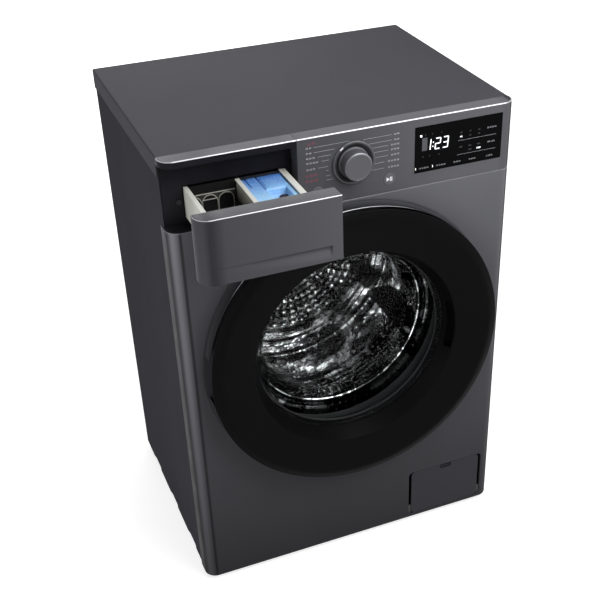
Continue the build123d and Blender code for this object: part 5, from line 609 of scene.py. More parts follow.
def clear_glass(name):
    """The door's bowl: thick, slightly grey glass with faint press waves, which lets the lamps through."""
    glass = Shader(name, (0.86, 0.88, 0.88, 1), 0.0, 0.0)
    glass.set(Transmission_Weight=1.0, IOR=1.1)
    waves = glass.noise(70, 1)
    glass.add_bump(waves, 0.5)
    clear_tint = glass.mottled(waves, 0.3, 0.7, 1, (0.84, 0.86, 0.86, 1), (0.9, 0.92, 0.92, 1))
    # painted shade: the glass is tinted dark grey towards its rim, from 163 to 170 mm out
    across = glass.math("POWER", glass.axis("X"), 2)
    upward = glass.math("POWER", glass.math("SUBTRACT", glass.axis("Z"), DOOR_Z * MM), 2)
    radius = glass.math("POWER", glass.math("ADD", across, upward), 0.5)
    rim = glass.spread(radius, 163.0 * MM, 170.0 * MM, 0, 1)
    glass.colour_from(glass.tint(rim, clear_tint, (0.3, 0.31, 0.31, 1)))
    clear = glass.nodes.new("ShaderNodeBsdfTransparent")
    clear.inputs["Color"].default_value = (0.8, 0.82, 0.82, 1)
    path = glass.nodes.new("ShaderNodeLightPath")
    either = glass.nodes.new("ShaderNodeMixShader")
    glass.links.new(path.outputs["Is Shadow Ray"], either.inputs[0])
    glass.links.new(glass.bsdf.outputs["BSDF"], either.inputs[1])
    glass.links.new(clear.outputs["BSDF"], either.inputs[2])
    glass.links.new(either.outputs["Shader"], glass.nodes["Material Output"].inputs["Surface"])
    return glass.material


# Where the tray changes its colour, each over a short way.
TRAY_LEFT_WALL = (TRAY.x0 + 6.4, TRAY.x0 + 6.8)
TRAY_DIVIDER = (TRAY.x0 + 85.6, TRAY.x0 + 86.0)
TRAY_RIGHT_WALL = (TRAY.x1 - 10.6, TRAY.x1 - 10.2)
TRAY_RIM = (TRAY.z1 - 1.2, TRAY.z1 - 0.8)
# painted shade in the left compartment: its floor darker towards the rear, its walls darker towards the floor
PAINTED_SHADE_DEPTH = (-300.0, -210.0)
PAINTED_SHADE_HEIGHT = (752.0, 785.0)
# painted shade: nearly black behind the housing's mouth, and behind the insert
HOUSING_MOUTH = (-203.0, -201.5)


def tray_plastic(name):
    """The tray: whitish rims, a left compartment with painted shade that darkens it towards its floor and
    rear, and painted nearly black at its rear under the housing.
    """
    tray = Shader(name, srgb(206, 206, 200), 0.4, 0.0, 0.4)
    fine = tray.noise(1.1, 3)
    drift = tray.noise(40, 3)
    pale = tray.mottled(drift, 0.3, 0.7, 1, srgb(198, 198, 190), srgb(212, 212, 206))
    floor = tray.tint(tray.over("Y", *PAINTED_SHADE_DEPTH, 0, 1), srgb(84, 82, 75), srgb(30, 30, 28))
    walls = tray.tint(tray.over("Z", *PAINTED_SHADE_HEIGHT, 0, 1), floor, srgb(168, 166, 157))
    left = tray.over("X", *TRAY_LEFT_WALL, 0, 1)
    inside = tray.product(left, tray.over("X", *TRAY_DIVIDER, 1, 0), tray.over("Z", *TRAY_RIM, 1, 0))
    rear = tray.over("Y", INSERT.y1 + 0.1, INSERT.y1 + 0.3, 0, 1)
    between = tray.product(left, tray.over("X", *TRAY_RIGHT_WALL, 1, 0))
    rear = tray.math("MAXIMUM", tray.product(rear, between), tray.over("Y", *HOUSING_MOUTH, 0, 1))
    painted_shade_inside = tray.tint(inside, pale, walls)
    return tray.finished(tray.tint(rear, painted_shade_inside, srgb(14, 14, 15)), (fine, 0.34, 0.48), (fine, 0.02))


def cap_plastic(name):
    """Translucent blue plastic, paler towards its front: partly its own colour, partly painted shade towards
    its rear under the recess.
    """
    blue = Shader(name, srgb(66, 136, 214), 0.3, 0.0, 0.5)
    fine = blue.noise(1.4, 3)
    # partly painted shade: darker towards the rear
    along = blue.over("Y", -300.0, -200.0, 0, 1)
    speckle = blue.spread(blue.noise(3.2, 4), 0.52, 0.66, 0, 0.35)
    base = blue.tint(along, srgb(168, 214, 244), srgb(44, 104, 196))
    blue.colour_from(blue.tint(speckle, base, srgb(176, 214, 244)))
    blue.roughness_from(fine, 0.22, 0.36)
    blue.add_bump(fine, 0.03)
    blue.set(Subsurface_Weight=0.25, Subsurface_Scale=3 * MM)
    return blue.material


def recess_coat(name):
    """The drawer's recess: dark inside, and finished like the fascia on its top strip."""
    coat = Shader(name, srgb(28, 27, 31), 0.4, 0.0, 0.03)
    drift = coat.noise(60, 3)
    grain = coat.noise(0.9, 3)
    inside = coat.mottled(drift, 0.3, 0.7, 1, srgb(26, 25, 29), srgb(31, 30, 34))
    strip = coat.tint(grain, srgb(70, 69, 74), srgb(78, 77, 82))
    colour_map = coat.tint(coat.over("Z", TOP.z1 - 1.2, TOP.z1 - 0.8, 0, 1), inside, strip)
    return coat.finished(colour_map, (drift, 0.36, 0.5), (grain, 0.01))


def screw_steel(name):
    """Screws: blackened at the front, zinc-plated at the back."""
    steel = Shader(name, srgb(60, 60, 62), 0.4, 0.6)
    cloud = steel.noise(3, 3)
    front = steel.tint(cloud, srgb(22, 22, 24), srgb(34, 34, 36))
    rear = steel.tint(cloud, srgb(150, 150, 152), srgb(178, 178, 180))
    return steel.finished(steel.tint(steel.over("Y", -100.0, 0.0, 0, 1), front, rear), None, (cloud, 0.01))


def bead_painted_highlight(name):
    """The thin bead on the door ring, with a painted highlight towards its upper left, dull elsewhere."""
    metal = Shader(name, srgb(120, 120, 124), 0.3, 0.8)
    high = metal.over("Z", DOOR_Z + 150, DOOR_Z + 250, 0, 1)
    left = metal.over("X", -50.0, 120.0, 1, 0)
    cloud = metal.noise(12, 3)
    bright = metal.tint(cloud, srgb(176, 176, 180), srgb(206, 206, 210))
    dull = metal.tint(cloud, srgb(22, 22, 24), srgb(30, 30, 32))
    return metal.finished(metal.tint(metal.math("MULTIPLY", high, left), dull, bright), None, (cloud, 0.01))


def ring_skirt_plastic(name):
    """The door ring's outer side, with a painted reflection of the panel: grey at the panel, fading to dark
    towards its front edge.
    """
    side = Shader(name, srgb(40, 40, 43), 0.35, 0.0, 0.2)
    drift = side.noise(50, 3)
    # painted reflection: grey where the side meets the panel, darkening towards the front edge
    painted_reflection_fade = side.over("Y", FRONT - 22, FRONT, 0, 1)
    painted_light = side.tint(painted_reflection_fade, srgb(20, 20, 22), srgb(70, 70, 74))
    return side.finished(side.mottled(drift, 0.3, 0.7, 0.12, painted_light, srgb(60, 60, 64)), None, (drift, 0.02))


def lit(name, colour, strength):
    """Display segments that light up, with a slightly uneven glow."""
    glow = Shader(name, colour, 0.4)
    uneven = glow.noise(2.0, 2)
    shade_of = glow.mottled(uneven, 0.3, 0.7, 1, scaled(colour, 0.94), colour)
    glow.colour_from(shade_of)
    glow.links.new(shade_of, glow.bsdf.inputs["Emission Color"])
    glow.set(Emission_Strength=strength)
    return glow.material


def printed(name, colour):
    """Screen-printed ink, slightly broken at its edge."""
    ink = Shader(name, colour, 0.5, 0.0, 0.3)
    grain = ink.noise(0.35, 2)
    return ink.finished(ink.mottled(grain, 0.35, 0.7, 1, scaled(colour, 0.85), colour), None, (grain, 0.004))


# Values of the materials, in the order that their makers take them.
# The last column, painted_light, gives the paint its painted light and shade.
PAINTED = (  # name, colour, metallic, roughness, brushed, fleck, specular, tone
    ("side_paint", srgb(66, 65, 70), 0.0, 0.6, False, 0.06, 0.0),
    ("front_paint", srgb(74, 74, 78), 0.1, 0.5, True, 0.10, 0.04, panel_painted_light),
    ("cover_paint", srgb(56, 56, 60), 0.1, 0.5, True, 0.10, 0.04),
    # painted highlight: a lighter copy of the paint for the strip along the seam
    ("edge_soft", srgb(128, 128, 132), 0.3, 0.35, False, 0.10, 0.3),
    ("trim_plastic", srgb(76, 76, 80), 0.1, 0.5, True, 0.07, 0.04, fascia_painted_light),
    ("drawer_paint", srgb(68, 68, 72), 0.1, 0.5, True, 0.07, 0.04, drawer_painted_light),
    ("dial_face", srgb(84, 84, 88), 0.25, 0.4, False, 0.08),
)
GLOSSY = (  # name, colour, roughness, specular, marks
    ("door_black", srgb(13, 13, 14), 0.28, 0.02, 0.05),
    ("display_black", srgb(6, 6, 7), 0.1, 0.03, 0.03),
    ("board_green", srgb(22, 74, 46), 0.3, 0.4),
)
MATT = (  # name, colour, roughness, grain, depth, specular, glow
    ("button_face", srgb(78, 78, 82), 0.4, 0.9, 0.01, 0.5),
    ("frame_black", srgb(16, 16, 17), 0.4, 1.0, 0.02, 0.06),
    ("dial_dark", srgb(62, 62, 66), 0.34, 0.9, 0.01, 0.5),
    ("rim_grey", srgb(150, 149, 142), 0.35, 0.9, 0.01),
    # painted shade: near black for the opening of the cap's mouth
    ("mouth_black", srgb(10, 12, 20), 0.4, 0.9, 0.01),
    ("insert_dark", srgb(52, 51, 48), 0.35, 0.9, 0.02),
    ("housing_grey", srgb(96, 97, 98)),
    ("grey_plastic", srgb(128, 129, 130)),
    ("pale_plastic", srgb(206, 207, 205), 0.45, 1.0, 0.02, 0.4, 0.1),
    ("dark_plastic", srgb(38, 38, 40)),
    ("tub_plastic", srgb(150, 152, 152), 0.55, 1.4, 0.05),
    # painted shade: a darker copy of the tub's plastic for the tub's front round its mouth
    ("tub_mouth", srgb(40, 41, 42), 0.55, 1.4, 0.05),
)
METAL = (  # name, colour, roughness, bump, patches
    # painted highlight: bright metal for the strips along the top front edges
    ("edge_bright", (0.33, 0.33, 0.34, 1), 0.35),
    ("dial_edge", srgb(112, 112, 117), 0.4),
    # painted dark reflection: the vanes' steel is made nearly black
    ("lifter_steel", (0.035, 0.035, 0.037, 1), 0.2, 0.01, 30),
    ("hook_steel", (0.1, 0.1, 0.1, 1), 0.4),
    ("bright_steel", (0.6, 0.6, 0.61, 1), 0.25),
    ("spider_alloy", (0.5, 0.5, 0.5, 1), 0.5, 0.05),
    ("heater_steel", (0.42, 0.40, 0.38, 1), 0.35),
)
RUBBER = (  # name, colour, roughness
    ("gasket_rubber", srgb(24, 24, 26), 0.6),
    ("hose_rubber", srgb(32, 32, 34)),
    ("foot_rubber", srgb(24, 24, 25), 0.7),
)
LIT = (  # name, colour, strength
    ("display_light", (0.95, 0.97, 1.0, 1), 1.1),
    ("display_grey", srgb(150, 150, 156), 0.25),
    ("display_dim", srgb(60, 60, 64), 0.12),
)
INK = (  # name, colour
    ("white_print", srgb(186, 186, 190)),
    ("red_print", srgb(138, 56, 76)),
    ("bright_print", srgb(238, 238, 240)),
)
MAKERS = (
    (painted_steel, PAINTED),
    (gloss_plastic, GLOSSY),
    (matt_plastic, MATT),
    (bare_metal, METAL),
    (rubber, RUBBER),
    (lit, LIT),
    (printed, INK),
    (textured_coat, (("top_coat", srgb(64, 63, 68)),)),
    (ring_skirt_plastic, (("ring_skirt",),)),
    (bead_painted_highlight, (("ring_bead",),)),
    (screw_steel, (("screw_steel",),)),
    (recess_coat, (("recess_plastic",),)),
    (clear_glass, (("clear_glass",),)),
    (tray_plastic, (("tray_white",),)),
    (cap_plastic, (("cap_blue",),)),
    (pressed_steel, (("drum_steel",),)),
    (polished_steel, (("polished_steel",),)),
    (galvanised_steel, (("galvanised",),)),
    (cast_stone, (("weight_stone",),)),
)
MATERIALS = {row[0]: maker(*row) for maker, rows in MAKERS for row in rows}

# What each carried-over CAD node is finished with.
NODE_FINISH = {
    "side_paint": ("side_panel_left", "side_panel_right"),
    "front_paint": ("front_panel",),
    "cover_paint": ("drain_cover",),
    "screw_steel": ("panel_screws",),
    "top_coat": ("top_plate",),
    "trim_plastic": ("control_panel", "drawer_front"),
    "recess_plastic": ("drawer_surround",),
    "door_black": ("door_ring",),
    "frame_black": ("door_inner_frame",),
    "display_black": ("display_window",),
    "dial_dark": ("dial_bezel", "power_button", "start_button"),
    "dial_face": ("dial_knob",),
    "board_green": ("display_board",),
    "clear_glass": ("door_glass",),
    "tray_white": ("drawer_tray",),
    "insert_dark": ("liquid_insert",),
    "cap_blue": ("softener_cap",),
    "housing_grey": ("dispenser_housing",),
    "grey_plastic": ("pump_body", "filter_cap", "drain_outlet", "damper_cylinders", "drum_lifters"),
    "pale_plastic": ("inlet_valve",),
    "dark_plastic": ("base_pan", "door_lock", "pump_impeller", "mains_gland", "damper_rods", "transit_caps"),
    "tub_plastic": ("tub_rear",),
    "tub_mouth": ("tub_front",),
    "gasket_rubber": ("door_gasket",),
    "hose_rubber": ("fill_hose", "drain_hose", "sump_hose", "dispenser_bellows"),
    "foot_rubber": ("foot_front_left", "foot_front_right", "foot_rear_left", "foot_rear_right"),
    "drum_steel": ("drum_shell",),
    "bright_steel": ("door_hinge_arm", "shaft_bearings", "tub_springs", "lock_nuts"),
    "hook_steel": ("latch_hook",),
    "spider_alloy": ("drum_spider",),
    "heater_steel": ("heater",),
    "galvanised": ("rear_panel", "rear_cover", "cross_brace", "hinge_bracket", "stator", "rotor"),
    "weight_stone": ("counterweights",),
}


def finish_cad_nodes():
    """Gives every CAD node its material and smooth shading that keeps its flats flat."""
    for finish, names in NODE_FINISH.items():
        for name in names:
            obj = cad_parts[name]
            obj.data.materials.clear()
            obj.data.materials.append(MATERIALS[finish])
            shade(obj)
            weight = obj.modifiers.new("flats", "WEIGHTED_NORMAL")
            weight.keep_sharp = True


# ---------------------------------------------------------------- stage
FLOOR_NEAR, FLOOR_FAR = 700.0, 2400.0
FLOOR_GLOW = 0.72
FLOOR_HALF = 60000.0
SKY_LEVEL = 0.15


def make_floor():
    """Pale floor that reads as white to the camera but keeps the object's shadow."""
    bm = bmesh.new()
    bmesh.ops.create_grid(bm, x_segments=6, y_segments=6, size=FLOOR_HALF * MM)
    mesh = bpy.data.meshes.new("floor")
    bm.to_mesh(mesh)
    bm.free()
    floor = bpy.data.objects.new("floor", mesh)
    bpy.context.scene.collection.objects.link(floor)
    pale = Shader("floor_pale", (0.5, 0.5, 0.5, 1), 0.9, 0.0, 0.0)
    glow = pale.nodes.new("ShaderNodeEmission")
    path = pale.nodes.new("ShaderNodeLightPath")
    seen = pale.math("MAXIMUM", path.outputs["Is Camera Ray"], path.outputs["Is Glossy Ray"])
    seen = pale.math("MAXIMUM", seen, path.outputs["Is Transmission Ray"])
    away = pale.math("MAXIMUM", *(pale.math("ABSOLUTE", pale.axis(name), 0.0) for name in "XY"))
    level = pale.spread(away, FLOOR_NEAR * MM, FLOOR_FAR * MM, FLOOR_GLOW, 1.0)
    pale.links.new(pale.math("MULTIPLY", seen, level), glow.inputs["Strength"])
    both = pale.nodes.new("ShaderNodeAddShader")
    out = pale.nodes["Material Output"]
    pale.links.new(pale.bsdf.outputs["BSDF"], both.inputs[0])
    pale.links.new(glow.outputs["Emission"], both.inputs[1])
    pale.links.new(both.outputs["Shader"], out.inputs["Surface"])
    mesh.materials.append(pale.material)


def make_world():
    """Even studio light, with a white backdrop for the camera, for gloss and through glass."""
    world = bpy.data.worlds.new("studio")
    bpy.context.scene.world = world
    world.use_nodes = True
    tree = world.node_tree
    sky = tree.nodes["Background"]
    sky.inputs["Color"].default_value = (1, 1, 1, 1)
    path = tree.nodes.new("ShaderNodeLightPath")
    total = path.outputs["Is Camera Ray"]
    for name in ("Is Glossy Ray", "Is Transmission Ray"):
        add = tree.nodes.new("ShaderNodeMath")
        add.operation = "MAXIMUM"
        tree.links.new(total, add.inputs[0])
        tree.links.new(path.outputs[name], add.inputs[1])
        total = add.outputs["Value"]
    strength = tree.nodes.new("ShaderNodeMapRange")
    strength.inputs["To Min"].default_value = SKY_LEVEL
    strength.inputs["To Max"].default_value = 1.0
    tree.links.new(total, strength.inputs["Value"])
    tree.links.new(strength.outputs["Result"], sky.inputs["Strength"])


def area_light(name, at, aim, size, level):
    """Soft box at a point, aimed at another. level is the share of white that it gives at its aim."""
    place, target = Vector(at) * MM, Vector(aim) * MM
    away = place - target
    lamp = bpy.data.lights.new(name, "AREA")
    lamp.shape = "RECTANGLE"
    lamp.size, lamp.size_y = size[0] * MM, size[1] * MM
    lamp.energy = level * math.pi**2 * away.length_squared
    obj = bpy.data.objects.new(name, lamp)
    bpy.context.scene.collection.objects.link(obj)
    obj.location = place
    obj.rotation_mode = "QUATERNION"
    obj.rotation_quaternion = away.to_track_quat("Z", "Y")


def make_lights():
    """A soft key from the upper right front, close enough to fall off down the front, and fills all round."""
    edge = (0, FRONT, TOP.z1)
    area_light("key", (500, FRONT - 700, TOP.z1 + 800), edge, (1300, 1300), 2.0)
    area_light("top", (-200, 900, 2600), (0, 200, TOP.z1), (1600, 1600), 0.22)
    area_light("fill_front", (-1900, -2300, 700), (0, FRONT, 400), (1600, 1600), 0.3)
    area_light("fill_left", (-2800, 100, 1000), (0, 0, 430), (1600, 1600), 0.28)
    area_light("fill_right", (2800, 200, 1000), (0, 0, 430), (1600, 1600), 0.35)
    area_light("fill_back", (300, 3200, 1500), (0, 0, 430), (2000, 1600), 0.6)


CAMERA_AZIMUTH = math.radians(-22.68)
CAMERA_ELEVATION = math.radians(33.58)
CAMERA_ROLL = math.radians(-1.0)
CAMERA_DISTANCE = 2199.9
CAMERA_AIM = (88.1, 0.0, 277.7)
CAMERA_LENS = 65.15
CAMERA_SHIFT = (-0.0792, 0.0855)


def make_camera():
    """Looks down on the front from its left."""
    lens = bpy.data.cameras.new("camera")
    lens.lens = CAMERA_LENS
    lens.sensor_width = 36
    lens.shift_x, lens.shift_y = CAMERA_SHIFT
    camera = bpy.data.objects.new("camera", lens)
    bpy.context.scene.collection.objects.link(camera)
    level = math.cos(CAMERA_ELEVATION)
    sideways, forwards = math.sin(CAMERA_AZIMUTH) * level, -math.cos(CAMERA_AZIMUTH) * level
    back = Vector((sideways, forwards, math.sin(CAMERA_ELEVATION)))
    camera.location = (Vector(CAMERA_AIM) + back * CAMERA_DISTANCE) * MM
    camera.rotation_mode = "QUATERNION"
    roll = Quaternion((0, 0, 1), CAMERA_ROLL)
    camera.rotation_quaternion = back.to_track_quat("Z", "Y") @ roll
    bpy.context.scene.camera = camera


# ---------------------------------------------------------------- cabinet sheet metal
EDGE_FOLD = 12.0  # how far the sheet's folded edges reach inwards
FOLD_RADIUS = 1.2


def corner_plan(inset, steps=10):
    """Plan of the front panel, moved inwards by inset: its face, round corners and side returns."""
    radius = CORNER - inset
    middle_x = PANEL.x1 - CORNER
    middle_y = FRONT + CORNER
    plan = [(-PANEL.x1 + inset, PANEL.y1), (-PANEL.x1 + inset, middle_y)]
    for side in (-1, 1):
        for step in range(steps + 1):
            turn = math.pi / 2 * step / steps
            if side < 0:
                plan.append((-middle_x - radius * math.cos(turn), middle_y - radius * math.sin(turn)))
            else:
                plan.append((middle_x + radius * math.sin(turn), middle_y - radius * math.cos(turn)))
    plan += [(PANEL.x1 - inset, middle_y), (PANEL.x1 - inset, PANEL.y1)]
    return plan


def fold_rows(low, high, deep=EDGE_FOLD, radius=FOLD_RADIUS, steps=4):
    """Heights and insets for a sheet whose lower and upper edges fold inwards: (lower rows, upper rows)."""
    arc = [
        (radius * (1 - math.sin(math.pi / 2 * i / steps)), radius * (1 - math.cos(math.pi / 2 * i / steps)))
        for i in range(steps + 1)
    ]
    lower = [(low, deep)] + [(low + a, b) for a, b in reversed(arc)]
    upper = [(high - a, b) for a, b in arc] + [(high, deep)]
    return lower, upper


DISH = (
    (269.6, 0.0),
    (268.0, 0.15),
    (265.5, 0.9),
    (262.0, 2.4),
    (256.0, 4.6),
    (248.0, 7.3),
    (243.5, 8.6),
    (240.0, 9.0),
    (200.0, 9.0),
)
PORT_RADIUS = 190.0
PORT_DEPTH = 21.0


def make_front_panel():
    """Front sheet: round corners, the dish round the door, its port and the opening for the drain cover."""
    bm = bmesh.new()
    lower, upper = fold_rows(PANEL.z0, PANEL.z1)
    for rows in (lower, upper):
        skin(bm, [[(x, y, z) for x, y in corner_plan(inset)] for z, inset in rows], wrap_round=False)
    plan = corner_plan(0)
    half = len(plan) // 2
    z_low, z_high = lower[-1][0], upper[0][0]
    for part in (plan[:half], plan[half:]):
        skin(bm, [[(x, y, z) for x, y in part] for z in (z_low, z_high)], wrap_round=False)
    flat_x = plan[half][0]
    flat = [(-flat_x, z_low), (flat_x, z_low), (flat_x, z_high), (-flat_x, z_high)]
    hole = rounded_rectangle(COVER.x0 - 0.6, COVER.z0 - 0.6, COVER.x1 + 0.6, COVER.z1 + 0.6, 8.6)
    dish = circle(DOOR_X, DOOR_Z, DISH[0][0])
    fill(bm, [flat, dish, hole], lambda a, b: (a, FRONT, b))
    port = [(r, FRONT + d) for r, d in DISH]
    port += [(PORT_RADIUS + 2, FRONT + 9.0), (PORT_RADIUS + 0.6, FRONT + 9.6), (PORT_RADIUS, FRONT + 11)]
    port.append((PORT_RADIUS, FRONT + PORT_DEPTH))
    lathe(bm, port, closed=False)
    skin(bm, [[(a, FRONT, b) for a, b in hole], [(a, FRONT + 5, b) for a, b in hole]])
    finish_piece("front_panel_sheet", bm, "front_paint", "cabinet", ["front_panel"],
                 thickness=SHEET)


STREAK_SHARES = (0.2, 0.5, 0.8)
STREAK_DEPTH = 1.6
STREAK_WIDTH = 46.0
STREAK_SLOPE = 14.0
STREAK_INNER = STREAK_WIDTH / 2 - STREAK_SLOPE / 2
STREAK_OUTER = STREAK_WIDTH / 2 + STREAK_SLOPE / 2


def side_plan(inset):
    """Plan of a side panel from front to back, with its streaks: (distance from the middle, y)."""
    length = SIDE.y1 - SIDE.y0
    stations = [SIDE.y0]
    for share in STREAK_SHARES:
        centre = SIDE.y0 + length * share
        for side in (-1, 1):
            for step in range(9):
                stations.append(centre + side * (STREAK_INNER + STREAK_SLOPE * step / 8))
    stations.append(SIDE.y1)
    plan = []
    for y in sorted(set(stations)):
        depth = 0.0
        for share in STREAK_SHARES:
            off = abs(y - (SIDE.y0 + length * share))
            depth += STREAK_DEPTH * (1 - smooth_step(off, STREAK_INNER, STREAK_OUTER))
        plan.append((-SIDE.x0 - depth - inset, y))
    return plan


def make_side_panel(name, node, side):
    """Side sheet with three upright streaks and folded edges."""
    bm = bmesh.new()
    lower, upper = fold_rows(SIDE.z0, SIDE.z1)
    rows = lower + upper
    skin(bm, [[(side * x, y, z) for x, y in side_plan(inset)] for z, inset in rows], wrap_round=False)
    finish_piece(name, bm, "side_paint", "cabinet", [node], thickness=SHEET)


# ---------------------------------------------------------------- detergent drawer
SCOOP_TOP = DRAWER.z0 + 25.4
SCOOP_HEIGHT = 21.5
SCOOP_DEPTH = 8.0
SCOOP_RIGHT = DRAWER.x1 - 16.0
SCOOP_LEFT = DRAWER.x0 + 24.0
SCOOP_CORNER = 12.0
DRAWER_CHAMFER = 1.6
DRAWER_FOOT = 0.8  # the chamfer along its lower edge
SEAT_GAP = 0.3  # between its folded edges and the recess that it closes into


def scoop_depth(x, z):
    """How far the finger scoop is pressed in at a point of the drawer's face."""
    if not SCOOP_LEFT < x < SCOOP_RIGHT + 0.01 or z > SCOOP_TOP:
        return 0.0
    share = (x - SCOOP_LEFT) / (SCOOP_RIGHT - SCOOP_LEFT)
    deep = 0.05 + 0.95 * smooth_step(share, 0.0, 0.92)
    height = SCOOP_HEIGHT * (0.55 + 0.45 * deep)
    low = SCOOP_TOP - height
    if z < low:
        return 0.0
    rise = (z - low) / height
    slope = rise * rise * (2 - rise) if rise < 1 else 1.0
    corner_x = SCOOP_RIGHT - SCOOP_CORNER
    corner_z = low + SCOOP_CORNER
    inside = SCOOP_RIGHT - x
    if x > corner_x and z < corner_z:
        inside = SCOOP_CORNER - math.hypot(x - corner_x, corner_z - z)
    wall = smooth_step(inside, 0.0, 3.2)
    return SCOOP_DEPTH * deep * slope * wall


def spaced(low, high, step):
    """Evenly spaced stations from low to high, both included."""
    count = max(1, round((high - low) / step))
    return [low + (high - low) * i / count for i in range(count + 1)]


def drawer_columns():
    """Places across the drawer's face from its left side to its right: (x, y, whether it is on the flat)."""
    x0, x1, face, back = DRAWER.x0, DRAWER.x1, DRAWER.y0, DRAWER.y1 - 1
    columns = [(x0, back, False), (x0, face + CORNER, False)]
    for step in range(1, 13):
        turn = math.pi / 2 * step / 12
        columns.append((x0 + CORNER * (1 - math.cos(turn)), face + CORNER * (1 - math.sin(turn)), False))
    flat = spaced(x0 + CORNER + 4, SCOOP_RIGHT - 14, 5) + spaced(SCOOP_RIGHT - 13, SCOOP_RIGHT + 1, 0.7)
    columns += [(x, face, True) for x in flat + [SCOOP_RIGHT + 6, x1 - 1.0]]
    return columns + [(x1 - 0.3, face + 0.3, False), (x1, face + 1.0, False), (x1, back, False)]


def drawer_row(z, inset):
    """Points across the drawer's face at one height, moved inwards by inset."""
    low_x, high_x = DRAWER.x0 + inset, DRAWER.x1 - inset
    corner_x, corner_y = DRAWER.x0 + CORNER, DRAWER.y0 + CORNER
    row = []
    for x, y, flat in drawer_columns():
        px, py = x, y + (scoop_depth(x, z) if flat else 0.0)
        if inset and x < corner_x and y < corner_y:
            reach = (CORNER - inset) / CORNER
            px, py = corner_x + (x - corner_x) * reach, corner_y + (y - corner_y) * reach
        elif inset:
            px, py = min(max(px, low_x), high_x), max(py, DRAWER.y0 + inset)
        row.append((px, py, z))
    return row


def make_drawer_front():
    """The drawer's face: round left corner, chamfered top edge and a finger scoop that fades to the left."""
    bm = bmesh.new()
    heights = [DRAWER.z0 + DRAWER_FOOT] + spaced(DRAWER.z0 + 3, SCOOP_TOP - 3, 1.1)
    heights += spaced(SCOOP_TOP - 2.4, SCOOP_TOP - 0.2, 0.5) + [SCOOP_TOP + 0.15, SCOOP_TOP + 1.2]
    heights += [SCOOP_TOP + 12, DRAWER.z1 - DRAWER_CHAMFER]
    rows = [drawer_row(DRAWER.z0, DRAWER_FOOT)] + [drawer_row(z, 0) for z in heights]
    rows.append(drawer_row(DRAWER.z1 - 0.5, DRAWER_CHAMFER * 0.75))
    rows.append(drawer_row(DRAWER.z1, DRAWER_CHAMFER * 1.3))
    made = skin(bm, rows, wrap_round=False)
    for row in (made[0], made[-1]):
        last = [bm.verts.new((v.co.x, (DRAWER.y1 - SEAT_GAP) * MM, row[0].co.z)) for v in row]
        for i in range(len(row) - 1):
            bm.faces.new((row[i], row[i + 1], last[i + 1], last[i]))
    finish_piece("drawer_face", bm, "drawer_paint", "drawer", ["drawer_front"], thickness=1.8)


RECESS_SCREW_X, RECESS_SCREW_Z = -271.0, 772.0


def make_drawer_back():
    """Inner panel that closes the face from behind and carries the tray."""
    bm = bmesh.new()
    x0, x1 = DRAWER.x0 + 2.0, DRAWER.x1 - 2.0
    z0, z1 = DRAWER.z0 + 2.0, DRAWER.z1 - 2.0
    outline = rounded_rectangle(x0, z0, x1, z1, 3)
    screw_hole = circle(RECESS_SCREW_X, RECESS_SCREW_Z, 6.0, 32)
    plate(bm, [outline, screw_hole], DRAWER.y1 - 3.0, DRAWER.y1 - 0.4, facing_front)
    finish_piece("drawer_back_plate", bm, "trim_plastic", "drawer", bevel=0.3)


# ---------------------------------------------------------------- painted edge highlights and the ring's skirt with its painted reflection
EDGE_CUT = 1.4  # the chamfer along the panel's top edge
STRIP_LIFT = 0.06
STRIP_SINK = 0.25


def bent_plan(x0, x1, y_end, face, radius, left, right):
    """Points and outward directions along a front edge, with its left or right corner bend where asked."""
    plan = []
    turns = [math.pi / 2 * i / 12 for i in range(13)]
    if left:
        plan.append(((x0, y_end), (-1.0, 0.0)))
        for turn in turns:
            out = (-math.cos(turn), -math.sin(turn))
            plan.append(((x0 + radius + radius * out[0], face + radius + radius * out[1]), out))
    else:
        plan.append(((x0, face), (0.0, -1.0)))
    if right:
        for turn in turns:
            out = (math.sin(turn), -math.cos(turn))
            plan.append(((x1 - radius + radius * out[0], face + radius + radius * out[1]), out))
        plan.append(((x1, y_end), (1.0, 0.0)))
    else:
        plan.append(((x1, face), (0.0, -1.0)))
    return plan


def make_edge_strip(name, plan, section, material, body):
    """Thin strip of painted highlight along an edge. section is (inset, height) pairs from its lower to its
    upper edge.
    """
    bm = bmesh.new()
    loops = []
    for offset, rows in ((STRIP_LIFT, section), (-STRIP_SINK, list(reversed(section)))):
        for inset, z in rows:
            shift = inset - offset * math.sqrt(0.5)
            height = min(z + offset * math.sqrt(0.5), TOP.z1)
            loops.append([(min(max(px - nx * shift, PANEL.x0), PANEL.x1), py - ny * shift, height)
                          for (px, py), (nx, ny) in plan])
    rows = skin(bm, loops, wrap_round=False, wrap_along=True)
    for end in (0, -1):
        bm.faces.new([row[end] for row in rows])
    finish_piece(name, bm, material, body, flat_weight=False)


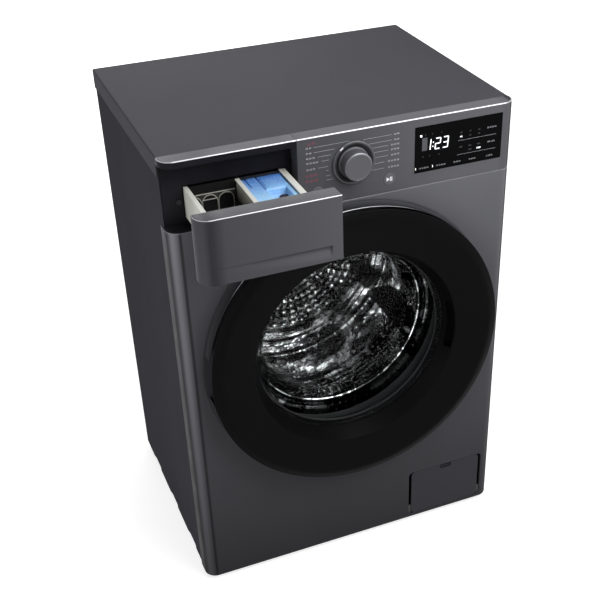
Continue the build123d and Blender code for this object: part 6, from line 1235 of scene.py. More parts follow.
def make_edge_strips():
    """Painted highlights: the light lines along the top front edges and along the seam under the fascia."""
    top = [(0.0, FASCIA.z1 - EDGE_CUT), (EDGE_CUT, FASCIA.z1)]
    right = bent_plan(FASCIA.x0 + 0.4, FASCIA.x1, FASCIA.y1 - 2, FRONT, CORNER, False, True)
    make_edge_strip("fascia_edge_strip", right, top, "edge_bright", "cabinet")
    left = bent_plan(SURROUND.x0, FASCIA.x0 - 0.6, FASCIA.y1 - 2, FRONT, CORNER, True, False)
    make_edge_strip("recess_edge_strip", left, top, "edge_bright", "cabinet")
    drawer = bent_plan(DRAWER.x0, DRAWER.x1 - 0.4, DRAWER.y0 + CORNER + 3, DRAWER.y0, CORNER, True, False)
    cut = DRAWER_CHAMFER
    rows = [(cut * 0.16, DRAWER.z1 - cut * 0.82), (cut * 0.72, DRAWER.z1 - 0.55),
            (cut * 0.85, DRAWER.z1 - 0.4)]
    make_edge_strip("drawer_edge_strip", drawer, rows, "edge_bright", "drawer")
    seam = bent_plan(PANEL.x0, PANEL.x1, FASCIA.y1 - 2, FRONT, CORNER, True, True)
    fold = FOLD_RADIUS
    make_edge_strip("seam_edge_strip", seam, [(0.0, PANEL.z1 - fold), (fold * 0.3, PANEL.z1 - fold * 0.3),
                                              (fold, PANEL.z1)], "edge_soft", "cabinet")


SLOT_HALF_WIDTH, SLOT_HEIGHT, SLOT_LINE = 11.0, 9.0, 1.6


def make_cover_slot():
    """Painted shade: a dark band round the finger slot of the drain cover, standing in for the shade in the
    slot's gap.
    """
    middle = (COVER.x0 + COVER.x1) / 2
    low, high = COVER.z1 - SLOT_HEIGHT, COVER.z1 - 0.4
    bm = bmesh.new()
    slot_shade_outlines = [rounded_rectangle(middle - SLOT_HALF_WIDTH + inset, low + inset, middle + SLOT_HALF_WIDTH - inset,
                              high - inset, 2.4 - inset) for inset in (0.0, SLOT_LINE)]
    plate(bm, slot_shade_outlines, FRONT - 0.15, FRONT + 0.4, facing_front)
    finish_piece("drain_cover_slot_rim", bm, "frame_black", "drain_cover",
                 flat_weight=False)


HINGE_GAP = 36.0  # half height of the ring's opening for the hinge


def open_at_hinge(bm):
    """Cuts a turned piece of the ring open at the hinge, and closes its two ends."""
    at_hinge = [v for v in bm.verts if v.co.x < 0 and abs(v.co.z - DOOR_Z * MM) < HINGE_GAP * MM]
    bmesh.ops.delete(bm, geom=at_hinge, context="VERTS")
    bmesh.ops.holes_fill(bm, edges=[edge for edge in bm.edges if edge.is_boundary])


def make_ring_skirt():
    """Outer side of the door ring, painted grey fading to dark as a reflection of the panel, and the bead
    along its front edge.
    """
    outer = (RING.x1 - RING.x0) / 2
    bm = bmesh.new()
    lathe(bm, [(outer + 0.06, FRONT + 0.5), (outer + 0.06, FRONT - 22.0), (outer - 0.3, FRONT - 22.0),
               (outer - 0.3, FRONT + 0.5)])
    open_at_hinge(bm)
    finish_piece("door_ring_skirt", bm, "ring_skirt", "door", flat_weight=False)
    bm = bmesh.new()
    bead = [(outer - 0.4 + 0.75 * math.cos(a), FRONT - 23.0 + 0.75 * math.sin(a))
            for a in [2 * math.pi * i / 10 for i in range(10)]]
    lathe(bm, bead)
    open_at_hinge(bm)
    finish_piece("door_ring_bead", bm, "ring_bead", "door", flat_weight=False)


# ---------------------------------------------------------------- dial and buttons
DIAL_AT = (KNOB.xm, KNOB.zm)
DIAL_STEPS = 128
BEZEL_RADIUS = (BEZEL.x1 - BEZEL.x0) / 2
BEZEL_WELL = 26.6
KNOB_SKIRT = 26.0
KNOB_GRIP = 24.0
MARK_ANGLE = math.radians(128)
MARK_HALF = math.radians(5.5)
BUTTON_RADIUS = 10.5
BUTTON_STEPS = 72


def turned_piece(name, profile, at, material, body, replaces=(), steps=DIAL_STEPS, bend=4):
    """Round piece of the dial or of a button, turned round the line along Y through the point at."""
    bm = bmesh.new()
    lathe(bm, soften(profile, bend), *at, steps)
    finish_piece(name, bm, material, body, replaces)


def make_bezel():
    """Ring round the dial, with a dark well for the knob."""
    front, outer, well = BEZEL.y0, BEZEL_RADIUS, BEZEL_WELL
    profile = [(outer, FRONT - 0.02, 0), (outer, front + 0.9, 0.5), (outer - 1.4, front, 0.8),
               (outer - 3.6, front, 0.8), (outer - 9.0, FRONT + 2.2, 1.5), (well, FRONT + 2.6, 0.5),
               (well, FRONT + 4.0, 0), (outer - 4, FRONT + 4.0, 0)]
    turned_piece("dial_bezel_ring", profile, DIAL_AT, "dial_dark", "cabinet", ["dial_bezel"])


def make_knob():
    """Knob with a dished face, and the bright chamfer round it."""
    skirt, grip, tip, back = KNOB_SKIRT, KNOB_GRIP, KNOB.y0, FRONT + 2.0
    profile = [(skirt, back, 0), (skirt, FRONT - 1.6, 0.8), (grip + 0.2, FRONT - 3.2, 1.0),
               (grip - 0.5, tip + 2.6, 0.6), (grip - 2.4, tip + 0.5, 0.8), (grip - 4.2, tip, 0.6),
               (grip - 5.6, tip + 0.45, 0.6), (0, tip + 0.8, 0), (0, back, 0)]
    turned_piece("dial_knob_body", profile, DIAL_AT, "dial_face", "dial", ["dial_knob"])
    rim = [(grip - 0.9, tip + 2.1, 0.2), (grip - 0.7, tip + 1.5, 0.2), (grip - 2.2, tip + 0.15, 0.3),
           (grip - 2.6, tip + 0.6, 0.2)]
    turned_piece("dial_knob_rim", rim, DIAL_AT, "dial_edge", "dial", bend=3)


def make_position_mark():
    """Raised mark on the bezel."""
    x, z = DIAL_AT
    bm = bmesh.new()
    inner, far, half = BEZEL_RADIUS - 3.4, BEZEL_RADIUS - 0.9, MARK_HALF
    corners = ((inner, -half), (far, -half), (far, 0), (far, half), (inner, half), (inner, 0))
    loop = [(x + r * math.cos(MARK_ANGLE + a), z + r * math.sin(MARK_ANGLE + a)) for r, a in corners]
    rows = skin(bm, [[(px, y, pz) for px, pz in loop] for y in (BEZEL.y0 + 1.0, BEZEL.y0 - 0.12)])
    cap(bm, rows[0])
    cap(bm, rows[1])
    finish_piece("dial_position_mark", bm, "bright_print", "cabinet", bevel=0.08)


def make_button(node, icon):
    """Round push button with its icon. node is also the name of its body."""
    place = Box(node)
    radius, front, back = BUTTON_RADIUS, place.y0, FRONT + 3.0
    profile = [(radius, back, 0), (radius, front + 0.3, 0.4), (radius - 0.9, front, 0.4),
               (0, front + 0.35, 0), (0, back, 0)]
    turned_piece(node + "_cap", profile, (place.xm, place.zm), "button_face", node, [node], BUTTON_STEPS)
    bm = bmesh.new()
    face = front + 0.28
    for shape in icon:
        plate(bm, [[(place.xm + a, b + place.zm) for a, b in shape]], face, face - 0.2, facing_front)
    finish_piece(node + "_icon", bm, "bright_print", node)


def ring_outline_icon(radius, width, start, end, steps=20):
    """An arc band as one outline."""
    outer = [(radius * math.cos(a), radius * math.sin(a)) for a in
             [start + (end - start) * i / steps for i in range(steps + 1)]]
    inner = [(a * (radius - width) / radius, b * (radius - width) / radius) for a, b in reversed(outer)]
    return outer + inner


PLAY_ICON = (
    ((-5.0, -3.8), (0.3, 0.0), (-5.0, 3.8)),
    ((0.9, -3.8), (2.4, -3.8), (2.4, 3.8), (0.9, 3.8)),
    ((3.4, -3.8), (4.9, -3.8), (4.9, 3.8), (3.4, 3.8)),
)
POWER_ICON = (
    ring_outline_icon(3.2, 0.7, math.radians(125), math.radians(415)),
    ((-0.35, 0.6), (0.35, 0.6), (0.35, 3.9), (-0.35, 3.9)),
)


# ---------------------------------------------------------------- fascia graphics
PRINT_HEIGHT = 0.05  # how far ink stands off its panel
INK_Y = FRONT - PRINT_HEIGHT


def add_bar(bm, x0, z0, x1, z1, width, y):
    """Thin straight stroke of ink."""
    along = Vector((x1 - x0, z1 - z0)).normalized()
    side = Vector((-along.y, along.x)) * width / 2
    loop = [(x0 - side.x, z0 - side.y), (x1 - side.x, z1 - side.y), (x1 + side.x, z1 + side.y),
            (x0 + side.x, z0 + side.y)]
    plate(bm, [loop], y, y + PRINT_HEIGHT * 0.9, facing_front)


def add_number(bm, text, x, z, height, align, y):
    """Plain digits, height millimetres tall, with their middle height at z."""
    curve = bpy.data.curves.new("digits", "FONT")
    curve.body = text
    curve.size = height / 0.7 * MM
    curve.align_x = align
    curve.resolution_u = 3
    curve.extrude = PRINT_HEIGHT * 0.45 * MM
    holder = bpy.data.objects.new("digits", curve)
    bpy.context.scene.collection.objects.link(holder)
    bpy.context.view_layer.update()
    flat = bpy.data.meshes.new_from_object(holder.evaluated_get(bpy.context.evaluated_depsgraph_get()))
    for vert in flat.vertices:
        a, b, c = vert.co
        vert.co = (x * MM + a, y * MM + c + PRINT_HEIGHT * 0.45 * MM, (z - height / 2) * MM + b)
    bm.from_mesh(flat)
    bpy.data.objects.remove(holder)
    bpy.data.curves.remove(curve)
    bpy.data.meshes.remove(flat)


RIGHT_LABELS = (
    ("60 90", 35.0, 25),
    ("40 60", 26.0, 34),
    ("30 40 60", 18.0, 40),
    ("20 30 40", 10.0, 43),
    ("30 40 50", 1.0, 44),
    ("20 30 40 60", -9.0, 44),
    ("15 30 45 60", -19.4, 40),
)
LEFT_LABELS = (
    ("20 30", 37.0),
    ("30 40", 28.5),
    ("40 60 90", 20.0),
    ("20 30 40 60", 12.0),
    ("30 40 50", 1.5),
)
LABEL_HEIGHT = 2.9


LEADER_GAP = 3.0  # between a number or the dial and its leader line
LEADER_WIDTH = 0.4
RIGHT_EDGE, LEFT_EDGE = 79.5, -80.0  # outer ends of the labels, from the dial's middle
BARE_LEADERS = (-5.0, -14.0, -21.0)
RED_LABELS = (("60 90", -77.0, 43.4), ("20 30 40", -82.0, -9.0), ("40 60 90", -82.0, -18.0))


def finish_ink(name, bm, material):
    """Finishes printed or lit marks on the fascia."""
    finish_piece(name, bm, material, "cabinet", flat_weight=False)


def label_width(text):
    """About how wide a label is."""
    return len(text) * LABEL_HEIGHT * 0.72


def dial_reach(rise):
    """How far a leader line at that height stays from the dial's middle."""
    return math.sqrt((BEZEL_RADIUS + 4) ** 2 - rise**2) if rise < BEZEL_RADIUS else 4.0


def make_programme_marks():
    """Plain numbers round the dial with a leader line each. No words are printed."""
    x, z = DIAL_AT
    bm = bmesh.new()
    for text, rise, start in RIGHT_LABELS:
        add_number(bm, text, x + RIGHT_EDGE, z + rise, LABEL_HEIGHT, "RIGHT", INK_Y)
        end = x + RIGHT_EDGE - label_width(text) - LEADER_GAP
        add_bar(bm, start, z + rise, end, z + rise, LEADER_WIDTH, INK_Y)
    for text, rise in LEFT_LABELS:
        add_number(bm, text, x + LEFT_EDGE, z + rise, LABEL_HEIGHT, "LEFT", INK_Y)
        start = x + LEFT_EDGE + label_width(text) + LEADER_GAP
        add_bar(bm, start, z + rise, x - dial_reach(rise) - LEADER_GAP, z + rise, LEADER_WIDTH, INK_Y)
    for rise in BARE_LEADERS:
        add_bar(bm, x - 47, z + rise, x - dial_reach(rise) - 2, z + rise, LEADER_WIDTH, INK_Y)
    finish_ink("programme_marks", bm, "white_print")
    bm = bmesh.new()
    for text, across, rise in RED_LABELS:
        add_number(bm, text, x + across, z + rise, LABEL_HEIGHT * 1.4, "LEFT", INK_Y)
    finish_ink("programme_marks_red", bm, "red_print")


SEGMENTS = {
    "1": "bc",
    "2": "abged",
    "3": "abgcd",
}


def add_digit(bm, figure, x, z, width, height, y):
    """Seven-segment figure with its lower left corner at (x, z)."""
    gap = 0.25
    half = height / 2

    def bar(ax, az, bx, bz):
        add_bar(bm, x + ax + az * CLOCK_LEAN, z + az, x + bx + bz * CLOCK_LEAN, z + bz, CLOCK_STROKE, y)

    ends = {
        "a": (gap, height, width - gap, height),
        "g": (gap, half, width - gap, half),
        "d": (gap, 0, width - gap, 0),
        "b": (width, half + gap, width, height - gap),
        "c": (width, gap, width, half - gap),
        "f": (0, half + gap, 0, height - gap),
        "e": (0, gap, 0, half - gap),
    }
    for name in SEGMENTS[figure]:
        bar(*ends[name])


# Marks on the display, as (text, across, up) from the window's lower left corner.
BRIGHT_NUMBERS = (("40", 84, 50), ("1000", 117, 25))
CLOCK_LOW, CLOCK_HEIGHT = 37.0, 18.0
CLOCK_DIGITS = (("1", 19.5, 8.0), ("2", 36.5, 8.5), ("3", 50.5, 8.5))  # figure, across, width
CLOCK_STROKE, CLOCK_LEAN = 1.7, 0.09
DIM_ROWS = ((57, ("20", "30", "40")), (50, ("", "60", "90")), (32, ("400", "600", "800")),
            (25, ("", "1200", "")))
DIM_LEFT, DIM_PITCH = 84, 16.5
ICON_COLUMNS = (19, 31, 48)
WIDE_LABELS = (("20 40 60 90", 149, 57), ("800 1200", 147, 32))
LOW_LABELS = (("10 20 30 40", 17), ("15 30 45 60", 48), ("20 40 60", 78), ("30 60 90", 106),
              ("10 20 40", 138))


def make_display_glass():
    """Black window over the display."""
    bm = bmesh.new()
    outline = rounded_rectangle(WINDOW.x0, WINDOW.z0, WINDOW.x1, WINDOW.z1, 1.6)
    plate(bm, [outline], WINDOW.y0, WINDOW.y0 + 2.0, facing_front)
    finish_piece("display_glass", bm, "display_black", "cabinet", ["display_window"], bevel=0.25)


def make_lit_figures(left, low, y):
    """The clock figure, with the brightest numbers and marks."""
    bm = bmesh.new()
    base = low + CLOCK_LOW
    for figure, across, width in CLOCK_DIGITS:
        add_digit(bm, figure, left + across, base, width, CLOCK_HEIGHT, y)
    for rise in (5.2, 12.2):
        start, end = (left + across + rise * CLOCK_LEAN for across in (31.2, 32.9))
        add_bar(bm, start, base + rise, end, base + rise, CLOCK_STROKE, y)
    for text, across, up in BRIGHT_NUMBERS:
        add_number(bm, text, left + across, low + up, 3.0, "CENTER", y)
    plate(bm, [circle(left + 11, low + 63, 1.9, 24)], y, y + 0.04, facing_front)
    for across in (2.2, 33.0):
        add_bar(bm, left + across, low + 5.6, left + across, low + 9.6, 1.0, y)
    finish_ink("display_lit_figures", bm, "display_light")


def make_dim_figures(left, low, y):
    """Numbers of the settings that are not chosen."""
    bm = bmesh.new()
    panel = rounded_rectangle(left + 13, low + 37, left + 22.5, low + 59, 0.5)
    plate(bm, [panel], y + 0.02, y + 0.045, facing_front)
    for row, texts in DIM_ROWS:
        for column, text in enumerate(texts):
            if text:
                add_number(bm, text, left + DIM_LEFT + column * DIM_PITCH, low + row, 2.6, "CENTER", y)
    for across in ICON_COLUMNS:
        add_number(bm, "0", left + across, low + 64, 2.4, "CENTER", y)
        add_number(bm, "8", left + across - 4, low + 27, 2.4, "CENTER", y)
    finish_ink("display_dim_figures", bm, "display_dim")


def make_display_labels(left, low, y):
    """Grey rules and numbers under and beside the figures."""
    bm = bmesh.new()
    for rise in (43.5, 19.0):
        add_bar(bm, left + 78, low + rise, left + 149, low + rise, 0.35, y)
    for text, across, up in WIDE_LABELS:
        add_number(bm, text, left + across, low + up, 2.5, "RIGHT", y)
    for text, across in LOW_LABELS:
        add_number(bm, text, left + across, low + 7.4, 2.5, "CENTER", y)
    finish_ink("display_labels", bm, "display_grey")


def make_display():
    """Black window with a lit clock figure and plain numbers on its face."""
    make_display_glass()
    for make_marks in (make_lit_figures, make_dim_figures, make_display_labels):
        make_marks(WINDOW.x0, WINDOW.z0, WINDOW.y0 - PRINT_HEIGHT)


# ---------------------------------------------------------------- tray, insert and cap
ARCH_PITCH = 26.0
ARCH_RADIUS = 12.2
ARCH_TOP = INSERT.z0 + 30.0
ARCH_RAIL = ARCH_TOP + 3.4
INSERT_WALL = 1.6


INSERT_FLOOR = 1.2
INSERT_LOW_WALL = 12.0
ARCH_SPRING = ARCH_TOP - ARCH_RADIUS
ARCH_MIDDLES = [INSERT.x1 - 15.7 - ARCH_PITCH * i for i in range(3)]
ARCH_LEFT = INSERT.x0 + 0.8  # the left arch is cut off here
RIM_RADIUS, BAR_RADIUS = 0.8, 0.9


def arch(middle, steps):
    """Points of the half circle over an arch's opening, from its right to its left."""
    turns = [math.pi * i / steps for i in range(steps + 1)]
    return [(middle + ARCH_RADIUS * math.cos(a), ARCH_SPRING + ARCH_RADIUS * math.sin(a)) for a in turns]


def arch_hole(middle):
    """Outline of an arch's opening."""
    low = INSERT.z0 + 2.5
    top = [(max(x, ARCH_LEFT), z) for x, z in arch(middle, 20) if x > INSERT.x0]
    return [(max(middle - ARCH_RADIUS, ARCH_LEFT), low), (middle + ARCH_RADIUS, low)] + top


def make_insert():
    """Liquid insert: a thin trough with an upright plate of open arches at its rear end."""
    bm = bmesh.new()
    x0, x1, y0, y1, z0 = INSERT.x0, INSERT.x1, INSERT.y0, INSERT.y1, INSERT.z0
    wall = INSERT_WALL
    outline = rounded_rectangle(x0, z0, x1, ARCH_RAIL, 0.8, 3)
    plate(bm, [outline] + [arch_hole(middle) for middle in ARCH_MIDDLES], y1 - wall, y1, facing_front)
    rear, top = y1 - wall - 0.1, z0 + INSERT_LOW_WALL
    for x in (x0, x1 - wall):
        box(bm, (x, y0, z0), (x + wall, rear, top))
    box(bm, (x0 + wall, y0, z0), (x1 - wall, y0 + wall, top))
    box(bm, (x0 + wall, y0 + wall, z0), (x1 - wall, rear, z0 + INSERT_FLOOR))
    finish_piece("insert_walls", bm, "insert_dark", "liquid_insert", ["liquid_insert"], bevel=0.2)


def make_insert_rims():
    """Pale rims round the insert's arches, and the bars across them."""
    bm = bmesh.new()
    face, foot = INSERT.y1 - INSERT_WALL - 0.2, INSERT.z0 + 3
    for middle in ARCH_MIDDLES:
        outline = [(middle + ARCH_RADIUS, foot)] + arch(middle, 24) + [(middle - ARCH_RADIUS, foot)]
        tube(bm, [(x, face, z) for x, z in outline if x > ARCH_LEFT], RIM_RADIUS)
    left, right = ARCH_MIDDLES[1] - ARCH_RADIUS, ARCH_MIDDLES[1] + ARCH_RADIUS
    for start, end, z in ((left, right, ARCH_TOP - 7.5), (ARCH_LEFT, INSERT.x1 - 0.8, ARCH_RAIL - 0.8)):
        tube(bm, [(start, face, z), (end, face, z)], BAR_RADIUS)
    finish_piece("insert_rims", bm, "rim_grey", "liquid_insert")


CAP_POCKET = 11.0
CAP_POCKET_REAR = CAP.y1 - 49.6
CAP_POCKET_SHARES = (0.405, 0.90)  # where the pocket lies across the cap's width
CAP_GROOVES = ((0.12, CAP.y1 - 35.0), (0.39, CAP_POCKET_REAR))  # share of the width, and where each ends


def cap_height(x, y):
    """Top of the softener cap: two grooves, a raised rear panel and the filling pocket at its front."""
    z = CAP.z1 - 1.2
    width = CAP.x1 - CAP.x0
    across = (x - CAP.x0) / width
    rear_panel = smooth_step(across, 0.42, 0.45) * (1 - smooth_step(across, 0.93, 0.96))
    rear_panel *= smooth_step(y, CAP_POCKET_REAR + 2, CAP_POCKET_REAR + 6)
    rear_panel *= 1 - smooth_step(y, CAP.y1 - 9, CAP.y1 - 5)
    z += 1.2 * rear_panel
    for groove, end in CAP_GROOVES:
        off = abs(across - groove) * width
        z -= 2.2 * (1 - smooth_step(off, 0.5, 1.4)) * smooth_step(y, end, end + 2)
    low, high = CAP_POCKET_SHARES
    inside = min(across - low, high - across) * width
    along = min(y - (CAP.y0 + 8), CAP_POCKET_REAR - y)
    z -= CAP_POCKET * smooth_step(min(inside, along), 0.0, 2.4)
    return z


CAP_EDGE = 0.8  # the rounding where its top turns into its skirt
CAP_SKIRT = ((0.55, 0.25), (CAP_EDGE, 0.8))  # (outwards, downwards) over the rounding


def cap_rim(rows):
    """The points round the cap's top, once round."""
    rim = list(rows[0]) + [row[-1] for row in rows[1:]]
    rim += list(reversed(rows[-1][:-1])) + [row[0] for row in reversed(rows[1:-1])]
    return [vert.co / MM for vert in rim]


def pushed(point, out, z):
    """A rim point moved outwards at whichever sides of the cap it lies on."""
    moved = []
    for value, low, high in ((point.x, CAP.x0, CAP.x1), (point.y, CAP.y0, CAP.y1)):
        off = value - (low + high) / 2
        at_side = abs(off) > (high - low) / 2 - 1.2
        moved.append(value + (math.copysign(out, off) if at_side else 0.0))
    return (*moved, z)


def make_cap():
    """Softener cap: one moulded sheet with a skirt."""
    bm = bmesh.new()
    xs = spaced(CAP.x0 + CAP_EDGE, CAP.x1 - CAP_EDGE, 0.75)
    ys = spaced(CAP.y0 + CAP_EDGE, CAP.y1 - CAP_EDGE, 1.2)
    rows = skin(bm, [[(x, y, cap_height(x, y)) for x in xs] for y in ys], wrap_round=False)
    rim = cap_rim(rows)
    loops = [[tuple(p) for p in rim]]
    loops += [[pushed(p, out, p.z - down) for p in rim] for out, down in CAP_SKIRT]
    loops.append([pushed(p, CAP_EDGE, CAP.z0 + 0.2) for p in rim])
    skin(bm, loops)
    finish_piece("softener_cap_shell", bm, "cap_blue", "softener_cap", ["softener_cap"], thickness=1.4)


def make_cap_mouth():
    """The mouth in the cap's pocket, painted near black as the shade of its opening."""
    bm = bmesh.new()
    x, y = CAP.x0 + (CAP.x1 - CAP.x0) * 0.77, CAP_POCKET_REAR - 14.0
    floor = CAP.z1 - 1.2 - CAP_POCKET
    profile = [(8.4, floor - 0.6, 0), (8.4, floor + 1.3, 0.4), (7.2, floor + 1.3, 0.4),
               (6.6, floor + 0.15, 0.2), (0, floor + 0.12, 0), (0, floor - 0.6, 0)]
    lathe_up(bm, soften(profile, 3), x, y)
    finish_piece("softener_cap_mouth", bm, "mouth_black", "softener_cap")


# ---------------------------------------------------------------- door glass and gasket
GLASS_WALL = 5.0
GLASS_FLANGE = 185.0
BOWL_MOUTH, BOWL_END = 172.0, 152.0
BOWL_DEPTH, BOWL_CROWN = 90.0, 6.0
BOWL_CROWN_RADII = (128, 104, 80, 56, 32, 14, 0)


def make_glass():
    """The door's bowl: a flat flange, a sloping side and a crowned end, all of one thickness."""
    bm = bmesh.new()
    wall, mouth, end = GLASS_WALL, BOWL_MOUTH, BOWL_END
    flange, base = FRONT - 4.0, FRONT + BOWL_DEPTH
    crown = [(r, base + BOWL_CROWN * (1 - (r / end) ** 2)) for r in BOWL_CROWN_RADII]
    outer = [(GLASS_FLANGE, flange, 1.2), (GLASS_FLANGE, flange + wall, 1.2)]
    outer += [(mouth + 2.5, flange + wall, 4.0), (end + 1.0, base, 12.0)] + [(r, y, 0) for r, y in crown]
    inner = [(r, y - wall, 0) for r, y in reversed(crown)]
    inner += [(end - wall + 0.2, base - wall, 8.0), (mouth - wall + 1.0, flange, 5.0)]
    lathe(bm, soften(outer + inner, 7), steps=256)
    finish_piece("door_bowl_glass", bm, "clear_glass", "door", ["door_glass"],
                 flat_weight=False)


# The bellows' section: (radius, y, corner radius).
GASKET_OUTLINE = (
    (170.4, -219.0, 0.8),
    (171.6, -220.6, 0.8),
    (179.0, -218.0, 4.0),
    (186.5, -219.6, 2.0),
    (189.7, -218.4, 0.5),
    (189.7, -208.6, 0.5),
    (194.4, -208.6, 1.0),
    (194.4, -205.2, 1.0),
    (189.6, -205.2, 1.0),
    (186.4, -202.6, 1.6),
    (190.8, -199.6, 1.6),
    (186.8, -196.4, 1.6),
    (198.2, -193.2, 1.6),
    (198.2, -183.2, 1.0),
    (195.4, -183.2, 0.5),
    (195.4, -190.2, 0.5),
    (183.8, -193.4, 1.6),
    (187.6, -199.4, 1.6),
    (183.8, -203.2, 1.6),
    (183.8, -212.6, 2.5),
    (176.0, -212.2, 3.0),
    (171.8, -215.4, 1.0),
)


GASKET_HELD, GASKET_FREE = -204.5, -192.5  # the depths where it leaves the panel and meets the tub


def make_gasket():
    """Rubber bellows between the port and the tub, with its sealing lip on the glass."""
    bm = bmesh.new()
    lathe(bm, soften(GASKET_OUTLINE, 4))
    held, free = (DOOR_X, GASKET_HELD, DOOR_Z), (DOOR_X, GASKET_FREE, DOOR_Z)
    finish_piece("gasket_bellows", bm, "gasket_rubber", "cabinet", ["door_gasket"],
                 flat_weight=False, stretch=("tub", held, free))


# ---------------------------------------------------------------- drum
DRUM_RADIUS = 238.0
DRUM_COLUMNS = 96
HOLE_RADIUS = 1.9
DIMPLE_RADIUS = 5.2
DIMPLE_DEPTH = 2.2
PILLOW = 2.4


HOLE_RINGS = (
    (DIMPLE_RADIUS, 0.0),
    ((DIMPLE_RADIUS + HOLE_RADIUS) / 2, DIMPLE_DEPTH * 0.75),
    (HOLE_RADIUS, DIMPLE_DEPTH),
)  # (radius, how far it is pressed out) from a dimple's rim to its hole
CELL_SPOTS = ((1, 0), (1, 1), (0, 1), (-1, 1), (-1, 0), (-1, -1), (0, -1), (1, -1))


def perforated(bm, columns, rows, cell, place):
    """Sheet of cells with a dimpled hole in each. cell is a row's size, place turns a spot into a point."""
    for row in range(rows):
        half_a, half_b = cell(row)
        for column in range(columns):
            rings = [[place(column, row, a * half_a, b * half_b, -PILLOW * (1 if a and b else 0.35))
                      for a, b in CELL_SPOTS]]
            for radius, out in HOLE_RINGS:
                spokes = [(a / math.hypot(a, b), b / math.hypot(a, b)) for a, b in CELL_SPOTS]
                rings.append([place(column, row, a * radius, b * radius, out) for a, b in spokes])
            skin(bm, rings)


WALL_BANDS = (-7.0, 16.0)  # depths of the two beads rolled round the wall
BAND_DEPTH = 3.0
PERFORATED_END = -18.0


WALL_RADIUS = DRUM_RADIUS - 1.7
WALL_FRONT, WALL_REAR = DRUM.y0 + 14.0, DRUM.y1 - 6.0
WALL_ROWS = 9
DRUM_SHEET = 0.8


def finish_drum_piece(name, bm, material, replaces=()):
    """Finishes a piece of the drum's thin steel."""
    finish_piece(name, bm, material, "drum", replaces, thickness=DRUM_SHEET,
                 flat_weight=False)


def make_drum_wall():
    """The drum's perforated wall."""
    bm = bmesh.new()
    pitch = (PERFORATED_END - WALL_FRONT) / WALL_ROWS
    turn = 2 * math.pi / DRUM_COLUMNS

    def on_wall(column, row, a, b, out):
        reach = WALL_RADIUS + out
        angle = turn * (column + 0.5 * (row % 2)) + a / DRUM_RADIUS
        return (DOOR_X + reach * math.cos(angle), WALL_FRONT + pitch * (row + 0.5) + b,
                DOOR_Z + reach * math.sin(angle))

    perforated(bm, DRUM_COLUMNS, WALL_ROWS, lambda row: (DRUM_RADIUS * turn / 2, pitch / 2), on_wall)
    finish_drum_piece("drum_wall", bm, "drum_steel", ["drum_shell"])


def make_drum_rear_band():
    """Smooth rear part of the drum's wall, with two rolled beads."""
    bm = bmesh.new()
    radius, outer = WALL_RADIUS, WALL_RADIUS - 0.5
    profile = [(radius - 1.0, PERFORATED_END, 0)]
    for depth in WALL_BANDS:
        profile += [(outer, depth - 6.0, 3.0), (radius - BAND_DEPTH, depth - 2.5, 2.5),
                    (radius - BAND_DEPTH, depth + 2.5, 2.5), (outer, depth + 6.0, 3.0)]
    profile += [(outer, WALL_REAR - 7.0, 6.0), (radius - 8.0, WALL_REAR, 6.0), (radius - 12.0, WALL_REAR, 0)]
    lathe(bm, soften(profile, 5, closed=False), closed=False)
    finish_drum_piece("drum_rear_band", bm, "polished_steel")


def make_drum_front_ring():
    """The drum's rolled front, with its mouth."""
    bm = bmesh.new()
    outer, front = DRUM_RADIUS - 2.0, DRUM.y0
    profile = [(outer, WALL_FRONT + 1.0, 0), (outer, WALL_FRONT - 4.0, 6.0), (outer - 13.0, front + 1.2, 6.0),
               (190.0, front + 1.2, 4.0), (184.0, front + 4.0, 3.0), (176.0, front + 4.0, 3.0),
               (169.0, front + 0.8, 3.0), (166.4, front + 4.0, 2.0), (167.5, front + 9.0, 0)]
    lathe(bm, soften(profile, 5, closed=False), closed=False)
    finish_drum_piece("drum_front_ring", bm, "polished_steel")


STAR_TURN = math.pi / 2
FIELD_INNER, FIELD_OUTER = 62.0, 158.0
FIELD_ROWS, FIELD_COLUMNS = 7, 48
# The round steps of the drum's back: radii where each rises and falls, and its height.
BACK_STEPS = ((163.0, 168.0, 178.0, 183.0, 7.0), (188.0, 192.0, 201.0, 206.0, 4.0))
BACK_FACETS = 180


def back_relief(radius, angle):
    """How far the drum's back is pressed towards the mouth: a three-armed star, two round steps and a hub."""
    arm = math.cos(3 * (angle - STAR_TURN)) * 0.5 + 0.5
    star = smooth_step(arm, 0.68, 0.88) * smooth_step(radius, 50, 66) * (1 - smooth_step(radius, 150, 160))
    total = 7.0 * star + 9.0 * (1 - smooth_step(radius, 40, 58))
    for rise_start, rise_end, fall_start, fall_end, height in BACK_STEPS:
        fall = 1 - smooth_step(radius, fall_start, fall_end)
        total += height * smooth_step(radius, rise_start, rise_end) * fall
    return total


def back_point(radius, angle, out=0.0):
    """A point of the drum's pressed back, or that far behind it."""
    depth = WALL_REAR - back_relief(radius, angle)
    return (DOOR_X + radius * math.cos(angle), depth + out, DOOR_Z + radius * math.sin(angle))


def make_drum_back_rings():
    """Hub and rim of the drum's back, pressed into a star and two round steps."""
    bm = bmesh.new()
    turns = [2 * math.pi * i / BACK_FACETS for i in range(BACK_FACETS)]
    hub = [3, 20, 36] + spaced(40, 58, 3) + [FIELD_INNER]
    rim = [FIELD_OUTER, 160] + spaced(162, 208, 1.5) + [216, DRUM_RADIUS - 10.0]
    rows = skin(bm, [[back_point(r, a) for a in turns] for r in hub])
    cap(bm, rows[0])
    skin(bm, [[back_point(r, a) for a in turns] for r in rim])
    finish_drum_piece("drum_back_rings", bm, "polished_steel")


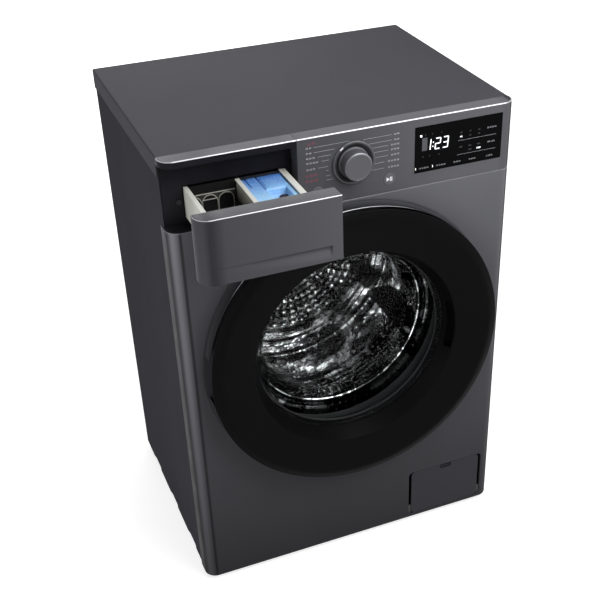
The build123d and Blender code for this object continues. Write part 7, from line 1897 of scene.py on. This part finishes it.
def make_drum_back():
    """Perforated fields of the drum's back, between the arms of its star."""
    bm = bmesh.new()
    pitch = (FIELD_OUTER - FIELD_INNER) / FIELD_ROWS
    turn = 2 * math.pi / FIELD_COLUMNS

    def middle(row):
        return FIELD_INNER + pitch * (row + 0.5)

    def on_back(column, row, a, b, out):
        return back_point(middle(row) + b, turn * (column + 0.5) + a / middle(row), out)

    perforated(bm, FIELD_COLUMNS, FIELD_ROWS, lambda row: (middle(row) * turn / 2, pitch / 2), on_back)
    finish_drum_piece("drum_back", bm, "drum_steel")


LIFTER_COUNT = 3
LIFTER_HEIGHT = 44.0
LIFTER_FOOT = 27.0
LIFTER_CROWN = 9.0


def make_lifters():
    """Three hollow vanes that lift the laundry: rounded crown, tapered front end."""
    bm = bmesh.new()
    y0, y1 = LIFTERS.y0, LIFTERS.y1
    stations = spaced(y0, y0 + 46, 4) + spaced(y0 + 56, y1 - 12, 14) + spaced(y1 - 9, y1, 3)
    for vane in range(LIFTER_COUNT):
        turn = math.pi / 2 - 2 * math.pi * vane / LIFTER_COUNT
        loops = []
        for y in stations:
            share = smooth_step(y, y0 - 6, y0 + 44) * (1 - 0.75 * smooth_step(y, y1 - 14, y1 + 8))
            height = 5 + (LIFTER_HEIGHT - 6) * share
            foot = LIFTER_FOOT * (0.72 + 0.28 * share)
            top = LIFTER_CROWN * (0.5 + 0.5 * share)
            half = [(foot, -1.0), (foot - 2.0, 1.2), (foot * 0.72 + top * 0.2, height * 0.28),
                    (top + 4.5, height * 0.72), (top + 1.5, height * 0.9), (top - 2.5, height * 0.985),
                    (0.0, height)]
            section = half + [(-w, h) for w, h in reversed(half[:-1])]
            loops.append([vane_point(w, h, y, turn) for w, h in section])
        rows = skin(bm, loops, wrap_round=False)
        for row in (rows[0], rows[-1]):
            bm.faces.new(row)
    obj = finish_piece("drum_vanes", bm, "lifter_steel", "drum", ["drum_lifters"],
                       flat_weight=False)
    smooth = obj.modifiers.new("crown", "SUBSURF")
    smooth.levels = smooth.render_levels = 1


def vane_point(across, height, y, turn):
    """A point of a vane: across its foot, above the drum's wall, at depth y."""
    radius = DRUM_RADIUS - 3.2 - height
    angle = turn + math.atan2(across, radius)
    reach = math.hypot(across, radius)
    reach = min(reach, DRUM_RADIUS - 2.6)
    return (DOOR_X + reach * math.cos(angle), y, DOOR_Z + reach * math.sin(angle))


# ---------------------------------------------------------------- the whole scene
bpy.context.scene.view_settings.view_transform = "Standard"
finish_cad_nodes()
make_front_panel()
make_side_panel("side_sheet_left", "side_panel_left", -1)
make_side_panel("side_sheet_right", "side_panel_right", 1)
make_drawer_front()
make_drawer_back()
make_edge_strips()
make_ring_skirt()
make_cover_slot()
make_bezel()
make_knob()
make_position_mark()
make_button("start_button", PLAY_ICON)
make_button("power_button", POWER_ICON)
make_programme_marks()
make_display()
make_insert()
make_insert_rims()
make_cap()
make_cap_mouth()
make_glass()
make_gasket()
make_drum_wall()
make_drum_rear_band()
make_drum_front_ring()
make_drum_back_rings()
make_drum_back()
make_lifters()
make_floor()
make_world()
make_lights()
make_camera()
